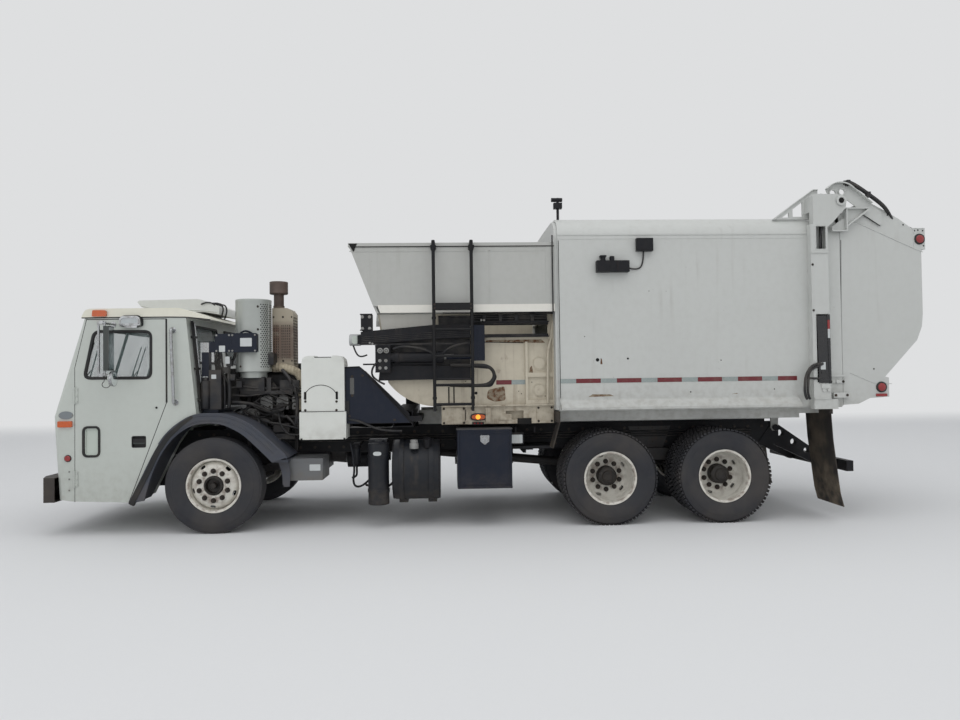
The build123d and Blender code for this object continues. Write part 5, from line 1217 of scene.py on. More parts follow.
class TRUCK_OT_doors(TruckOperator, bpy.types.Operator):
    """Dress the cab doors: seals, grip recess, keyhole, hinges, lamp and mirrors"""

    bl_idname = "truck.doors"
    bl_label = "Cab doors"

    def execute(self, context):
        sizes = settings()[1]
        for name, side in SIDES.items():
            body, skin = f"door_{name}", side * CAB_SIDE_Y
            seal = Form()
            window = softened(DOOR_WINDOW, 0.075, 6)
            seal.frame_strip(inset(window, -0.014), "y", skin - side * 0.01, skin + side * 0.006,
                             sizes.seal_width + 0.012)
            peep = softened(PEEP_WINDOW, 0.055, 6)
            seal.frame_strip(inset(peep, -0.01), "y", skin - side * 0.01, skin + side * 0.009,
                             sizes.seal_width + 0.004)
            seal.frame_strip(soft_panel(-3.941, 0.947, -3.785, 1.076, 0.022), "y",
                             skin - side * 0.004, skin + side * 0.003, 0.012)
            seal.plate(soft_panel(-3.936, 0.952, -3.79, 1.071, 0.016), "y", skin - side * 0.0245,
                       skin - side * 0.021, 0.0)
            seal.plate(soft_panel(-3.926, 1.0, -3.8, 1.046, 0.012), "y", skin - side * 0.012,
                       skin - side * 0.004, 0.002)
            seal.disc((-3.673, skin, 1.379), 0.0125, 0.0, side * 0.0045, edge=0.001)
            seal.piece(f"door_seals_{name}", body, "seal", "rubber")

            bright = Form()
            bright.frame_strip(inset(peep, sizes.seal_width * 0.6), "y", skin - side * 0.022,
                               skin - side * 0.006, 0.016)
            bright.plate(inset(peep, 0.026), "y", skin - side * 0.0225, skin - side * 0.019, 0.0)
            bright.piece(f"peep_frame_{name}", body, "peep", "glass")

            hinge = Form()
            for low, high in ((0.53, 0.712), (1.43, 1.612)):
                hinge.pipe(((-4.5445, skin + side * 0.01, low),
                            (-4.5445, skin + side * 0.01, high)), 0.0088, 5)
                for level in range(5):
                    z = low + (high - low) * (level + 0.5) / 5
                    hinge.disc((-4.5445, skin + side * 0.01, z), 0.0105, -0.002, 0.002, "z", 16)
                hinge.plate(milli(((-4540, low * 1000 + 8), (-4508, low * 1000 + 8),
                                   (-4508, high * 1000 - 8), (-4540, high * 1000 - 8))), "y", skin,
                            skin + side * 0.0075, 0.0015)
            hinge.piece(f"door_hinges_{name}", body, "cab", "cab_paint")
            bolts(f"door_hinge_bolts_{name}", [(-4.52, skin + side * 0.009, z)
                                               for z in (0.56, 0.62, 0.68, 1.46, 1.52, 1.58)],
                  (0.0, side, 0.0), body, "cab", 0.008, 0.006)

            dark = Form()
            dark.block((-3.928, side * 1.12, 0.987), (-3.798, side * 1.1445, 1.043), 0.006)
            dark.block((-4.099, side * 1.324, 1.785), (-4.046, side * 1.4525, 2.255), 0.01, 3)
            dark.piece(f"grip_and_mirror_{name}", body, "mirror_shell", "black_steel")
            around = Form()
            around.plate(softened(milli(((-4052, 2266), (-3808, 2266), (-3812, 2352), (-3846, 2388),
                                         (-4014, 2388), (-4050, 2356))), 0.03, 5), "y",
                         side * 1.146, side * 1.176, 0.006)
            around.piece(f"door_lamp_seat_{name}", body, "seal", "rubber")
            lamp = Form()
            shell = softened(milli(((-4046, 2272), (-3814, 2272), (-3822, 2352), (-3850, 2378),
                                    (-4010, 2378), (-4040, 2350))), 0.03, 5)
            lamp.plate(shell, "y", side * 1.146, side * 1.218, 0.012, 3)
            lamp.block((-4.0, side * 1.15, 2.25), (-3.86, side * 1.2, 2.274), 0.006)
            lamp.frame_strip(softened(milli(((-4034, 2284), (-3826, 2284), (-3830, 2340),
                                             (-3856, 2366), (-4004, 2366), (-4030, 2338))), 0.025,
                                      5), "y", side * 1.216, side * 1.226, 0.012)
            lamp.piece(f"door_lamp_{name}", body, "chrome", "chrome")
            glass = Form()
            glass.plate(softened(milli(((-4024, 2294), (-3838, 2294), (-3842, 2334), (-3862, 2356),
                                        (-3998, 2356), (-4020, 2332))), 0.02, 4), "y", side * 1.214,
                        side * 1.2215, 0.003)
            glass.piece(f"door_lamp_lens_{name}", body, "clear", "glass")

            arm_y = side * 1.42
            arms = Form()
            for x in (-4.16, -4.1):
                arms.pipe(((x, arm_y, 1.735), (x, arm_y, 2.295)), 0.0125, 5)
            for z in (1.74, 2.29):
                arms.pipe(((-4.172, arm_y, z), (-4.088, arm_y, z)), 0.0128, 5)
                arms.pipe(((-4.13, arm_y, z), (-4.13, side * 1.148, z)), 0.0115, 5)
                arms.disc((-4.13, side * 1.15, z), 0.03, 0.0, side * 0.008)
                arms.block((-4.15, arm_y - 0.016, z - 0.018), (-4.11, arm_y + 0.016, z + 0.018),
                           0.004)
            for z in (1.86, 2.16):
                arms.block((-4.116, arm_y - 0.02, z - 0.014), (-4.084, arm_y + 0.018, z + 0.014),
                           0.003)
            arms.block((-4.0985, side * 1.327, 1.787), (-4.0465, side * 1.451, 2.253), 0.014, 3)
            arms.turned([(-0.052, 0.0), (-0.052, 0.06), (-0.046, 0.076), (-0.02, 0.0825),
                         (-0.014, 0.0825), (-0.014, 0.0)], (-4.0, side * 1.39, 1.7), "x", 36)
            arms.pipe(((-4.035, arm_y, 1.74), (-4.104, arm_y, 1.74)), 0.01, 5)
            arms.piece(f"mirror_arms_{name}", body, "chrome", "chrome")
            faces = Form()
            faces.plate([(side * y, z) for y, z in soft_panel(1.336, 1.797, 1.442, 2.243, 0.016)],
                        "x", -4.047, -4.0435, 0.001)
            faces.turned([(-0.015, 0.0), (-0.015, 0.074), (-0.012, 0.074), (-0.006, 0.05),
                          (-0.003, 0.025), (-0.002, 0.0)], (-4.0, side * 1.39, 1.7), "x", 36)
            faces.piece(f"mirror_faces_{name}", body, "mirror", "chrome")
            loop = Form()
            loop.pipe([(-4.085 + 0.042 * math.cos(a), arm_y, 1.64 + 0.035 * math.sin(a))
                       for a in (math.radians(d) for d in range(120, 421, 30))], 0.0035, 3)
            loop.pipe(((-4.106, arm_y, 1.67), (-4.1, arm_y, 1.7), (-4.095, arm_y, 1.74)), 0.0035, 3)
            loop.pipe(((-4.064, arm_y, 1.6703), (-4.075, arm_y, 1.7), (-4.082, arm_y, 1.74)),
                      0.0035, 3)
            loop.piece(f"mirror_wire_{name}", body, "seal", "rubber")
        return {"FINISHED"}


class TRUCK_OT_cab_trim(TruckOperator, bpy.types.Operator):
    """Dress the cab's shell: seams, arch rubber, markers, rails, plates and rear corner pipes"""

    bl_idname = "truck.cab_trim"
    bl_label = "Cab trim"

    def execute(self, context):
        dark, lens, rail, plate, red = (Form() for _ in range(5))
        for side in SIDES.values():
            skin = side * CAB_SIDE_Y
            flush = skin - side * 0.004
            gap = [(x, flush, z) for x, z in inset(DOOR_SIDE, -0.004)]
            for start, end, radius in ((0, 1, 0.0045), (1, 2, 0.0045), (2, 3, 0.006), (3, 4, 0.011),
                                       (4, 5, 0.0055)):
                dark.pipe((gap[start], gap[end]), radius, 3, order=2)
            arch = [Vector((x, z)) for x, z in WHEEL_ARCH]
            outer, inner = [], []
            for i, here in enumerate(arch):
                way = (arch[min(i + 1, len(arch) - 1)] - arch[max(i - 1, 0)]).normalized()
                width = 0.03 + 0.03 * min(1.0, i / 2)
                outer.append(here + Vector((way.y, -way.x)) * -0.004)
                inner.append(here + Vector((-way.y, way.x)) * width)
            strip = [tuple(v) for v in outer] + [tuple(v) for v in reversed(inner)]
            dark.plate(strip, "y", side * 1.146, side * 1.1905, 0.003)
            roof_line = [(-4.466, 2.366), (-4.3, 2.368), (-3.9, 2.368), (-3.5, 2.368),
                         (-3.345, 2.364)]
            dark.pipe([(x, side * 1.152, z) for x, z in roof_line], 0.0075, 3)
            dark.pipe([(-3.345, side * 1.152, 2.364), (-3.22, side * 1.156, 2.348),
                       (-3.09, side * 1.156, 2.331)], 0.0075, 3)

            lens.plate(soft_panel(-4.716, 1.182, -4.566, 1.248, 0.012), "y", side * 1.1495,
                       side * 1.1745, 0.006, 3)
            lens.plate(softened(milli(((-4343, 2376), (-4193, 2376), (-4197, 2444), (-4337, 2446))),
                                0.014), "y", side * 1.159, side * 1.19, 0.008, 3)
            red.disc((-4.616, skin, 0.844), 0.0315, side * 0.002, side * 0.019, edge=0.006)
            plate.plate(oval((-4.636, 1.31), 0.076, 0.043, 36), "y", side * 1.1495, side * 1.156,
                        0.0025)
            dark.turned([(0.0, 0.031), (0.0, 0.038), (side * 0.006, 0.038), (side * 0.01, 0.034),
                         (side * 0.01, 0.031)], (-4.616, skin, 0.844), "y", 36)

            y_out = side * 1.205
            rail.pipe(((-3.47, side * 1.146, 1.433), (-3.47, side * 1.192, 1.433),
                       (-3.47, y_out, 1.433), (-3.47, y_out, 1.462), (-3.474, y_out, 1.6),
                       (-3.492, y_out, 2.06), (-3.495, y_out, 2.193), (-3.495, y_out, 2.222),
                       (-3.495, side * 1.192, 2.222), (-3.495, side * 1.146, 2.222)), 0.0165, 6)
            for x, z in ((-3.47, 1.433), (-3.495, 2.222)):
                rail.disc((x, skin, z), 0.034, 0.0, side * 0.008, edge=0.003)
            rail.pipe([(rear_x(z) + 0.028, side * 0.98, z) for z in (1.36, 1.6, 1.95, 2.2, 2.32)],
                      0.011, 4)
            dark.pipe([(rear_x(z) + 0.018, side * 1.02, z) for z in (1.32, 1.6, 1.95, 2.2, 2.33)],
                      0.014, 4)
            dark.pipe([(rear_x(z) + 0.02, side * 1.055, z) for z in (1.32, 1.6, 1.95, 2.2, 2.31)],
                      0.008, 4)
            for z in (1.45, 1.8, 2.15):
                dark.block((rear_x(z) - 0.002, side * 0.965, z - 0.012),
                           (rear_x(z) + 0.04, side * 1.07, z + 0.012), 0.003)
        dark.piece("cab_seams", "chassis", "seal", "rubber")
        lens.piece("cab_amber_lenses", "chassis", "amber", "glass")
        red.piece("cab_red_markers", "chassis", "red", "glass")
        plate.piece("cab_blank_plates", "chassis", "plate", "chrome")
        rail.piece("cab_rails", "chassis", "chrome", "chrome")
        screws = ((-4.704, 1.31), (-4.568, 1.31), (-4.6, 0.62), (-4.6, 0.7), (-4.6, 0.5))
        for name, side in SIDES.items():
            bolts(f"cab_screws_{name}", [(x, side * 1.156, z) for x, z in screws], (0.0, side, 0.0),
                  "chassis", "zinc", 0.006, 0.004)
            bolts(f"rail_bolts_{name}", [(x, side * 1.16, z + dz)
                                         for x, z in ((-3.47, 1.433), (-3.495, 2.222))
                                         for dz in (0.024, -0.024)], (0.0, side, 0.0), "chassis",
                  "zinc", 0.006, 0.005)
        return {"FINISHED"}


def leaning(form):
    """Pushes what was built upright at x 0 on to the cab's sloping front."""
    for vertex in form.mesh.verts:
        vertex.co.x += front_x(vertex.co.z)


class TRUCK_OT_cab_front(TruckOperator, bpy.types.Operator):
    """Dress the front: windscreen seal, wipers, grille, headlamps and roof lamps"""

    bl_idname = "truck.cab_front"
    bl_label = "Cab front"

    def execute(self, context):
        sizes = settings()[1]
        dark = Form()
        screen = soft_panel(-1.015, 1.425, 1.015, 2.285, 0.09, 6)
        dark.frame_strip(screen, "x", 0.012, -0.008, sizes.seal_width * 1.6)
        dark.block((-0.004, -0.016, 1.43), (0.02, 0.016, 2.28), 0.004)
        leaning(dark)
        for side in SIDES.values():
            window = softened([(side * y, z) for y, z in ((0.125, 1.855), (0.955, 1.855),
                                                          (0.955, 2.295), (0.125, 2.295))], 0.05)
            back = Form()
            back.frame_strip(window, "x", -0.01, 0.009, sizes.seal_width + 0.006)
            for vertex in back.mesh.verts:
                vertex.co.x += rear_x(vertex.co.z)
            held = back.made_mesh("rear window seal")
            dark.mesh.from_mesh(held)
            bpy.data.meshes.remove(held)
        for side in SIDES.values():
            for pivot, tip in ((0.28, 0.92), (0.95, 0.35)):
                base = Vector((front_x(1.4) - 0.022, side * pivot, 1.395))
                end = Vector((front_x(1.8) - 0.03, side * (pivot * 0.35 + tip * 0.65), 1.8))
                dark.disc(tuple(base), 0.022, -0.012, 0.03, "x", 20)
                dark.pipe((tuple(base), tuple(end)), 0.006, 4, order=2)
                low = Vector((front_x(1.5) - 0.02, end.y - side * 0.02, 1.5))
                high = Vector((front_x(2.12) - 0.02, end.y + side * 0.01, 2.12))
                dark.pipe((tuple(low), tuple(high)), 0.007, 4, order=2)
        dark.piece("windscreen_seal", "chassis", "seal", "rubber")

        grille = Form()
        grille.block((-0.004, -0.52, 0.8), (0.012, 0.52, 1.225), 0.004)
        for level in range(9):
            z = 0.832 + level * 0.045
            grille.block((-0.018, -0.49, z), (0.002, 0.49, z + 0.02), 0.004)
        for y in (-0.52, 0.5):
            grille.block((-0.016, y, 0.8), (0.002, y + 0.02, 1.225), 0.004)
        leaning(grille)
        grille.piece("front_grille", "chassis", "ladder", "black_steel")

        bezel, lens, amber = Form(), Form(), Form()
        for side in SIDES.values():
            for y in (0.76, 0.93):
                bezel.turned([(0.0, 0.07), (0.0, 0.096), (-0.018, 0.096), (-0.026, 0.088),
                              (-0.026, 0.07)], (-4.778, side * y, 1.01), "x", 40)
                lens.turned([(0.0, 0.0), (0.0, 0.074), (-0.022, 0.074), (-0.03, 0.05),
                             (-0.034, 0.025), (-0.035, 0.0)], (-4.78, side * y, 1.01), "x", 40)
            bezel.plate([(side * y, z) for y, z in soft_panel(0.645, 0.895, 1.06, 1.125, 0.03)],
                        "x", -4.781, -4.764, 0.004)
            amber.plate([(side * y, z) for y, z in soft_panel(0.7, 1.15, 1.0, 1.205, 0.015)], "x",
                        -4.794, -4.77, 0.005, 3)
        for y in (-1.02, -0.3, 0.0, 0.3, 1.02):
            amber.plate(softened(((y - 0.055, 2.392), (y + 0.055, 2.392), (y + 0.05, 2.43),
                                  (y - 0.05, 2.43)), 0.012), "x", -4.475, -4.43, 0.006, 3)
        bezel.piece("headlamp_bezels", "chassis", "chrome", "chrome")
        lens.piece("headlamp_lenses", "chassis", "clear", "glass")
        amber.piece("front_amber_lenses", "chassis", "amber", "glass")

        lining = Form()
        lining.block((-4.385, -1.092, 2.3), (-3.42, 1.092, 2.311), 0.002)
        for y in ((-1.092, -0.955), (-0.125, 0.125), (0.955, 1.092)):
            lining.plate(((rear_x(1.25) - 0.066, 1.25), (rear_x(2.31) - 0.066, 2.31),
                          (rear_x(2.31) - 0.054, 2.31), (rear_x(1.25) - 0.054, 1.25)), "y", *y, 0.0)
        low, high = 1.3, 1.855
        lining.plate(((rear_x(low) - 0.068, low), (rear_x(high) - 0.068, high),
                      (rear_x(high) - 0.054, high), (rear_x(low) - 0.054, low)), "y", -1.09, 1.09,
                     0.0)
        lining.piece("cab_lining", "chassis", "trim", "cab_trim")
        for name, side in SIDES.items():
            panel = Form()
            low_part = milli(((-4500, 1192), (-4500, 1690), (-3600, 1690), (-3600, 1440),
                              (-3700, 1192)))
            panel.plate(low_part, "y", side * 1.1045, side * 1.096, 0.003)
            panel.block((-4.25, side * 1.098, 1.45), (-3.8, side * 1.082, 1.52), 0.006)
            panel.piece(f"door_lining_{name}", f"door_{name}", "trim", "cab_trim")
        return {"FINISHED"}


class TRUCK_OT_exhaust(TruckOperator, bpy.types.Operator):
    """Make the perforated cylinder, the slotted shield, the stack and the wrapped elbow"""

    bl_idname = "truck.exhaust"
    bl_label = "Exhaust"

    def execute(self, context):
        x, y = -2.743, -0.7
        can = Form()
        can.turned([(1.758, 0.15), (1.756, 0.19), (1.762, 0.2005), (1.78, 0.2015), (1.784, 0.2),
                    (2.562, 0.2), (2.566, 0.2015), (2.584, 0.2015), (2.59, 0.196), (2.588, 0.186),
                    (2.56, 0.184), (2.556, 0.15), (1.8, 0.15)], (x, y, 0.0), "z", 96)
        can.turned([(1.69, 0.0), (1.69, 0.146), (1.7, 0.15), (1.76, 0.15), (1.76, 0.0)],
                   (x, y, 0.0), "z", 64)
        for turn in (-128, -20, 75):
            a = math.radians(turn)
            strip = Vector((math.cos(a), math.sin(a), 0.0)) * 0.2
            can.pipe(((x + strip.x, y + strip.y, 1.79), (x + strip.x, y + strip.y, 2.56)), 0.004, 3)
        made = can.piece("exhaust_can", "chassis", "cylinder", "hot_steel", 40.0)
        wrap = Form()
        route = ((-2.72, -0.5, 1.79), (-2.62, -0.56, 1.815), (-2.48, -0.63, 1.815),
                 (-2.34, -0.66, 1.785), (-2.235, -0.655, 1.74), (-2.195, -0.645, 1.62),
                 (-2.2, -0.64, 1.45), (-2.2, -0.64, 1.31))
        wrap.pipe(route, 0.052, 8, reach=12)
        wrap.piece("exhaust_wrap", "chassis", "wrap", "hot_steel", 60.0)
        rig.replaces(made, "exhaust_cylinder")
        points, facings = [], []
        for row in range(31):
            for column in range(22):
                turn = math.radians(-52 + column * 8.4 + (4.2 if row % 2 else 0.0))
                way = Vector((math.cos(turn), math.sin(turn), 0.0))
                points.append(Vector((x, y, 1.815 + row * 0.0237)) + way * 0.2002)
                facings.append(way)
        scattered("exhaust_can_holes", points, facings, hole_shape,
                  {"Radius": 0.0078, "Height": 0.0016}, "chassis", "void")
        bolts("exhaust_can_bolts", [(x + 0.2 * math.cos(a), y + 0.2 * math.sin(a), z)
                                    for a, z in ((math.radians(-62), 2.24),
                                                 (math.radians(-62), 2.5),
                                                 (math.radians(-120), 1.82))], (0.35, -0.93, 0.0),
              "chassis", "nut", 0.009, 0.007)

        slots = [(-2.532 + column * 0.0225, -0.6006, 1.925 + row * 0.031) for column in range(9)
                 for row in range(13) if column != 3]
        scattered("shield_slots", slots, [TO_PHOTO_SIDE] * len(slots), block_shape,
                  {"Length": 0.007, "Width": 0.021, "Height": 0.0014, "Spin": 0.0}, "chassis",
                  "void")
        side = [(-2.3114, -0.58 + column * 0.03, 1.85 + row * 0.034) for column in range(8)
                for row in range(17)]
        scattered("shield_side_slots", side, [(1.0, 0.0, 0.0)] * len(side), block_shape,
                  {"Length": 0.021, "Width": 0.007, "Height": 0.0014, "Spin": 0.0}, "chassis",
                  "void")
        shield = Form()
        shield.plate(((-2.555, 1.756), (-2.312, 1.756), (-2.312, 2.44), (-2.345, 2.49),
                      (-2.38, 2.506), (-2.555, 2.506)), "y", -0.6, -0.33, 0.008, 3)
        for z in (1.905, 2.345):
            shield.block((-2.552, -0.6035, z), (-2.31, -0.598, z + 0.01), 0.002)
        for edge in (-2.555, -2.3245):
            shield.block((edge, -0.6045, 1.757), (edge + 0.014, -0.597, 2.44), 0.003)
        shield.turned([(2.47, 0.0), (2.47, 0.0588), (2.7, 0.0588), (2.7, 0.0)], STACK_FOOT, "z", 40)
        shield.turned([(2.684, 0.0), (2.684, 0.1), (2.69, 0.1068), (2.7, 0.108), (2.706, 0.1068),
                       (2.815, 0.1068), (2.824, 0.108), (2.831, 0.104), (2.829, 0.092),
                       (2.8, 0.088), (2.8, 0.0)], STACK_FOOT, "z", 56)
        shield.turned([(2.52, 0.0588), (2.52, 0.066), (2.545, 0.066), (2.545, 0.0588)], STACK_FOOT,
                      "z", 40)
        made = shield.piece("exhaust_shield", "chassis", "heat", "hot_steel", 40.0)
        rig.replaces(made, "exhaust_stack")
        bolts("shield_bolts", [(px, -0.6015, z) for px in (-2.54, -2.43, -2.325)
                               for z in (1.8, 1.885, 2.4)], TO_PHOTO_SIDE, "chassis", "nut", 0.008,
              0.006)
        return {"FINISHED"}


class TRUCK_OT_engine(TruckOperator, bpy.types.Operator):
    """Dress the engine bay: valve covers, hoses, looms, bottles, boxes and labels"""

    bl_idname = "truck.engine"
    bl_label = "Engine bay"

    def execute(self, context):
        covers = Form()
        for low in (-2.69, -2.505, -2.325):
            covers.block((low, -0.62, 1.318), (low + 0.135, -0.46, 1.462), 0.018, 3)
            covers.block((low + 0.018, -0.628, 1.33), (low + 0.117, -0.6, 1.372), 0.008)
            covers.block((low + 0.03, -0.6, 1.455), (low + 0.105, -0.5, 1.478), 0.008)
            covers.pipe(((low + 0.067, -0.5, 1.47), (low + 0.067, -0.42, 1.5),
                         (low + 0.02, -0.32, 1.48)), 0.022, 6)
            for rib in range(4):
                covers.block((low + 0.02 + rib * 0.028, -0.6255, 1.385),
                             (low + 0.028 + rib * 0.028, -0.612, 1.445), 0.003)
        covers.pipe(((-2.9, -0.55, 1.52), (-2.84, -0.6, 1.6), (-2.76, -0.6, 1.585),
                     (-2.7, -0.56, 1.5)), 0.036, 7)
        covers.disc((-2.8, -0.6, 1.25), 0.085, 0.0, 0.06, edge=0.01)
        covers.disc((-2.8, -0.615, 1.25), 0.045, 0.0, 0.03, edge=0.008)
        covers.disc((-2.33, -0.6, 1.62), 0.04, -0.05, 0.05, "z")
        covers.piece("valve_covers", "chassis", "alloy", "cast", 40.0)
        for k, low in enumerate((-2.69, -2.505, -2.325)):
            bolts(f"cover_bolts_{k}", [(low + dx, -0.629, 1.351) for dx in (0.03, 0.105)],
                  TO_PHOTO_SIDE, "chassis", "nut", 0.008, 0.008)

        dark = Form()
        lines = (
            ((-3.02, -0.95, 1.62), (-2.98, -0.9, 1.78), (-2.96, -0.86, 1.86), (-2.9, -0.86, 1.95),
             (-2.9, -0.9, 2.05)), ((-3.0, -0.96, 1.35), (-2.99, -0.97, 1.6), (-3.02, -0.97, 1.85),
                                   (-3.04, -0.96, 2.02)), ((-2.96, -0.94, 1.36),
                                                           (-2.94, -0.95, 1.55),
                                                           (-2.97, -0.95, 1.72),
                                                           (-2.95, -0.92, 1.93)),
            ((-2.98, -0.88, 1.68), (-2.85, -0.8, 1.66), (-2.74, -0.72, 1.64), (-2.66, -0.7, 1.7)),
            ((-2.98, -0.86, 1.58), (-2.84, -0.82, 1.6), (-2.7, -0.8, 1.575), (-2.55, -0.74, 1.56),
             (-2.36, -0.62, 1.57)), ((-2.95, -0.84, 1.5), (-2.82, -0.8, 1.48), (-2.66, -0.78, 1.5),
                                     (-2.5, -0.74, 1.52), (-2.2, -0.7, 1.53)),
            ((-2.95, -0.86, 1.42), (-2.8, -0.82, 1.41), (-2.66, -0.76, 1.36), (-2.52, -0.72, 1.27),
             (-2.36, -0.7, 1.22), (-2.16, -0.72, 1.24)), ((-2.88, -0.76, 1.34),
                                                          (-2.74, -0.76, 1.26), (-2.6, -0.76, 1.18),
                                                          (-2.42, -0.78, 1.16), (-2.2, -0.8, 1.1)),
            ((-2.72, -0.74, 1.3), (-2.66, -0.78, 1.2), (-2.66, -0.8, 1.08), (-2.58, -0.82, 1.0),
             (-2.42, -0.8, 0.98)), ((-2.46, -0.72, 1.3), (-2.44, -0.78, 1.18), (-2.36, -0.82, 1.06),
                                    (-2.26, -0.84, 1.02), (-2.14, -0.8, 1.05)),
            ((-2.3, -0.7, 1.66), (-2.24, -0.78, 1.5), (-2.22, -0.8, 1.36), (-2.24, -0.82, 1.16)),
            ((-2.58, -0.62, 1.66), (-2.5, -0.68, 1.6), (-2.46, -0.7, 1.5), (-2.5, -0.7, 1.44)),
            ((-2.1, -0.86, 1.36), (-2.18, -0.9, 1.28), (-2.22, -0.9, 1.16), (-2.16, -0.86, 1.06)),
            ((-2.62, -0.66, 1.56), (-2.66, -0.7, 1.46), (-2.74, -0.74, 1.4), (-2.84, -0.78, 1.3),
             (-2.9, -0.8, 1.24)),
        )
        for number, line in enumerate(lines):
            dark.pipe(line, (0.016, 0.011, 0.02, 0.013)[number % 4], 5)
        for x, y, z in ((-2.98, -0.95, 1.78), (-2.95, -0.93, 1.86), (-2.92, -0.92, 1.7),
                        (-2.86, -0.86, 1.62)):
            dark.block((x - 0.03, y - 0.03, z - 0.035), (x + 0.03, y + 0.03, z + 0.035), 0.008)
        dark.block((-2.66, -0.78, 1.84), (-2.5, -0.6, 1.97), 0.02, 3)
        dark.block((-2.88, -0.8, 1.54), (-2.6, -0.62, 1.7), 0.02, 3)
        dark.block((-2.44, -0.74, 1.52), (-2.22, -0.56, 1.66), 0.02, 3)
        dark.block((-2.58, -0.8, 0.985), (-2.26, -0.7, 1.045), 0.008)
        dark.block((-2.95, -0.28, 1.42), (-2.18, 0.3, 1.86), 0.05, 3)
        dark.block((-3.06, -0.74, 1.38), (-2.9, 0.2, 1.8), 0.03, 3)
        dark.block((-2.62, -0.55, 1.48), (-2.18, -0.28, 1.72), 0.03, 3)
        dark.block((-2.95, -0.5, 1.86), (-2.8, -0.3, 2.02), 0.03, 3)
        dark.pipe(((-2.78, -0.86, 1.93), (-2.7, -0.84, 1.9), (-2.62, -0.8, 1.88),
                   (-2.58, -0.76, 1.8)), 0.03, 6)
        dark.piece("engine_hoses", "chassis", "hose", "rubber", 50.0)

        wires = Form()
        for number in range(12):
            z = 1.3 + 0.028 * number
            x = -2.92 + 0.055 * number
            wires.pipe(((x, -0.8, z), (x + 0.1, -0.83, z - 0.05 + 0.012 * (number % 3)),
                        (x + 0.22, -0.8, z - 0.1), (x + 0.3, -0.74,
                                                    z - 0.06 - 0.01 * (number % 4))), 0.006, 3)
        for number in range(6):
            x = -3.06 + 0.012 * number
            wires.pipe(((x, -0.995, 2.0 - 0.03 * number), (x - 0.045, -1.005, 1.9),
                        (x - 0.02, -0.99, 1.78), (x + 0.05, -0.97, 1.72 - 0.02 * number)), 0.0055,
                       3)
        wires.piece("engine_wires", "chassis", "seal", "rubber", 50.0)

        brown = Form()
        brown.turned([(-0.09, 0.0), (-0.09, 0.06), (-0.07, 0.085), (0.0, 0.092), (0.07, 0.085),
                      (0.09, 0.06), (0.09, 0.0)], (-2.62, -0.62, 1.9), "x", 36)
        brown.turned([(-0.07, 0.0), (-0.07, 0.1), (-0.03, 0.115), (0.03, 0.115), (0.07, 0.09),
                      (0.07, 0.0)], (-2.49, -0.5, 1.26), "x", 36)
        brown.block((-2.78, -0.66, 1.06), (-2.6, -0.58, 1.2), 0.02, 3)
        brown.block((-2.52, -0.72, 1.06), (-2.34, -0.6, 1.16), 0.02, 3)
        brown.disc((-2.44, -0.7, 1.35), 0.05, 0.0, 0.05)
        for line, radius in ((((-2.95, -0.7, 1.6), (-2.85, -0.74, 1.66), (-2.72, -0.74, 1.67),
                               (-2.6, -0.7, 1.63), (-2.52, -0.66, 1.58)), 0.022),
                             (((-2.72, -0.66, 1.6), (-2.6, -0.66, 1.57), (-2.48, -0.66, 1.56),
                               (-2.3, -0.62, 1.58)), 0.017), (((-2.42, -0.7, 1.78),
                                                               (-2.34, -0.74, 1.7),
                                                               (-2.3, -0.74, 1.62),
                                                               (-2.34, -0.7, 1.54)), 0.02),
                             (((-2.8, -0.72, 1.26), (-2.7, -0.76, 1.21), (-2.6, -0.74, 1.22),
                               (-2.52, -0.74, 1.15)), 0.016), (((-2.36, -0.76, 1.25),
                                                                (-2.3, -0.8, 1.2),
                                                                (-2.24, -0.78, 1.12),
                                                                (-2.18, -0.76, 1.14)), 0.014)):
            brown.pipe(line, radius, 6)
        brown.piece("engine_castings", "chassis", "cast", "cast", 40.0)

        cans = Form()
        cans.turned([(1.35, 0.0), (1.35, 0.045), (1.36, 0.05), (1.64, 0.05), (1.66, 0.045),
                     (1.668, 0.03), (1.7, 0.028), (1.706, 0.0)], (-3.195, -1.01, 0.0), "z", 28)
        cans.block((-3.155, -1.012, 1.345), (-3.022, -0.9, 1.785), 0.012, 3)
        for z in (1.42, 1.5, 1.58, 1.66):
            cans.block((-3.158, -1.016, z), (-3.019, -0.95, z + 0.012), 0.003)
        cans.pipe(((-3.09, -0.96, 1.78), (-3.09, -0.97, 1.86), (-3.04, -0.98, 1.92),
                   (-3.03, -0.97, 2.0)), 0.012, 5)
        cans.piece("intake_boxes", "chassis", "trim_black", "black_steel")
        labels = Form()
        for corners in ((-2.813, 2.043, -2.685, 2.137), (-3.046, 1.984, -2.98, 2.054)):
            labels.plate(soft_panel(*corners, 0.006, 3), "y", -1.0012, -0.998, 0.0006)
        labels.plate(soft_panel(-3.128, 1.685, -3.075, 1.732, 0.004, 3), "y", -1.0145, -1.011,
                     0.0006)
        labels.plate(soft_panel(-2.99, 1.852, -2.94, 1.932, 0.004, 3), "y", -0.9665, -0.962, 0.0006)
        labels.plate(soft_panel(-3.225, 1.694, -3.17, 1.712, 0.004, 3), "y", -1.004, -0.99, 0.0006)
        labels.piece("blank_labels", "chassis", "label", "white_plastic")
        box = Form()
        box.block((-3.092, -0.9985, 1.978), (-2.632, -0.988, 2.187), 0.006)
        box.block((-2.925, -1.001, 1.985), (-2.913, -0.99, 2.18), 0.003)
        box.block((-2.9, -1.0005, 2.18), (-2.65, -0.91, 2.192), 0.003)
        box.pipe(((-2.83, -0.95, 2.185), (-2.8, -0.96, 2.215), (-2.74, -0.95, 2.22),
                  (-2.7, -0.93, 2.19)), 0.011, 5)
        box.piece("navy_box_lid", "chassis", "navy", "navy_paint")
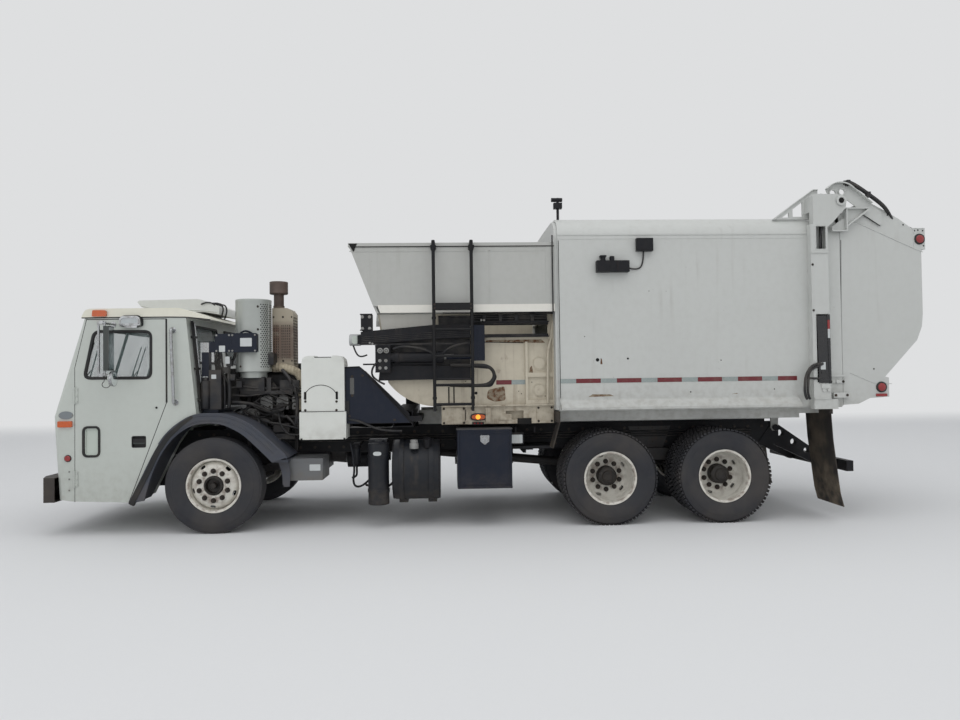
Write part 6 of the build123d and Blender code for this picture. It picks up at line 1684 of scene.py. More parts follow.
        bolts("navy_box_screws", [(x, -1.0, z) for x in (-3.075, -2.935, -2.9, -2.65)
                                  for z in (1.995, 2.17)], TO_PHOTO_SIDE, "chassis", "zinc", 0.007,
              0.005)
        return {"FINISHED"}


class TRUCK_OT_cover(TruckOperator, bpy.types.Operator):
    """Dress the white service cover: skin, notch, arch line, slots and screws"""

    bl_idname = "truck.cover"
    bl_label = "Service cover"

    def execute(self, context):
        top = milli(((-2117, 1300), (-2117, 1838), (-2108, 1884), (-2078, 1916), (-2040, 1926),
                     (-1984, 1926), (-1970, 1904), (-1790, 1904), (-1776, 1926), (-1722, 1926),
                     (-1684, 1916), (-1655, 1884), (-1646, 1838), (-1646, 1300)))
        skin = Form()
        skin.plate(top, "y", -1.116, -0.842, 0.01, 3)
        skin.plate(soft_panel(-2.14, 1.0, -1.63, 1.306, 0.012, 3), "y", -1.122, -0.842, 0.008, 3)
        skin.block((-2.1, -1.119, 1.87), (-1.99, -1.112, 1.905), 0.003)
        skin.block((-1.77, -1.119, 1.87), (-1.665, -1.112, 1.905), 0.003)
        made = skin.piece("cover_skin", "chassis", "cover", "white_plastic", 40.0)
        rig.replaces(made, "service_cover")
        back = Form()
        back.block((-2.09, -0.862, 1.04), (-1.675, -0.842, 1.08), 0.004)
        back.block((-2.09, -0.862, 1.2), (-1.675, -0.842, 1.24), 0.004)
        back.block((-1.9, -0.842, 1.035), (-1.84, -0.43, 1.075), 0.004)
        back.block((-1.9, -0.862, 1.02), (-1.84, -0.842, 1.24), 0.004)
        back.piece("cover_bracket", "chassis", "black", "black_steel")
        dark = Form()
        arch = [(-1.906 + 0.182 * math.cos(a), -1.1165, 1.452 + 0.15 * math.sin(a))
                for a in (math.radians(d) for d in range(0, 181, 15))]
        dark.pipe(arch, 0.0035, 3)
        for x in (-2.088, -1.742):
            dark.plate(soft_panel(x, 1.44, x + 0.026, 1.528, 0.01, 4), "y", -1.1175, -1.112, 0.0008)
        dark.block((-1.972, -1.118, 1.905), (-1.788, -0.86, 1.912), 0.002)
        for x in (-2.13, -1.66):
            dark.block((x, -1.124, 0.997), (x + 0.022, -1.1, 1.016), 0.003)
        dark.pipe(((-2.118, -1.124, 1.308), (-1.645, -1.124, 1.308)), 0.003, 3)
        dark.piece("cover_slots", "chassis", "void", "black_steel")
        bolts("cover_screws", [(x, -1.117, z) for x, z in ((-2.074, 1.422), (-1.733, 1.417),
                                                           (-2.075, 1.325), (-1.734, 1.322))],
              TO_PHOTO_SIDE, "chassis", "nut", 0.009, 0.006)
        side = Form()
        side.block((-1.646, -1.075, 1.275), (-1.602, -0.98, 1.42), 0.008)
        side.pipe(((-1.62, -1.06, 1.215), (-1.52, -1.075, 1.205), (-1.43, -1.072, 1.165),
                   (-1.3, -1.07, 1.105), (-1.16, -1.06, 1.078), (-1.02, -1.05, 1.075)), 0.012, 5)
        side.piece("cover_side_box", "chassis", "hose", "rubber")
        return {"FINISHED"}


class TRUCK_OT_tanks(TruckOperator, bpy.types.Operator):
    """Dress the tanks, the tool box and the rails: straps, caps, latches, labels and bolts"""

    bl_idname = "truck.tanks"
    bl_label = "Tanks and tool box"

    def execute(self, context):
        tank = Form()
        tank.turned([(-1.133, 0.0), (-1.133, 0.3), (-1.126, 0.326), (-1.11, 0.338), (-0.622, 0.338),
                     (-0.606, 0.326), (-0.599, 0.3), (-0.599, 0.0)], TANK_LINE, "x", 72)
        for x in (-1.055, -0.725):
            tank.turned([(x, 0.336), (x, 0.3475), (x + 0.05, 0.3475), (x + 0.05, 0.336)], TANK_LINE,
                        "x", 72)
        for x in (-1.02, -0.69):
            tank.block((x - 0.05, -0.87, 0.25), (x + 0.05, -0.45, 0.292), 0.006)
        tank.turned([(0.262, 0.0), (0.262, 0.105), (0.272, 0.1165), (0.935, 0.1165), (0.945, 0.105),
                     (0.952, 0.075), (0.958, 0.062), (0.972, 0.062), (0.976, 0.0)], FILTER_FOOT,
                    "z", 48)
        for z in (0.4, 0.78):
            tank.turned([(z, 0.116), (z, 0.1225), (z + 0.035, 0.1225), (z + 0.035, 0.116)],
                        FILTER_FOOT, "z", 48)
        tank.turned([(0.686, 0.0), (0.686, 0.04), (0.7, 0.05), (0.86, 0.05), (0.87, 0.04),
                     (0.9, 0.034), (0.9, 0.0)], (-1.56, -0.8, 0.0), "z", 36)
        tank.pipe(((-1.56, -0.8, 0.7), (-1.55, -0.84, 0.62), (-1.56, -0.8, 0.54),
                   (-1.62, -0.7, 0.52)), 0.012, 5)
        tank.pipe(((-1.62, -0.86, 0.93), (-1.56, -0.9, 0.7), (-1.6, -0.88, 0.45),
                   (-1.5, -0.8, 0.42), (-1.42, -0.78, 0.5)), 0.012, 5)
        tank.block((-1.39, -1.02, 0.955), (-1.19, -0.9, 0.985), 0.01, 3)
        tank.piece("tank_skins", "chassis", "tank", "black_steel", 40.0)
        cap = Form()
        cap.turned([(0.88, 0.0), (0.88, 0.048), (0.9, 0.05), (0.935, 0.05), (0.945, 0.044),
                    (0.945, 0.0)], (-0.885, -1.08, 0.0), "z", 36)
        cap.turned([(0.944, 0.0), (0.944, 0.04), (0.955, 0.043), (0.975, 0.041), (0.98, 0.034),
                    (0.98, 0.0)], (-0.885, -1.08, 0.0), "z", 12)
        cap.piece("fuel_cap", "chassis", "alloy", "chrome", 40.0)
        grey = Form()
        grey.block((-2.301, -1.004, 0.538), (-1.911, -0.558, 0.783), 0.014, 3)
        grey.block((-2.306, -1.008, 0.745), (-1.906, -0.99, 0.775), 0.005)
        grey.piece("battery_box_skin", "chassis", "grey_box", "black_steel")
        grey = Form()
        grey.plate(soft_panel(-2.055, 0.645, -1.935, 0.715, 0.006, 3), "y", -1.0065, -1.003, 0.0008)
        grey.plate(soft_panel(0.212, 0.912, 0.335, 1.008, 0.006, 3), "y", -0.9985, -0.996, 0.0008)
        grey.plate(oval((-1.29, 0.835), 0.045, 0.022, 28, 0.75), "y", -1.1375, -1.128, 0.002)
        grey.piece("lower_blank_labels", "chassis", "label", "white_plastic")
        back = Form()
        back.block((0.2, -0.996, 0.9), (0.35, -0.9, 1.03), 0.004)
        back.block((0.2, -0.92, 0.84), (0.7, -0.44, 0.87), 0.004)
        for x in (0.26, 0.48):
            back.disc((x, -0.95, 1.06), 0.012, -0.03, 0.03, "z", 16)
        back.piece("valve_bracket", "chassis", "black", "black_steel")

        lid = Form()
        lid.frame_strip(soft_panel(-0.404, 0.447, 0.197, 1.083, 0.012, 3), "y", -1.171, -1.1775,
                        0.022)
        lid.frame_strip(soft_panel(-0.378, 0.474, 0.171, 1.04, 0.02, 3), "y", -1.1715, -1.1745,
                        0.01)
        for x in (-0.32, 0.11):
            lid.pipe(((x, -1.18, 0.447), (x + 0.09, -1.18, 0.447)), 0.0095, 5)
        lid.piece("tool_box_frame", "tool_box_door", "navy", "navy_paint")
        latch = Form()
        shield = milli(((-150, 1022), (-52, 1022), (-52, 955), (-101, 918), (-150, 955)))
        latch.plate(softened(shield, 0.006, 3), "y", -1.1785, -1.183, 0.0012)
        latch.frame_strip(inset(softened(shield, 0.006, 3), 0.012), "y", -1.1825, -1.186, 0.006)
        latch.disc((-0.101, -1.183, 0.968), 0.011, 0.0, -0.006, edge=0.002)
        latch.block((-0.132, -1.187, 0.998), (-0.07, -1.182, 1.008), 0.001)
        latch.piece("tool_box_latch", "tool_box_door", "chrome", "chrome")
        lid = Form()
        lid.block((-0.414, -1.166, 1.083), (0.207, -0.556, 1.094), 0.003)
        for x in (-0.38, 0.155):
            lid.block((x, -1.05, 0.425), (x + 0.02, -0.7, 0.444), 0.003)
        lid.piece("tool_box_top", "chassis", "dusty", "navy_paint")

        rails = [(x, z) for x in (-3.8 + 0.17 * i for i in range(43))
                 for z in (0.85, 1.02) if not -0.5 < x < 0.3]
        for name, side in (("near", -1), ("far", 1)):
            bolts(f"rail_bolts_{name}", [(x, side * 0.4315, z) for x, z in rails], (0.0, side, 0.0),
                  "chassis", "nut", 0.012, 0.009)
        lines = Form()
        for side in (-1, 1):
            for z, radius in ((0.955, 0.009), (0.925, 0.007), (0.985, 0.011)):
                lines.pipe([(x, side * (0.446 + 0.002 * (i % 2)), z - 0.004 * (i % 2))
                            for i, x in enumerate((-2.4, -1.8, -1.2, -0.6, 0.0, 0.6, 1.2, 1.9, 2.6,
                                                   3.2))], radius, 3)
        lines.pipe(((-1.48, -0.6, 0.42), (-1.36, -0.55, 0.36), (-1.2, -0.5, 0.37),
                    (-1.1, -0.45, 0.5)), 0.014, 5)
        lines.piece("rail_lines", "chassis", "hose", "rubber", 50.0)
        return {"FINISHED"}


class TRUCK_OT_hopper(TruckOperator, bpy.types.Operator):
    """Dress the hopper: seams, band, hatches, braces, tape, lamps and worn spots"""

    bl_idname = "truck.hopper"
    bl_label = "Hopper"

    def execute(self, context):
        for name, side in SIDES.items():
            self.plates(name, side)
            self.lower(name, side)
            self.marks(name, side)
        return {"FINISHED"}

    def plates(self, name, side):
        """Raised seams and the band of the upper hopper."""
        high = Form()
        high.block((-1.566, side * 1.198, 3.06), (0.696, side * 1.2035, 3.072), 0.002)
        high.block((-0.03, side * 1.198, 2.47), (-0.018, side * 1.2035, 3.118), 0.002)
        high.block((0.6, side * 1.198, 2.47), (0.69, side * 1.204, 3.118), 0.003)
        high.pipe(((-1.54, side * 1.202, 3.112), (0.69, side * 1.202, 3.112)), 0.007, 4)
        high.piece(f"hopper_seams_{name}", "load_body", "hopper_top", "hopper_steel")
        band = Form()
        start = -1.262 if side < 0 else -0.7
        band.plate(((start, 2.462), (start + 0.027, 2.385), (0.698, 2.385), (0.698, 2.47),
                    (start, 2.47)), "y", side * 1.19, side * 1.2065, 0.003)
        band.piece(f"hopper_band_{name}", "load_body", "band", "hopper_steel")
        line = Form()
        line.block((-1.545, side * 1.2055, 3.108), (0.696, side * 1.209, 3.119), 0.001)
        line.block((0.672, side * 1.204, 2.4), (0.68, side * 1.206, 3.11), 0.001)
        line.plate(((-1.575, 3.15), (-1.48, 3.15), (-1.52, 3.06)), "y", side * 1.205, side * 1.2085,
                   0.0)
        line.piece(f"hopper_rim_line_{name}", "load_body", "void", "black_steel")

    def lower(self, name, side):
        """Ribs, braces, hatches and the bent pipe of the lower hopper."""
        skin = side * HOPPER_SIDE_Y
        out = side * 1.034
        beige = Form()
        beige.block((0.376, skin, 1.35), (0.404, out, 2.06), 0.004)
        beige.block((0.684, skin, 1.35), (0.704, side * 1.045, 2.3), 0.004)
        for z in (1.684, 1.378):
            beige.block((0.404, skin, z - 0.024), (0.7, side * 1.03, z + 0.024), 0.005)
        beige.pipe(((0.692, side * 1.03, 2.28), (0.676, side * 1.035, 2.1),
                    (0.634, side * 1.045, 1.97), (0.628, side * 1.045, 1.8),
                    (0.623, side * 1.04, 1.36)), 0.014, 6)
        beige.block((-0.06, skin, 2.085), (0.7, side * 1.02, 2.115), 0.004)
        for centre, radius in (((0.5375, 1.8125), 0.07), ((0.535, 1.51), 0.067)):
            beige.turned([(skin, radius + 0.003), (skin, radius + 0.01),
                          (side * 1.006, radius + 0.009), (side * 1.006, radius + 0.003)],
                         (centre[0], 0.0, centre[1]), "y", 40)
        beige.block((-0.575, skin, 1.335), (0.7, side * 1.04, 1.352), 0.004)
        beige.piece(f"hopper_ribs_{name}", "load_body", "hopper", "hopper_steel")
        fore = Form()
        fore.plate(((-1.262, 2.384), (-1.236, 2.2), (-0.66, 2.2), (-0.66, 2.384)), "y", skin,
                   side * 1.003, 0.0)
        fore.piece(f"hopper_fore_{name}", "load_body", "band", "hopper_steel")
        plates = Form()
        for centre, radius in (((0.5375, 1.8125), 0.066), ((0.535, 1.51), 0.063)):
            plates.disc((centre[0], skin, centre[1]), radius, 0.0, side * 0.005, steps=40)
        plates.piece(f"hopper_hatches_{name}", "load_body", "hopper", "hopper_steel")
        dark = Form()
        for x in (-0.492, -0.434):
            dark.block((x - 0.007, skin, 1.344), (x + 0.007, side * 1.004, 1.56), 0.001)
        dark.disc((-0.185, skin, 1.485), 0.017, 0.0, side * 0.002, steps=20)
        for x, z in ((0.3, 1.5), (0.33, 1.47), (0.02, 1.47), (-0.3, 1.62), (0.6, 1.44),
                     (0.45, 1.6)):
            dark.disc((x, skin, z), 0.006, 0.0, side * 0.002, steps=10)
        dark.pipe(((-0.6, side * 1.003, 2.075), (0.36, side * 1.003, 2.048)), 0.004, 3)
        dark.block((0.28, side * 1.001, 1.127), (0.44, side * 1.004, 1.195), 0.001)
        dark.piece(f"hopper_marks_{name}", "load_body", "void", "black_steel")
        panels = Form()
        panels.plate(soft_panel(-0.562, 1.14, -0.315, 1.325, 0.01, 3), "y", skin, side * 1.006,
                     0.002)
        panels.plate(soft_panel(0.074, 1.177, 0.214, 1.245, 0.008, 3), "y", skin, side * 1.008,
                     0.002)
        panels.block((-0.08, skin, 1.15), (-0.02, side * 1.03, 1.32), 0.004)
        panels.block((0.5, skin, 1.14), (0.69, side * 1.012, 1.33), 0.004)
        panels.piece(f"base_panels_{name}", "load_body", "hopper", "hopper_steel")
        bolts(f"base_bolts_{name}", [(x, side * 1.006, z) for x in (-0.55, -0.325)
                                     for z in (1.152, 1.312)] + [(x, side * 1.012, z)
                                                                 for x in (0.52, 0.67)
                                                                 for z in (1.16, 1.31)],
              (0.0, side, 0.0), "load_body", "nut", 0.009, 0.007)

    def marks(self, name, side):
        """Tape, lamps and spots worn to bare rusty steel."""
        skin = side * HOPPER_SIDE_Y
        tape = Form()
        tape.block((0.045, skin, 1.577), (0.376, side * 1.0022, 1.628), 0.0005)
        tape.piece(f"hopper_tape_{name}", "load_body", tape_finish(f"hopper tape {name}", -0.13,
                                                                   0.175, 0.175), "body_paint")
        bezel = Form()
        bezel.plate(oval((-0.161, 1.216), 0.092, 0.041, 40, 0.7), "y", side * 0.99, side * 1.01,
                    0.004, 3)
        bezel.block((-0.232, side * 0.99, 1.126), (-0.101, side * 1.004, 1.16), 0.003)
        bezel.piece(f"base_lamp_bezels_{name}", "load_body", "seal", "rubber")
        amber = Form()
        amber.plate(oval((-0.161, 1.216), 0.076, 0.028, 40, 0.7), "y", side * 1.0, side * 1.019,
                    0.007, 3)
        amber.piece(f"base_lamp_{name}", "load_body", "amber", "glass")
        lit = Form()
        lit.disc((-0.166, side * 1.018, 1.216), 0.027, 0.0, side * 0.004, steps=28, edge=0.002)
        lit.piece(f"base_lamp_bulb_{name}", "load_body", "lit", "glass")
        red = Form()
        for x in (-0.205, -0.166, -0.127):
            red.disc((x, skin, 1.143), 0.01, 0.0, side * 0.009, steps=20, edge=0.003)
        red.piece(f"base_red_lamps_{name}", "load_body", "red", "glass")
        worn = Form()
        worn.plate(softened(((0.03, 1.382), (0.151, 1.4), (0.14, 1.56), (-0.05, 1.52),
                             (-0.065, 1.42)), 0.03, 4), "y", skin, side * 1.0008, 0.0)
        worn.plate(softened(((-0.076, 2.058), (0.61, 2.044), (0.56, 2.09), (0.25, 2.098),
                             (-0.06, 2.082)), 0.012, 4), "y", skin, side * 1.0012, 0.0)
        worn.plate(softened(((0.42, 1.7), (0.47, 1.702), (0.452, 1.79), (0.43, 1.76)), 0.012, 4),
                   "y", skin, side * 1.0008, 0.0)
        worn.piece(f"hopper_worn_{name}", "load_body", "scuff", "hopper_steel")


class TRUCK_OT_drive(TruckOperator, bpy.types.Operator):
    """Dress the packer's drive: hoses, ribs, bolts, rings, lamp and guard"""

    bl_idname = "truck.drive"
    bl_label = "Packer drive"

    def execute(self, context):
        dark = Form()
        for turn in (0.0, 0.02, 0.04, 0.06):
            dark.pipe(((-1.45, -1.131, 2.062 + turn), (-0.65, -1.131, 2.115 + turn),
                       (-0.25, -1.131, 2.125 + turn)), 0.0035, 3)
        dark.block((-1.462, -1.134, 2.036), (-0.245, -1.128, 2.05), 0.001)
        dark.pipe(((-0.55, -1.03, 2.4), (-0.2, -1.04, 2.388), (0.25, -1.04, 2.392),
                   (0.69, -1.03, 2.38)), 0.012, 5)
        dark.pipe(((-0.24, -1.05, 2.325), (0.1, -1.05, 2.315), (0.35, -1.05, 2.33),
                   (0.62, -1.05, 2.318)), 0.014, 5)
        dark.pipe(((-0.6, -1.05, 2.345), (-0.1, -1.05, 2.352), (0.3, -1.05, 2.345),
                   (0.62, -1.05, 2.352)), 0.01, 5)
        dark.block((-0.232, -1.034, 2.262), (0.63, -0.995, 2.372), 0.006)
        dark.block((-0.232, -1.034, 2.118), (0.63, -0.995, 2.146), 0.006)
        dark.block((-0.6, -1.034, 2.255), (-0.232, -0.995, 2.36), 0.006)
        dark.block((-1.3, -1.028, 1.8), (-0.245, -0.995, 2.105), 0.006)
        for x in (-0.1, 0.08, 0.26, 0.44):
            dark.block((x, -1.075, 2.29), (x + 0.035, -1.03, 2.36), 0.006)
        dark.pipe(((-1.1, -1.16, 1.99), (-1.02, -1.185, 2.02), (-0.9, -1.185, 2.01),
                   (-0.72, -1.18, 1.975), (-0.66, -1.16, 1.93)), 0.012, 5)
        dark.pipe(((-0.56, -1.16, 1.93), (-0.5, -1.175, 1.99), (-0.36, -1.16, 2.04),
                   (-0.25, -1.12, 2.05)), 0.012, 5)
        dark.pipe(((-1.28, -1.19, 1.84), (-1.34, -1.185, 1.78), (-1.33, -1.15, 1.66),
                   (-1.2, -1.12, 1.6)), 0.011, 5)
        dark.pipe(((-1.56, -1.01, 2.05), (-1.53, -1.03, 1.95), (-1.47, -1.03, 1.9),
                   (-1.4, -1.05, 1.93)), 0.009, 5)
        dark.piece("drive_hoses", "load_body", "hose", "rubber", 50.0)

        loop = Form()
        ring = [(-0.125 + 0.14 * math.cos(a), -1.163, 1.686 + 0.112 * math.sin(a))
                for a in (math.radians(d) for d in range(90, -91, -20))]
        loop.pipe([(-0.47, -1.15, 1.802), (-0.29, -1.163, 1.8), *ring, (-0.3, -1.15, 1.572),
                   (-0.48, -1.11, 1.58)], 0.019, 8)
        loop.piece("drive_hose_loop", "load_body", "seal", "rubber", 60.0)
        black = Form()
        black.turned([(-1.085, 0.0), (-1.085, 0.06), (-1.07, 0.066), (-1.04, 0.066),
                      (-1.035, 0.0585), (-0.615, 0.0585), (-0.61, 0.068), (-0.56, 0.068),
                      (-0.545, 0.06), (-0.545, 0.03), (-0.53, 0.03), (-0.53, 0.0)], BARREL_LINE,
                     "x", 40)
        black.block((-1.298, -1.184, 1.73), (-1.127, -1.176, 1.742), 0.002)
        black.block((-1.298, -1.186, 2.018), (-1.127, -1.176, 2.032), 0.002)
        black.block((-1.295, -1.184, 1.738), (-1.283, -1.176, 2.02), 0.002)
        black.block((-1.142, -1.184, 1.738), (-1.13, -1.176, 2.02), 0.002)
        black.block((-1.44, -1.105, 1.815), (-0.66, -1.04, 1.832), 0.003)
        black.block((-1.466, -1.126, 2.196), (-1.33, -1.11, 2.21), 0.002)
        black.block((-1.466, -1.126, 2.372), (-1.33, -1.11, 2.385), 0.002)
        black.piece("drive_trim", "load_body", "black", "black_steel")
        post = Form()
        for x in (-0.222, -0.162, -0.102):
            post.block((x, -1.156, 1.87), (x + 0.012, -1.149, 2.22), 0.002)
        post.turned([(-0.235, 0.0), (-0.235, 0.034), (-0.222, 0.034), (-0.222, 0.0)], BARREL_LINE,
                    "x", 24)
        post.piece("packer_post_ribs", "packer", "navy", "navy_paint")
        bolts("drive_bolts", [(-1.246, -1.18, 1.78), (-1.18, -1.18, 1.78), (-1.246, -1.18, 1.86),
                              (-1.18, -1.18, 1.86), (-1.44, -1.124, 2.22), (-1.36, -1.124, 2.22),
                              (-1.44, -1.124, 2.35), (-1.36, -1.124, 2.35)], TO_PHOTO_SIDE,
              "load_body", "zinc", 0.012, 0.009)
        rings = Form()
        for x, z in ((-1.173, 1.97), (-1.24, 1.97)):
            rings.turned([(-1.198, 0.018), (-1.198, 0.03), (-1.207, 0.03), (-1.209, 0.027),
                          (-1.209, 0.018)], (x, 0.0, z), "y", 32)
            rings.disc((x, -1.198, z), 0.013, 0.0, -0.004, steps=20)
        rings.turned([(-0.545, 0.0), (-0.545, 0.032), (-0.52, 0.034), (-0.515, 0.028), (-0.5, 0.0)],
                     BARREL_LINE, "x", 32)
        for x, z in ((-1.36, 2.06), (-1.33, 2.05), (-0.12, 2.3), (-0.09, 2.3)):
            rings.disc((x, -1.12, z), 0.013, 0.0, -0.02, steps=16, edge=0.004)
        rings.turned([(-0.62, 0.0), (-0.62, 0.018), (-0.43, 0.018), (-0.43, 0.0)],
                     (0.0, -1.15, 1.91), "x", 16)
        rings.piece("drive_fittings", "load_body", "zinc", "chrome")
        lamp = Form()
        lamp.turned([(-1.598, 0.03), (-1.598, 0.06), (-1.59, 0.066), (-1.48, 0.066),
                     (-1.468, 0.055), (-1.468, 0.0), (-1.58, 0.0), (-1.58, 0.03)], (0.0, -1.0, 2.1),
                    "x", 36)
        lamp.piece("drive_lamp_case", "load_body", "silver", "chrome")
        lens = Form()
        lens.plate(oval((-1.532, 2.098), 0.034, 0.044, 32, 0.6), "y", -1.06, -1.0685, 0.004)
        lens.piece("drive_lamp_glass", "load_body", "peep", "glass")

        skin = Form()
        skin.plate(((-1.648, 1.168), (-1.648, 1.788), (-1.478, 1.796), (-0.905, 1.168)), "y", -1.06,
                   -1.0622, 0.001)
        skin.piece("guard_skin", "chassis", "navy", "navy_paint")
        edge = Form()
        edge.pipe(((-1.648, -1.064, 1.172), (-1.648, -1.064, 1.79)), 0.006, 4, order=2)
        edge.pipe(((-1.65, -1.064, 1.792), (-1.475, -1.064, 1.798), (-0.9, -1.064, 1.15)), 0.008, 4,
                  order=2)
        edge.piece("guard_edges", "chassis", "black", "black_steel")
        red = Form()
        red.plate(soft_panel(-1.59, 1.493, -1.545, 1.675, 0.006, 3), "y", -1.06, -1.0655, 0.002)
        red.piece("guard_plate", "chassis", "smoked", "glass")
        bolts("guard_bolts", [(-1.567, -1.062, 1.478), (-1.567, -1.062, 1.69), (-1.45, -1.062, 1.7),
                              (-1.6, -1.062, 1.25), (-1.1, -1.062, 1.2)], TO_PHOTO_SIDE, "chassis",
              "nut", 0.01, 0.008)
        return {"FINISHED"}


class TRUCK_OT_ladder(TruckOperator, bpy.types.Operator):
    """Dress the ladder: rung tubes, clamps and the sign plate"""

    bl_idname = "truck.ladder"
    bl_label = "Ladder"

    def execute(self, context):
        made = Form()
        for x in (-0.644, -0.23):
            made.block((x - 0.032, -1.326, 3.078), (x + 0.032, -1.19, 3.11), 0.006)
            made.pipe(((x, -1.312, 1.356), (x, -1.312, 3.16)), 0.0185, 12, order=2)
            for z in (1.43, 2.3, 3.05):
                made.turned([(z, 0.0), (z, 0.024), (z + 0.028, 0.024), (z + 0.028, 0.0)],
                            (x, -1.31, 0.0), "z", 16)
        for z in (1.375, 1.585, 1.9, 2.19):
            made.pipe(((-0.644, -1.312, z), (-0.23, -1.312, z)), 0.0155, 10, order=2)
        made.piece("ladder_tubes", "load_body", "ladder", "hopper_steel", 60.0)
        sign = Form()
        sign.block((-0.655, -1.3335, 2.403), (-0.219, -1.328, 2.476), 0.002)
        sign.piece("ladder_plate", "load_body", "ladder", "hopper_steel")
        bolts("ladder_bolts", [(x, -1.334, z) for x in (-0.635, -0.24) for z in (2.42, 2.46)],
              TO_PHOTO_SIDE, "load_body", "nut", 0.008, 0.006)
        return {"FINISHED"}


class TRUCK_OT_body(TruckOperator, bpy.types.Operator):
    """Dress the body: seams, tape, boxes, knobs, conduits and worn spots"""

    bl_idname = "truck.body"
    bl_label = "Load body"

    def execute(self, context):
        for name, side in SIDES.items():
            skin = side * BODY_SIDE_Y
            seams = Form()
            seams.block((0.735, skin, 3.226), (3.556, side * 1.2235, 3.234), 0.001)
            seams.block((0.735, skin, 3.184), (3.556, side * 1.2228, 3.189), 0.001)
            for x in (1.95, 2.95):
                seams.block((x, skin, 3.19), (x + 0.004, side * 1.2225, 3.228), 0.001)
            seams.pipe(((0.74, side * 1.219, 1.402), (3.42, side * 1.219, 1.402)), 0.006, 4,
                       order=2)
            seams.piece(f"body_seams_{name}", "load_body", "body", "body_paint")
            tape = Form()
            tape.block((0.737, skin, 1.584), (3.411, side * 1.2222, 1.633), 0.0005)
            tape.piece(f"body_tape_{name}", "load_body", tape_finish(f"body tape {name}", 0.737,
                                                                     0.275, 0.18), "body_paint")
            spots = Form()
            for x, z, radius in ((1.16, 1.84, 0.02), (1.5, 1.85, 0.012), (2.55, 1.82, 0.007),
                                 (1.02, 2.1, 0.006), (2.2, 1.47, 0.008), (3.15, 1.49, 0.007),
                                 (1.75, 2.6, 0.005)):
                spots.disc((x, skin, z), radius, 0.0, side * 0.0015, steps=14)
            spots.pipe(((0.742, side * 1.221, 1.42), (0.742, side * 1.221, 3.17)), 0.0035, 3,
                       order=2)
            spots.piece(f"body_spots_{name}", "load_body", "void", "black_steel")
            worn = Form()
            worn.plate(softened(((1.05, 1.43), (1.34, 1.435), (1.3, 1.455), (1.1, 1.46)), 0.008, 3),
                       "y", skin, side * 1.2208, 0.0)
            worn.plate(softened(((1.19, 1.79), (1.215, 1.79), (1.208, 1.85), (1.196, 1.86)), 0.008,
                                3), "y", skin, side * 1.2208, 0.0)
            worn.plate(softened(((2.66, 1.44), (2.74, 1.443), (2.72, 1.452)), 0.003, 3), "y", skin,
                       side * 1.2208, 0.0)
            worn.piece(f"body_worn_{name}", "load_body", "scuff", "hopper_steel")

        black = Form()
        black.block((1.607, -1.284, 3.041), (1.79, -1.219, 3.183), 0.006, 3)
        black.block((1.616, -1.288, 3.052), (1.781, -1.27, 3.172), 0.004)
        black.block((1.155, -1.304, 2.808), (1.516, -1.219, 2.933), 0.006, 3)
        for x in (1.3, 1.37):
            black.block((x, -1.307, 2.812), (x + 0.006, -1.29, 2.929), 0.001)
        for x in (1.23, 1.33):
            black.disc((x, -1.265, 2.93), 0.0275, 0.0, 0.055, "z", 24, 0.006)
        black.block((1.195, -1.3, 2.975), (1.262, -1.228, 2.992), 0.004)
        black.turned([(3.43, 0.0), (3.43, 0.0155), (3.722, 0.0155), (3.722, 0.0)],
                     (0.79, -0.9, 0.0), "z", 16)
        black.block((0.742, -0.933, 3.597), (0.838, -0.867, 3.663), 0.006, 3)
        black.turned([(0.717, 0.0), (0.717, 0.0235), (0.843, 0.0235), (0.843, 0.0)],
                     (0.0, -0.9, 3.7), "x", 20)
        black.block((0.768, -0.93, 3.425), (0.812, -0.87, 3.437), 0.002)
        black.piece("body_boxes", "load_body", "black", "black_steel")
        hose = Form()
        hose.pipe(((0.673, -1.222, 2.36), (0.671, -1.224, 2.8), (0.673, -1.222, 3.23)), 0.008, 5)
        hose.pipe(((1.513, -1.235, 2.86), (1.62, -1.232, 2.83), (1.69, -1.232, 2.9),
                   (1.69, -1.24, 3.04)), 0.008, 5)
        hose.piece("body_conduits", "load_body", "hose", "rubber", 50.0)
        return {"FINISHED"}


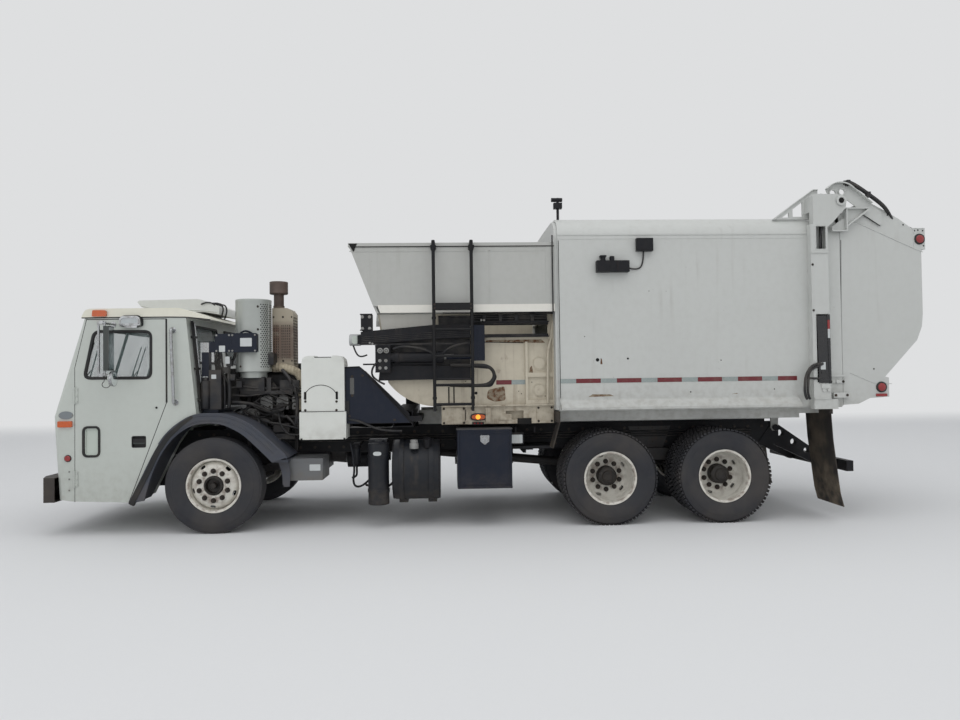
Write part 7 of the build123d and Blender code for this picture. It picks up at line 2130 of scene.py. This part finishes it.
class TRUCK_OT_tail(TruckOperator, bpy.types.Operator):
    """Dress the tail: posts, gate cylinders, hinge arms, hoses, lamps, seams and latches"""

    bl_idname = "truck.tail"
    bl_label = "Tail"

    def execute(self, context):
        for name, side in SIDES.items():
            self.posts(name, side)
            self.hinge(name, side)
            self.gate(name, side)
        self.rear()
        return {"FINISHED"}

    def posts(self, name, side):
        """Slots' rims, ledges, the cylinder and its hoses."""
        skin = side * POST_SIDE_Y
        white = Form()
        white.frame_strip(soft_panel(3.588, 1.547, 3.747, 2.328, 0.014, 3), "y", skin,
                          side * 1.3135, 0.01)
        white.frame_strip(soft_panel(3.608, 3.034, 3.74, 3.314, 0.012, 3), "y", skin, side * 1.3135,
                          0.01)
        white.block((3.562, side * 1.309, 3.0), (3.75, side * 1.322, 3.014), 0.003)
        white.block((3.562, side * 1.309, 1.372), (3.75, side * 1.32, 1.388), 0.003)
        white.block((3.556, side * 1.309, 1.388), (3.566, side * 1.3125, 3.32), 0.002)
        white.piece(f"post_trim_{name}", "load_body", "tail", "body_paint")
        black = Form()
        black.turned([(1.4, 0.0), (1.4, 0.026), (1.42, 0.034), (1.46, 0.0335), (2.9, 0.0335),
                      (2.905, 0.04), (2.95, 0.04), (2.96, 0.03), (2.96, 0.0)],
                     (3.695, side * 1.265, 0.0), "z", 32)
        black.turned([(1.5, 0.034), (1.5, 0.039), (1.53, 0.039), (1.53, 0.034)],
                     (3.695, side * 1.265, 0.0), "z", 32)
        black.block((3.66, side * 1.24, 1.36), (3.73, side * 1.3, 1.43), 0.008)
        black.piece(f"gate_cylinder_{name}", "load_body", "black", "black_steel")
        hose = Form()
        for shift, radius in ((0.0, 0.015), (0.034, 0.013)):
            hose.pipe(((3.66, side * 1.318, 1.765), (3.59, side * 1.328, 1.768 - shift),
                       (3.51, side * 1.33, 1.73 - shift), (3.455 + shift, side * 1.33, 1.63),
                       (3.442 + shift, side * 1.33, 1.5), (3.45 + shift, side * 1.325, 1.41),
                       (3.475 + shift, side * 1.315, 1.375)), radius, 7)
        hose.pipe(((3.7, side * 1.3, 3.3), (3.665, side * 1.304, 3.2), (3.668, side * 1.304, 3.06)),
                  0.008, 6)
        hose.pipe(((3.5, side * 1.318, 1.605), (3.62, side * 1.322, 1.6)), 0.012, 6)
        hose.piece(f"post_hoses_{name}", "load_body", "hose", "rubber", 50.0)
        guard = Form()
        guard.plate(((3.602, 2.3), (3.728, 2.3), (3.745, 1.55), (3.614, 1.55)), "y", side * 1.309,
                    side * 1.319, 0.003)
        guard.plate(((3.716, 2.312), (3.748, 2.312), (3.752, 1.545), (3.728, 1.545)), "y",
                    side * 1.309, side * 1.324, 0.003)
        for low, high, z in ((3.64, 3.7, 1.655), (3.61, 3.74, 1.575)):
            guard.block((low, side * 1.316, z), (high, side * 1.326, z + 0.022), 0.003)
        guard.piece(f"cylinder_guard_{name}", "load_body", "gloss_black", "black_steel")
        red = Form()
        red.block((3.719, side * 1.323, 2.15), (3.745, side * 1.3252, 2.25), 0.0005)
        red.piece(f"post_tape_red_{name}", "load_body", "red", "body_paint")
        label = Form()
        label.block((3.72, side * 1.323, 2.05), (3.746, side * 1.3252, 2.15), 0.0005)
        label.block((3.634, side * 1.318, 1.7), (3.69, side * 1.3202, 1.782), 0.0005)
        label.piece(f"post_labels_{name}", "load_body", "label", "body_paint")
        bolts(f"post_bolts_{name}", [(3.572, side * 1.312, z) for z in (2.36, 2.87)],
              (0.0, side, 0.0), "load_body", "nut", 0.009, 0.007)
        foot = Form()
        foot.block((3.64, side * 1.309, 1.49), (3.745, side * 1.322, 1.54), 0.006)
        for x in (3.668, 3.726):
            foot.disc((x, side * 1.312, 1.47), 0.02, 0.0, side * 0.01, steps=24, edge=0.003)
        foot.piece(f"post_foot_{name}", "load_body", "tail", "body_paint")

    def hinge(self, name, side):
        """The pivot's cap, the arm's rims and the hoses laid over the arch."""
        cap = Form()
        cap.turned([(side * 1.318, 0.03), (side * 1.318, 0.056), (side * 1.33, 0.056),
                    (side * 1.333, 0.05), (side * 1.333, 0.036), (side * 1.328, 0.032)],
                   (3.91, 0.0, 3.584), "y", 40)
        cap.piece(f"pivot_cap_{name}", "load_body", "tail", "body_paint")
        dark = Form()
        dark.disc((3.91, side * 1.322, 3.584), 0.033, 0.0, side * 0.004, steps=32)
        dark.disc((3.91, side * 1.325, 3.584), 0.012, 0.0, side * 0.006, steps=20, edge=0.003)
        dark.piece(f"pivot_bore_{name}", "load_body", "void", "black_steel")
        dark = Form()
        for shift, lift in ((-0.013, 0.0), (0.013, 0.0), (0.0, 0.02)):
            y = 1.264 - shift
            dark.pipe(((3.975, side * y, 3.79 + lift), (4.03, side * y, 3.8 + lift),
                       (4.12, side * y, 3.757 + lift), (4.28, side * y, 3.645 + lift),
                       (4.42, side * (y - 0.014), 3.55 + lift),
                       (4.5, side * (y - 0.03), 3.47 + lift), (4.56, side * (y - 0.07),
                                                               3.4 + lift)), 0.012, 6)
        for x, z in ((4.02, 3.785), (4.25, 3.652)):
            dark.block((x - 0.02, side * 1.238, z - 0.02), (x + 0.02, side * 1.291, z + 0.04),
                       0.005)
        dark.pipe(((4.56, side * 1.16, 3.4), (4.7, side * 1.15, 3.36), (4.82, side * 1.15, 3.3)),
                  0.009, 5)
        dark.piece(f"arch_hoses_{name}", "tailgate", "hose", "rubber", 50.0)
        rim = Form()
        arch = milli(((3772, 3732), (3830, 3790), (3915, 3806), (4000, 3790), (4084, 3739),
                      (4290, 3570)))
        rim.pipe([(x, side * 1.293, z - 0.006) for x, z in arch], 0.0045, 4)
        rim.plate(((4.15, 3.545), (4.215, 3.605), (4.42, 3.48), (4.43, 3.33), (4.4, 3.322),
                   (4.209, 3.448)), "y", side * 1.214, side * 1.232, 0.004, 3)
        rim.piece(f"arch_rim_{name}", "tailgate", "tail", "body_paint")

    def gate(self, name, side):
        """Seams, lamps, latches and the red strip of the tailgate's side."""
        skin = side * GATE_SIDE_Y
        white = Form()
        white.pipe([(x, side * 1.2165, z) for x, z in ((3.98, 3.43), (4.8, 3.06), (4.9, 3.02))],
                   0.005, 4, order=2)
        white.pipe([(x, side * 1.2165, z) for x, z in ((4.02, 1.66), (4.3, 1.54), (4.5, 1.53))],
                   0.004, 4, order=2)
        white.block((4.795, side * 1.079, 3.285), (4.929, side * 1.219, 3.292), 0.002)
        white.block((4.796, side * 1.213, 3.046), (4.806, side * 1.219, 3.285), 0.002)
        white.piece(f"gate_seams_{name}", "tailgate", "tail", "body_paint")
        dark = Form()
        dark.pipe([(x, side * 1.2325, z) for x, z in ((4.209, 3.442), (4.402, 3.316))], 0.0045, 3,
                  order=2)
        dark.pipe([(x, side * 1.2155, z) for x, z in ((3.953, 3.16), (3.938, 2.4), (3.923, 1.669))],
                  0.0035, 3, order=2)
        for x, z in ((4.5, 3.44), (4.68, 3.33), (4.81, 3.262), (4.85, 3.268), (4.905, 3.262),
                     (4.912, 3.2), (4.912, 3.09), (4.3, 1.7)):
            dark.disc((x, skin, z), 0.009, 0.0, side * 0.004, steps=10)
        for x, z in ((4.864, 3.166), (4.381, 1.495)):
            dark.turned([(side * 1.212, 0.04), (side * 1.212, 0.062), (side * 1.226, 0.06),
                         (side * 1.23, 0.052), (side * 1.23, 0.04)], (x, 0.0, z), "y", 40)
        dark.piece(f"lamp_bezels_{name}", "tailgate", "seal", "rubber")
        red = Form()
        for x, z in ((4.864, 3.166), (4.381, 1.495)):
            red.turned([(side * 1.215, 0.0), (side * 1.215, 0.046), (side * 1.231, 0.045),
                        (side * 1.237, 0.034), (side * 1.239, 0.016), (side * 1.2395, 0.0)],
                       (x, 0.0, z), "y", 40)
        red.block((4.317, side * 1.214, 1.391), (4.443, side * 1.2255, 1.421), 0.003)
        red.piece(f"tail_red_{name}", "tailgate", "red", "glass")
        latch = Form()
        for low, top in ((1.548, 1.578), (1.618, 1.64)):
            latch.block((3.758, side * 1.222, low), (3.965, side * 1.24, top), 0.005)
        latch.disc((3.86, side * 1.238, 1.563), 0.02, 0.0, side * 0.022, steps=20, edge=0.004)
        latch.piece(f"gate_latches_{name}", "tailgate", "tail", "body_paint")
        bolts(f"gate_bolts_{name}", [(3.79, side * 1.241, 1.563), (3.93, side * 1.241, 1.563),
                                     (3.81, side * 1.301, 1.412), (3.94, side * 1.301, 1.412)],
              (0.0, side, 0.0), "tailgate", "nut", 0.01, 0.008)

    def rear(self):
        """Lamps, the blank plate and trim on the tailgate's rear face and bumper bar."""
        ribs = Form()
        for y in (-0.78, -0.26, 0.26, 0.78):
            ribs.block((4.88, y - 0.03, 2.34), (4.892, y + 0.03, 3.02), 0.004)
        ribs.block((4.88, -1.1, 3.0), (4.894, 1.1, 3.04), 0.004)
        ribs.block((4.466, -1.18, 1.575), (4.48, 1.18, 1.598), 0.003)
        ribs.block((4.466, -1.18, 1.388), (4.48, 1.18, 1.404), 0.003)
        ribs.piece("rear_ribs", "tailgate", "tail", "body_paint")
        plate = Form()
        plate.plate(soft_panel(-0.15, 1.415, 0.15, 1.565, 0.012, 3), "x", 4.471, 4.476, 0.001)
        plate.piece("blank_plate", "tailgate", "label", "white_plastic")
        rings, red, amber, clear = Form(), Form(), Form(), Form()
        for side in (-1, 1):
            for y, form in ((1.06, red), (0.9, red), (0.74, amber), (0.58, clear)):
                rings.turned([(4.47, 0.044), (4.47, 0.064), (4.48, 0.062), (4.482, 0.052),
                              (4.478, 0.044)], (0.0, side * y, 1.49), "x", 36)
                form.turned([(4.471, 0.0), (4.471, 0.047), (4.48, 0.045), (4.486, 0.03),
                             (4.488, 0.0)], (0.0, side * y, 1.49), "x", 36)
            rings.turned([(4.929, 0.03), (4.929, 0.052), (4.936, 0.05), (4.936, 0.03)],
                         (0.0, side * 1.147, 3.166), "x", 32)
            red.turned([(4.93, 0.0), (4.93, 0.033), (4.938, 0.028), (4.94, 0.0)],
                       (0.0, side * 1.147, 3.166), "x", 32)
        for y in (-0.1, 0.0, 0.1):
            red.block((4.893, y - 0.032, 3.008), (4.902, y + 0.032, 3.032), 0.003)
        rings.piece("rear_lamp_bezels", "tailgate", "seal", "rubber")
        red.piece("rear_red_lamps", "tailgate", "red", "glass")
        amber.piece("rear_amber_lamps", "tailgate", "amber", "glass")
        clear.piece("rear_clear_lamps", "tailgate", "clear", "glass")


def curved(points, steps=6):
    """A smooth line through the points."""
    line = []
    last = len(points) - 1
    for i in range(last):
        a, b = points[max(i - 1, 0)], points[i]
        c, d = points[i + 1], points[min(i + 2, last)]
        for k in range(steps):
            t = k / steps
            line.append(tuple(0.5 * (2 * q + (r - p) * t + (2 * p - 5 * q + 4 * r - s) * t * t
                                     + (3 * q - p - 3 * r + s) * t ** 3)
                              for p, q, r, s in zip(a, b, c, d)))
    line.append(points[last])
    return line


def ribbon(form, line, thick, low, high):
    """A strip that follows a line in X and Z, thick to its right, from low to high in Y."""
    under = []
    for i, (x, z) in enumerate(line):
        (ax, az), (bx, bz) = line[max(i - 1, 0)], line[min(i + 1, len(line) - 1)]
        run = math.hypot(bx - ax, bz - az)
        under.append((x + thick * (bz - az) / run, z - thick * (bx - ax) / run))
    vertices = [(x, y, z) for a, b in zip(line, under) for (x, z), y in ((a, low), (a, high),
                                                                         (b, high), (b, low))]
    last = len(vertices) - 4
    faces = [(i + k, i + (k + 1) % 4, i + 4 + (k + 1) % 4, i + 4 + k) for i in range(0, last, 4)
             for k in range(4)]
    form.keep(vertices, [*faces, (3, 2, 1, 0), tuple(range(last, last + 4))])


def padded(form, centre, half, lean=0.0, seams=(), crown=0.014):
    """A padded cushion: a soft box, crowned between its seams, leaning about Y."""
    rows, around = 30, 48
    grid = []
    for i in range(rows + 1):
        up = math.pi * (i / rows - 0.5)
        for j in range(around):
            turn = 2.0 * math.pi * j / around
            ball = (math.cos(up) * math.cos(turn), math.cos(up) * math.sin(turn), math.sin(up))
            x, y, z = (signed_power(v, 0.42) * h for v, h in zip(ball, half))
            dent = sum(math.exp(-((y - s) / 0.012) ** 2) for s in seams)
            puff = crown * (1.0 - (x / half[0]) ** 2) * (1.0 - (y / half[1]) ** 2)
            z += math.copysign(puff - 0.008 * dent, z)
            grid.append((centre[0] + x * math.cos(lean) + z * math.sin(lean), centre[1] + y,
                         centre[2] - x * math.sin(lean) + z * math.cos(lean)))
    faces = [(i * around + j, i * around + (j + 1) % around, (i + 1) * around + (j + 1) % around,
              (i + 1) * around + j) for i in range(rows) for j in range(around)]
    form.keep(grid, faces)


class TRUCK_OT_seats(TruckOperator, bpy.types.Operator):
    """Replace the plain seats by padded ones with seams, frames and belts"""

    bl_idname = "truck.seats"
    bl_label = "Seats"

    def execute(self, context):
        soft, hard, belts = Form(), Form(), Form()
        for side in (-1, 1):
            y = side * 0.77
            padded(soft, (-3.795, y, 1.245), (0.235, 0.262, 0.062), 0.06, (-0.15, 0.15), 0.02)
            padded(soft, (-3.49, y, 1.61), (0.335, 0.245, 0.055), math.radians(-84), (-0.14, 0.14),
                   0.018)
            padded(soft, (-3.455, y, 2.02), (0.085, 0.15, 0.05), math.radians(-82), (), 0.008)
            hard.plate(((-4.03, 0.403), (-4.03, 1.18), (-3.57, 1.18), (-3.618, 1.128),
                        (-3.728, 0.962), (-4.003, 0.403)), "y", y - 0.21, y + 0.21, 0.012, 3)
            hard.block((-4.02, y - 0.24, 1.176), (-3.56, y + 0.24, 1.196), 0.006)
            hard.block((-3.47, y - 0.2, 1.25), (-3.43, y + 0.2, 1.9), 0.012)
            hard.pipe(((-3.6, y + 0.25, 1.24), (-3.58, y + 0.275, 1.3), (-3.5, y + 0.275, 1.34)),
                      0.01, 8)
            belts.pipe([(x, y - 0.2 + t * 0.44, z) for t, x, z in ((0.0, -3.47, 2.02),
                                                                   (0.25, -3.575, 1.86),
                                                                   (0.6, -3.575, 1.52),
                                                                   (1.0, -3.56, 1.29))], 0.012, 5)
        made = soft.piece("seat_pads", "chassis", "cloth", "seat_fabric", 70.0)
        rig.replaces(made, "seats")
        hard.piece("seat_frames", "chassis", "trim", "cab_trim")
        belts.piece("seat_belts", "chassis", "seal", "rubber", 60.0)
        return {"FINISHED"}


class TRUCK_OT_roof(TruckOperator, bpy.types.Operator):
    """Replace the roof by its moulded cap and the air-conditioning housing"""

    bl_idname = "truck.roof"
    bl_label = "Roof"

    def execute(self, context):
        cap = Form()
        cap.plate(curved(((-4.47, 2.367), (-4.452, 2.412), (-4.425, 2.448), (-4.38, 2.464)), 4)
                  + curved(((-3.46, 2.466), (-3.4, 2.458), (-3.24, 2.405), (-3.09, 2.354)), 4)
                  + [(-3.085, 2.336), (-3.34, 2.362)], "y", -1.158, 1.158, 0.03, 4)
        made = cap.piece("roof_cap", "chassis", "roof", "white_plastic", 50.0)
        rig.replaces(made, "cab_roof")
        housing = Form()
        housing.plate(((-4.144, 2.6), (-4.12, 2.618), (-3.45, 2.63), (-3.4, 2.622), (-3.205, 2.546),
                       (-3.19, 2.53), (-3.195, 2.446), (-3.37, 2.476), (-3.96, 2.476),
                       (-4.098, 2.543)), "y", -0.52, 0.4, 0.04, 4)
        housing.pipe(((-4.1, -0.524, 2.56), (-3.9, -0.524, 2.5), (-3.42, -0.524, 2.505),
                      (-3.22, -0.524, 2.475)), 0.006, 5)
        housing.piece("air_unit", "chassis", "air_unit", "white_plastic", 50.0)
        dark = Form()
        for y in (-0.44, -0.3):
            dark.block((-3.3, y - 0.03, 2.56), (-3.23, y + 0.03, 2.592), 0.006)
            dark.pipe(((-3.26, y, 2.58), (-3.2, y, 2.585), (-3.172, y, 2.54), (-3.17, y, 2.48),
                       (-3.2, y, 2.4)), 0.009, 5)
        dark.pipe(((-3.4, -0.53, 2.565), (-3.34, -0.535, 2.595), (-3.25, -0.52, 2.575),
                   (-3.21, -0.5, 2.51)), 0.008, 5)
        dark.piece("air_unit_fittings", "chassis", "hose", "rubber", 50.0)
        return {"FINISHED"}


class TRUCK_OT_fenders(TruckOperator, bpy.types.Operator):
    """Replace the front fenders by smooth arched ones with two grooves"""

    bl_idname = "truck.fenders"
    bl_label = "Fenders"

    def execute(self, context):
        outer = curved(milli(((-3963, 350), (-3830, 622), (-3690, 900), (-3566, 1085),
                              (-3410, 1218), (-3262, 1290), (-3110, 1303), (-2960, 1296),
                              (-2800, 1248), (-2640, 1162), (-2453, 1000), (-2258, 817))), 5)
        inner = curved(milli(((-2428, 766), (-2600, 940), (-2738, 1066), (-2860, 1140),
                              (-2973, 1186), (-3110, 1200), (-3253, 1186), (-3380, 1130),
                              (-3500, 1030), (-3610, 880), (-3710, 670), (-3800, 375))), 5)
        lip = Form()
        lip.plate(outer + inner, "y", -1.15, -1.183, 0.006, 3)
        count = len(outer)
        ribbon(lip, outer, 0.03, -1.152, -0.64)
        for shift in (0.018, 0.072):
            line = [(x, -1.184, z) for x, z in inset(outer + inner, shift)[14:count - 3]]
            lip.pipe(line, 0.0055, 4)
        lip.pipe([(x, -1.176, z) for x, z in inset(outer + inner, -0.002)[12:count - 1]], 0.008, 4)
        lip.block((-2.44, -1.15, 0.76), (-2.262, -0.645, 0.79), 0.004)
        lip.mirrored()
        made = lip.piece("fender_skins", "chassis", "fender", "fender_plastic", 50.0)
        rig.replaces(made, "fenders")
        flap = Form()
        fold = milli(((-2400, 800), (-2290, 820), (-2255, 640), (-2265, 480), (-2330, 480),
                      (-2350, 640)))
        for low, high in ((-1.06, -1.052), (1.052, 1.06)):
            flap.plate(fold, "y", low, high, 0.003)
        for side in (-1, 1):
            flap.block((-2.345, side * 1.052, 0.5), (-2.337, side * 0.66, 0.8), 0.002)
        flap.piece("fender_flaps", "chassis", "fender", "fender_plastic")
        return {"FINISHED"}


class TRUCK_OT_stage(TruckOperator, bpy.types.Operator):
    """Lay the floor and backdrop, light the truck and set the camera"""

    bl_idname = "truck.stage"
    bl_label = "Stage"

    def execute(self, context):
        values = settings()[2]
        data = bpy.data.meshes.new("floor")
        reach, back, top = 60.0, 26.0, 40.0
        profile = [(-reach, 0.0), (back - 6.0, 0.0)]
        profile += [(back - 6.0 + 6.0 * math.sin(a), 6.0 - 6.0 * math.cos(a))
                    for a in (math.radians(10 * i) for i in range(1, 9))]
        profile += [(back, 6.0), (back, top)]
        vertices = [(x, y, z) for y, z in profile for x in (-reach, reach)]
        faces = [(2 * i, 2 * i + 1, 2 * i + 3, 2 * i + 2) for i in range(len(profile) - 1)]
        data.from_pydata(vertices, [], faces)
        data.shade_smooth()
        base = tuple(values.floor)
        made = Finish("pale floor", base, 0.85)
        made.colour(made.mixed(made.noise(0.6, 4.0) * 0.12, base, tuple(c * 0.9 for c in base)))
        made.bump(made.noise(30.0, 3.0), 0.001)
        ray = made.add("ShaderNodeLightPath", {}, {})
        seen = ray[CAMERA_RAY] + ray[GLOSSY_RAY] + ray[TRANSMISSION_RAY]
        pale = made.add("ShaderNodeEmission", {}, {"Color": (*base, 1.0), "Strength": 1.0}, 0)
        far = made.y.ramped(12.0, 20.0)
        both = made.add("ShaderNodeMixShader", {}, {0: seen * far,
                                                    1: Wire(made, made.shader.outputs[0]), 2: pale},
                        0)
        made.tree.links.new(both.socket, made.out.inputs["Surface"])
        data.materials.append(made.material)
        floor = linked("floor", data)
        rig.stage(floor)

        world = bpy.data.worlds.new("even sky")
        world.use_nodes = True
        context.scene.world = world
        sky = world.node_tree.nodes["Background"]
        sky.inputs["Color"].default_value = (0.975, 0.985, 1.0, 1.0)
        sky.inputs["Strength"].default_value = values.sky_level * 1.12
        for name, place, size, level in (
                ("overhead", (0.0, -6.0, 14.0), 14.0, 700.0),
                ("front fill", (-9.0, -12.0, 6.0), 8.0, 120.0)):
            lamp = bpy.data.lights.new(name, "AREA")
            lamp.size = size
            lamp.energy = level * values.lamp_level
            holder = linked(name, lamp)
            holder.location = place
            aim = Vector((0.0, 0.0, 1.4)) - Vector(place)
            holder.rotation_mode = "QUATERNION"
            holder.rotation_quaternion = aim.to_track_quat("-Z", "Y")

        yaw, pitch, roll = (math.radians(v) for v in (CAMERA_YAW, CAMERA_PITCH, CAMERA_ROLL))
        ahead = Vector((math.sin(yaw) * math.cos(pitch), math.cos(yaw) * math.cos(pitch),
                        math.sin(pitch)))
        right = ahead.cross(Vector((0.0, 0.0, 1.0))).normalized()
        above = right.cross(ahead)
        across = right * math.cos(roll) - above * math.sin(roll)
        up = right * math.sin(roll) + above * math.cos(roll)
        view = bpy.data.cameras.new("photo view")
        view.sensor_fit = "HORIZONTAL"
        view.sensor_width = 36.0
        view.lens = CAMERA_FOCAL / PHOTO_SIZE[0] * view.sensor_width
        view.clip_end = 300.0
        camera = linked("photo view", view)
        camera.matrix_world = Matrix.Translation(CAMERA_PLACE) @ Matrix(
            (across, up, -ahead)).transposed().to_4x4()
        context.scene.camera = camera
        context.scene.view_settings.view_transform = "Standard"
        return {"FINISHED"}


class TRUCK_PT_panel(bpy.types.Panel):
    """The truck's operators and settings in the sidebar."""

    bl_label = "Garbage truck"
    bl_idname = "TRUCK_PT_panel"
    bl_space_type = "VIEW_3D"
    bl_region_type = "UI"
    bl_category = "Truck"

    def draw(self, context):
        layout = self.layout
        for made in OPERATORS:
            layout.operator(made.bl_idname)
        for group in settings():
            box = layout.box()
            for name in group.bl_rna.properties.keys():
                if name not in ("rna_type", "name"):
                    box.prop(group, name)


GROUPS = (TruckPaints, TruckSizes, TruckStage)
OPERATORS = tuple(made for name, made in list(globals().items()) if name.startswith("TRUCK_OT_"))


def register():
    """Registers the settings, the operators and the panel."""
    for made in (*GROUPS, *OPERATORS, TRUCK_PT_panel):
        bpy.utils.register_class(made)
    scene = bpy.types.Scene
    scene.truck_paints = PointerProperty(type=TruckPaints)
    scene.truck_sizes = PointerProperty(type=TruckSizes)
    scene.truck_stage = PointerProperty(type=TruckStage)


def unregister():
    """Takes them away again."""
    scene = bpy.types.Scene
    del scene.truck_stage, scene.truck_sizes, scene.truck_paints
    for made in (TRUCK_PT_panel, *reversed(OPERATORS), *reversed(GROUPS)):
        bpy.utils.unregister_class(made)


def main():
    """Makes the whole scene and notes its size beside the model's."""
    register()
    for made in OPERATORS:
        group, name = made.bl_idname.split(".")
        getattr(getattr(bpy.ops, group), name)()
    low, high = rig.bounds()
    with open("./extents.json", "w") as note:
        json.dump([list(CAD_BOX[0]), list(CAD_BOX[1]), list(low), list(high)], note)


if __name__ == "__main__":
    main()
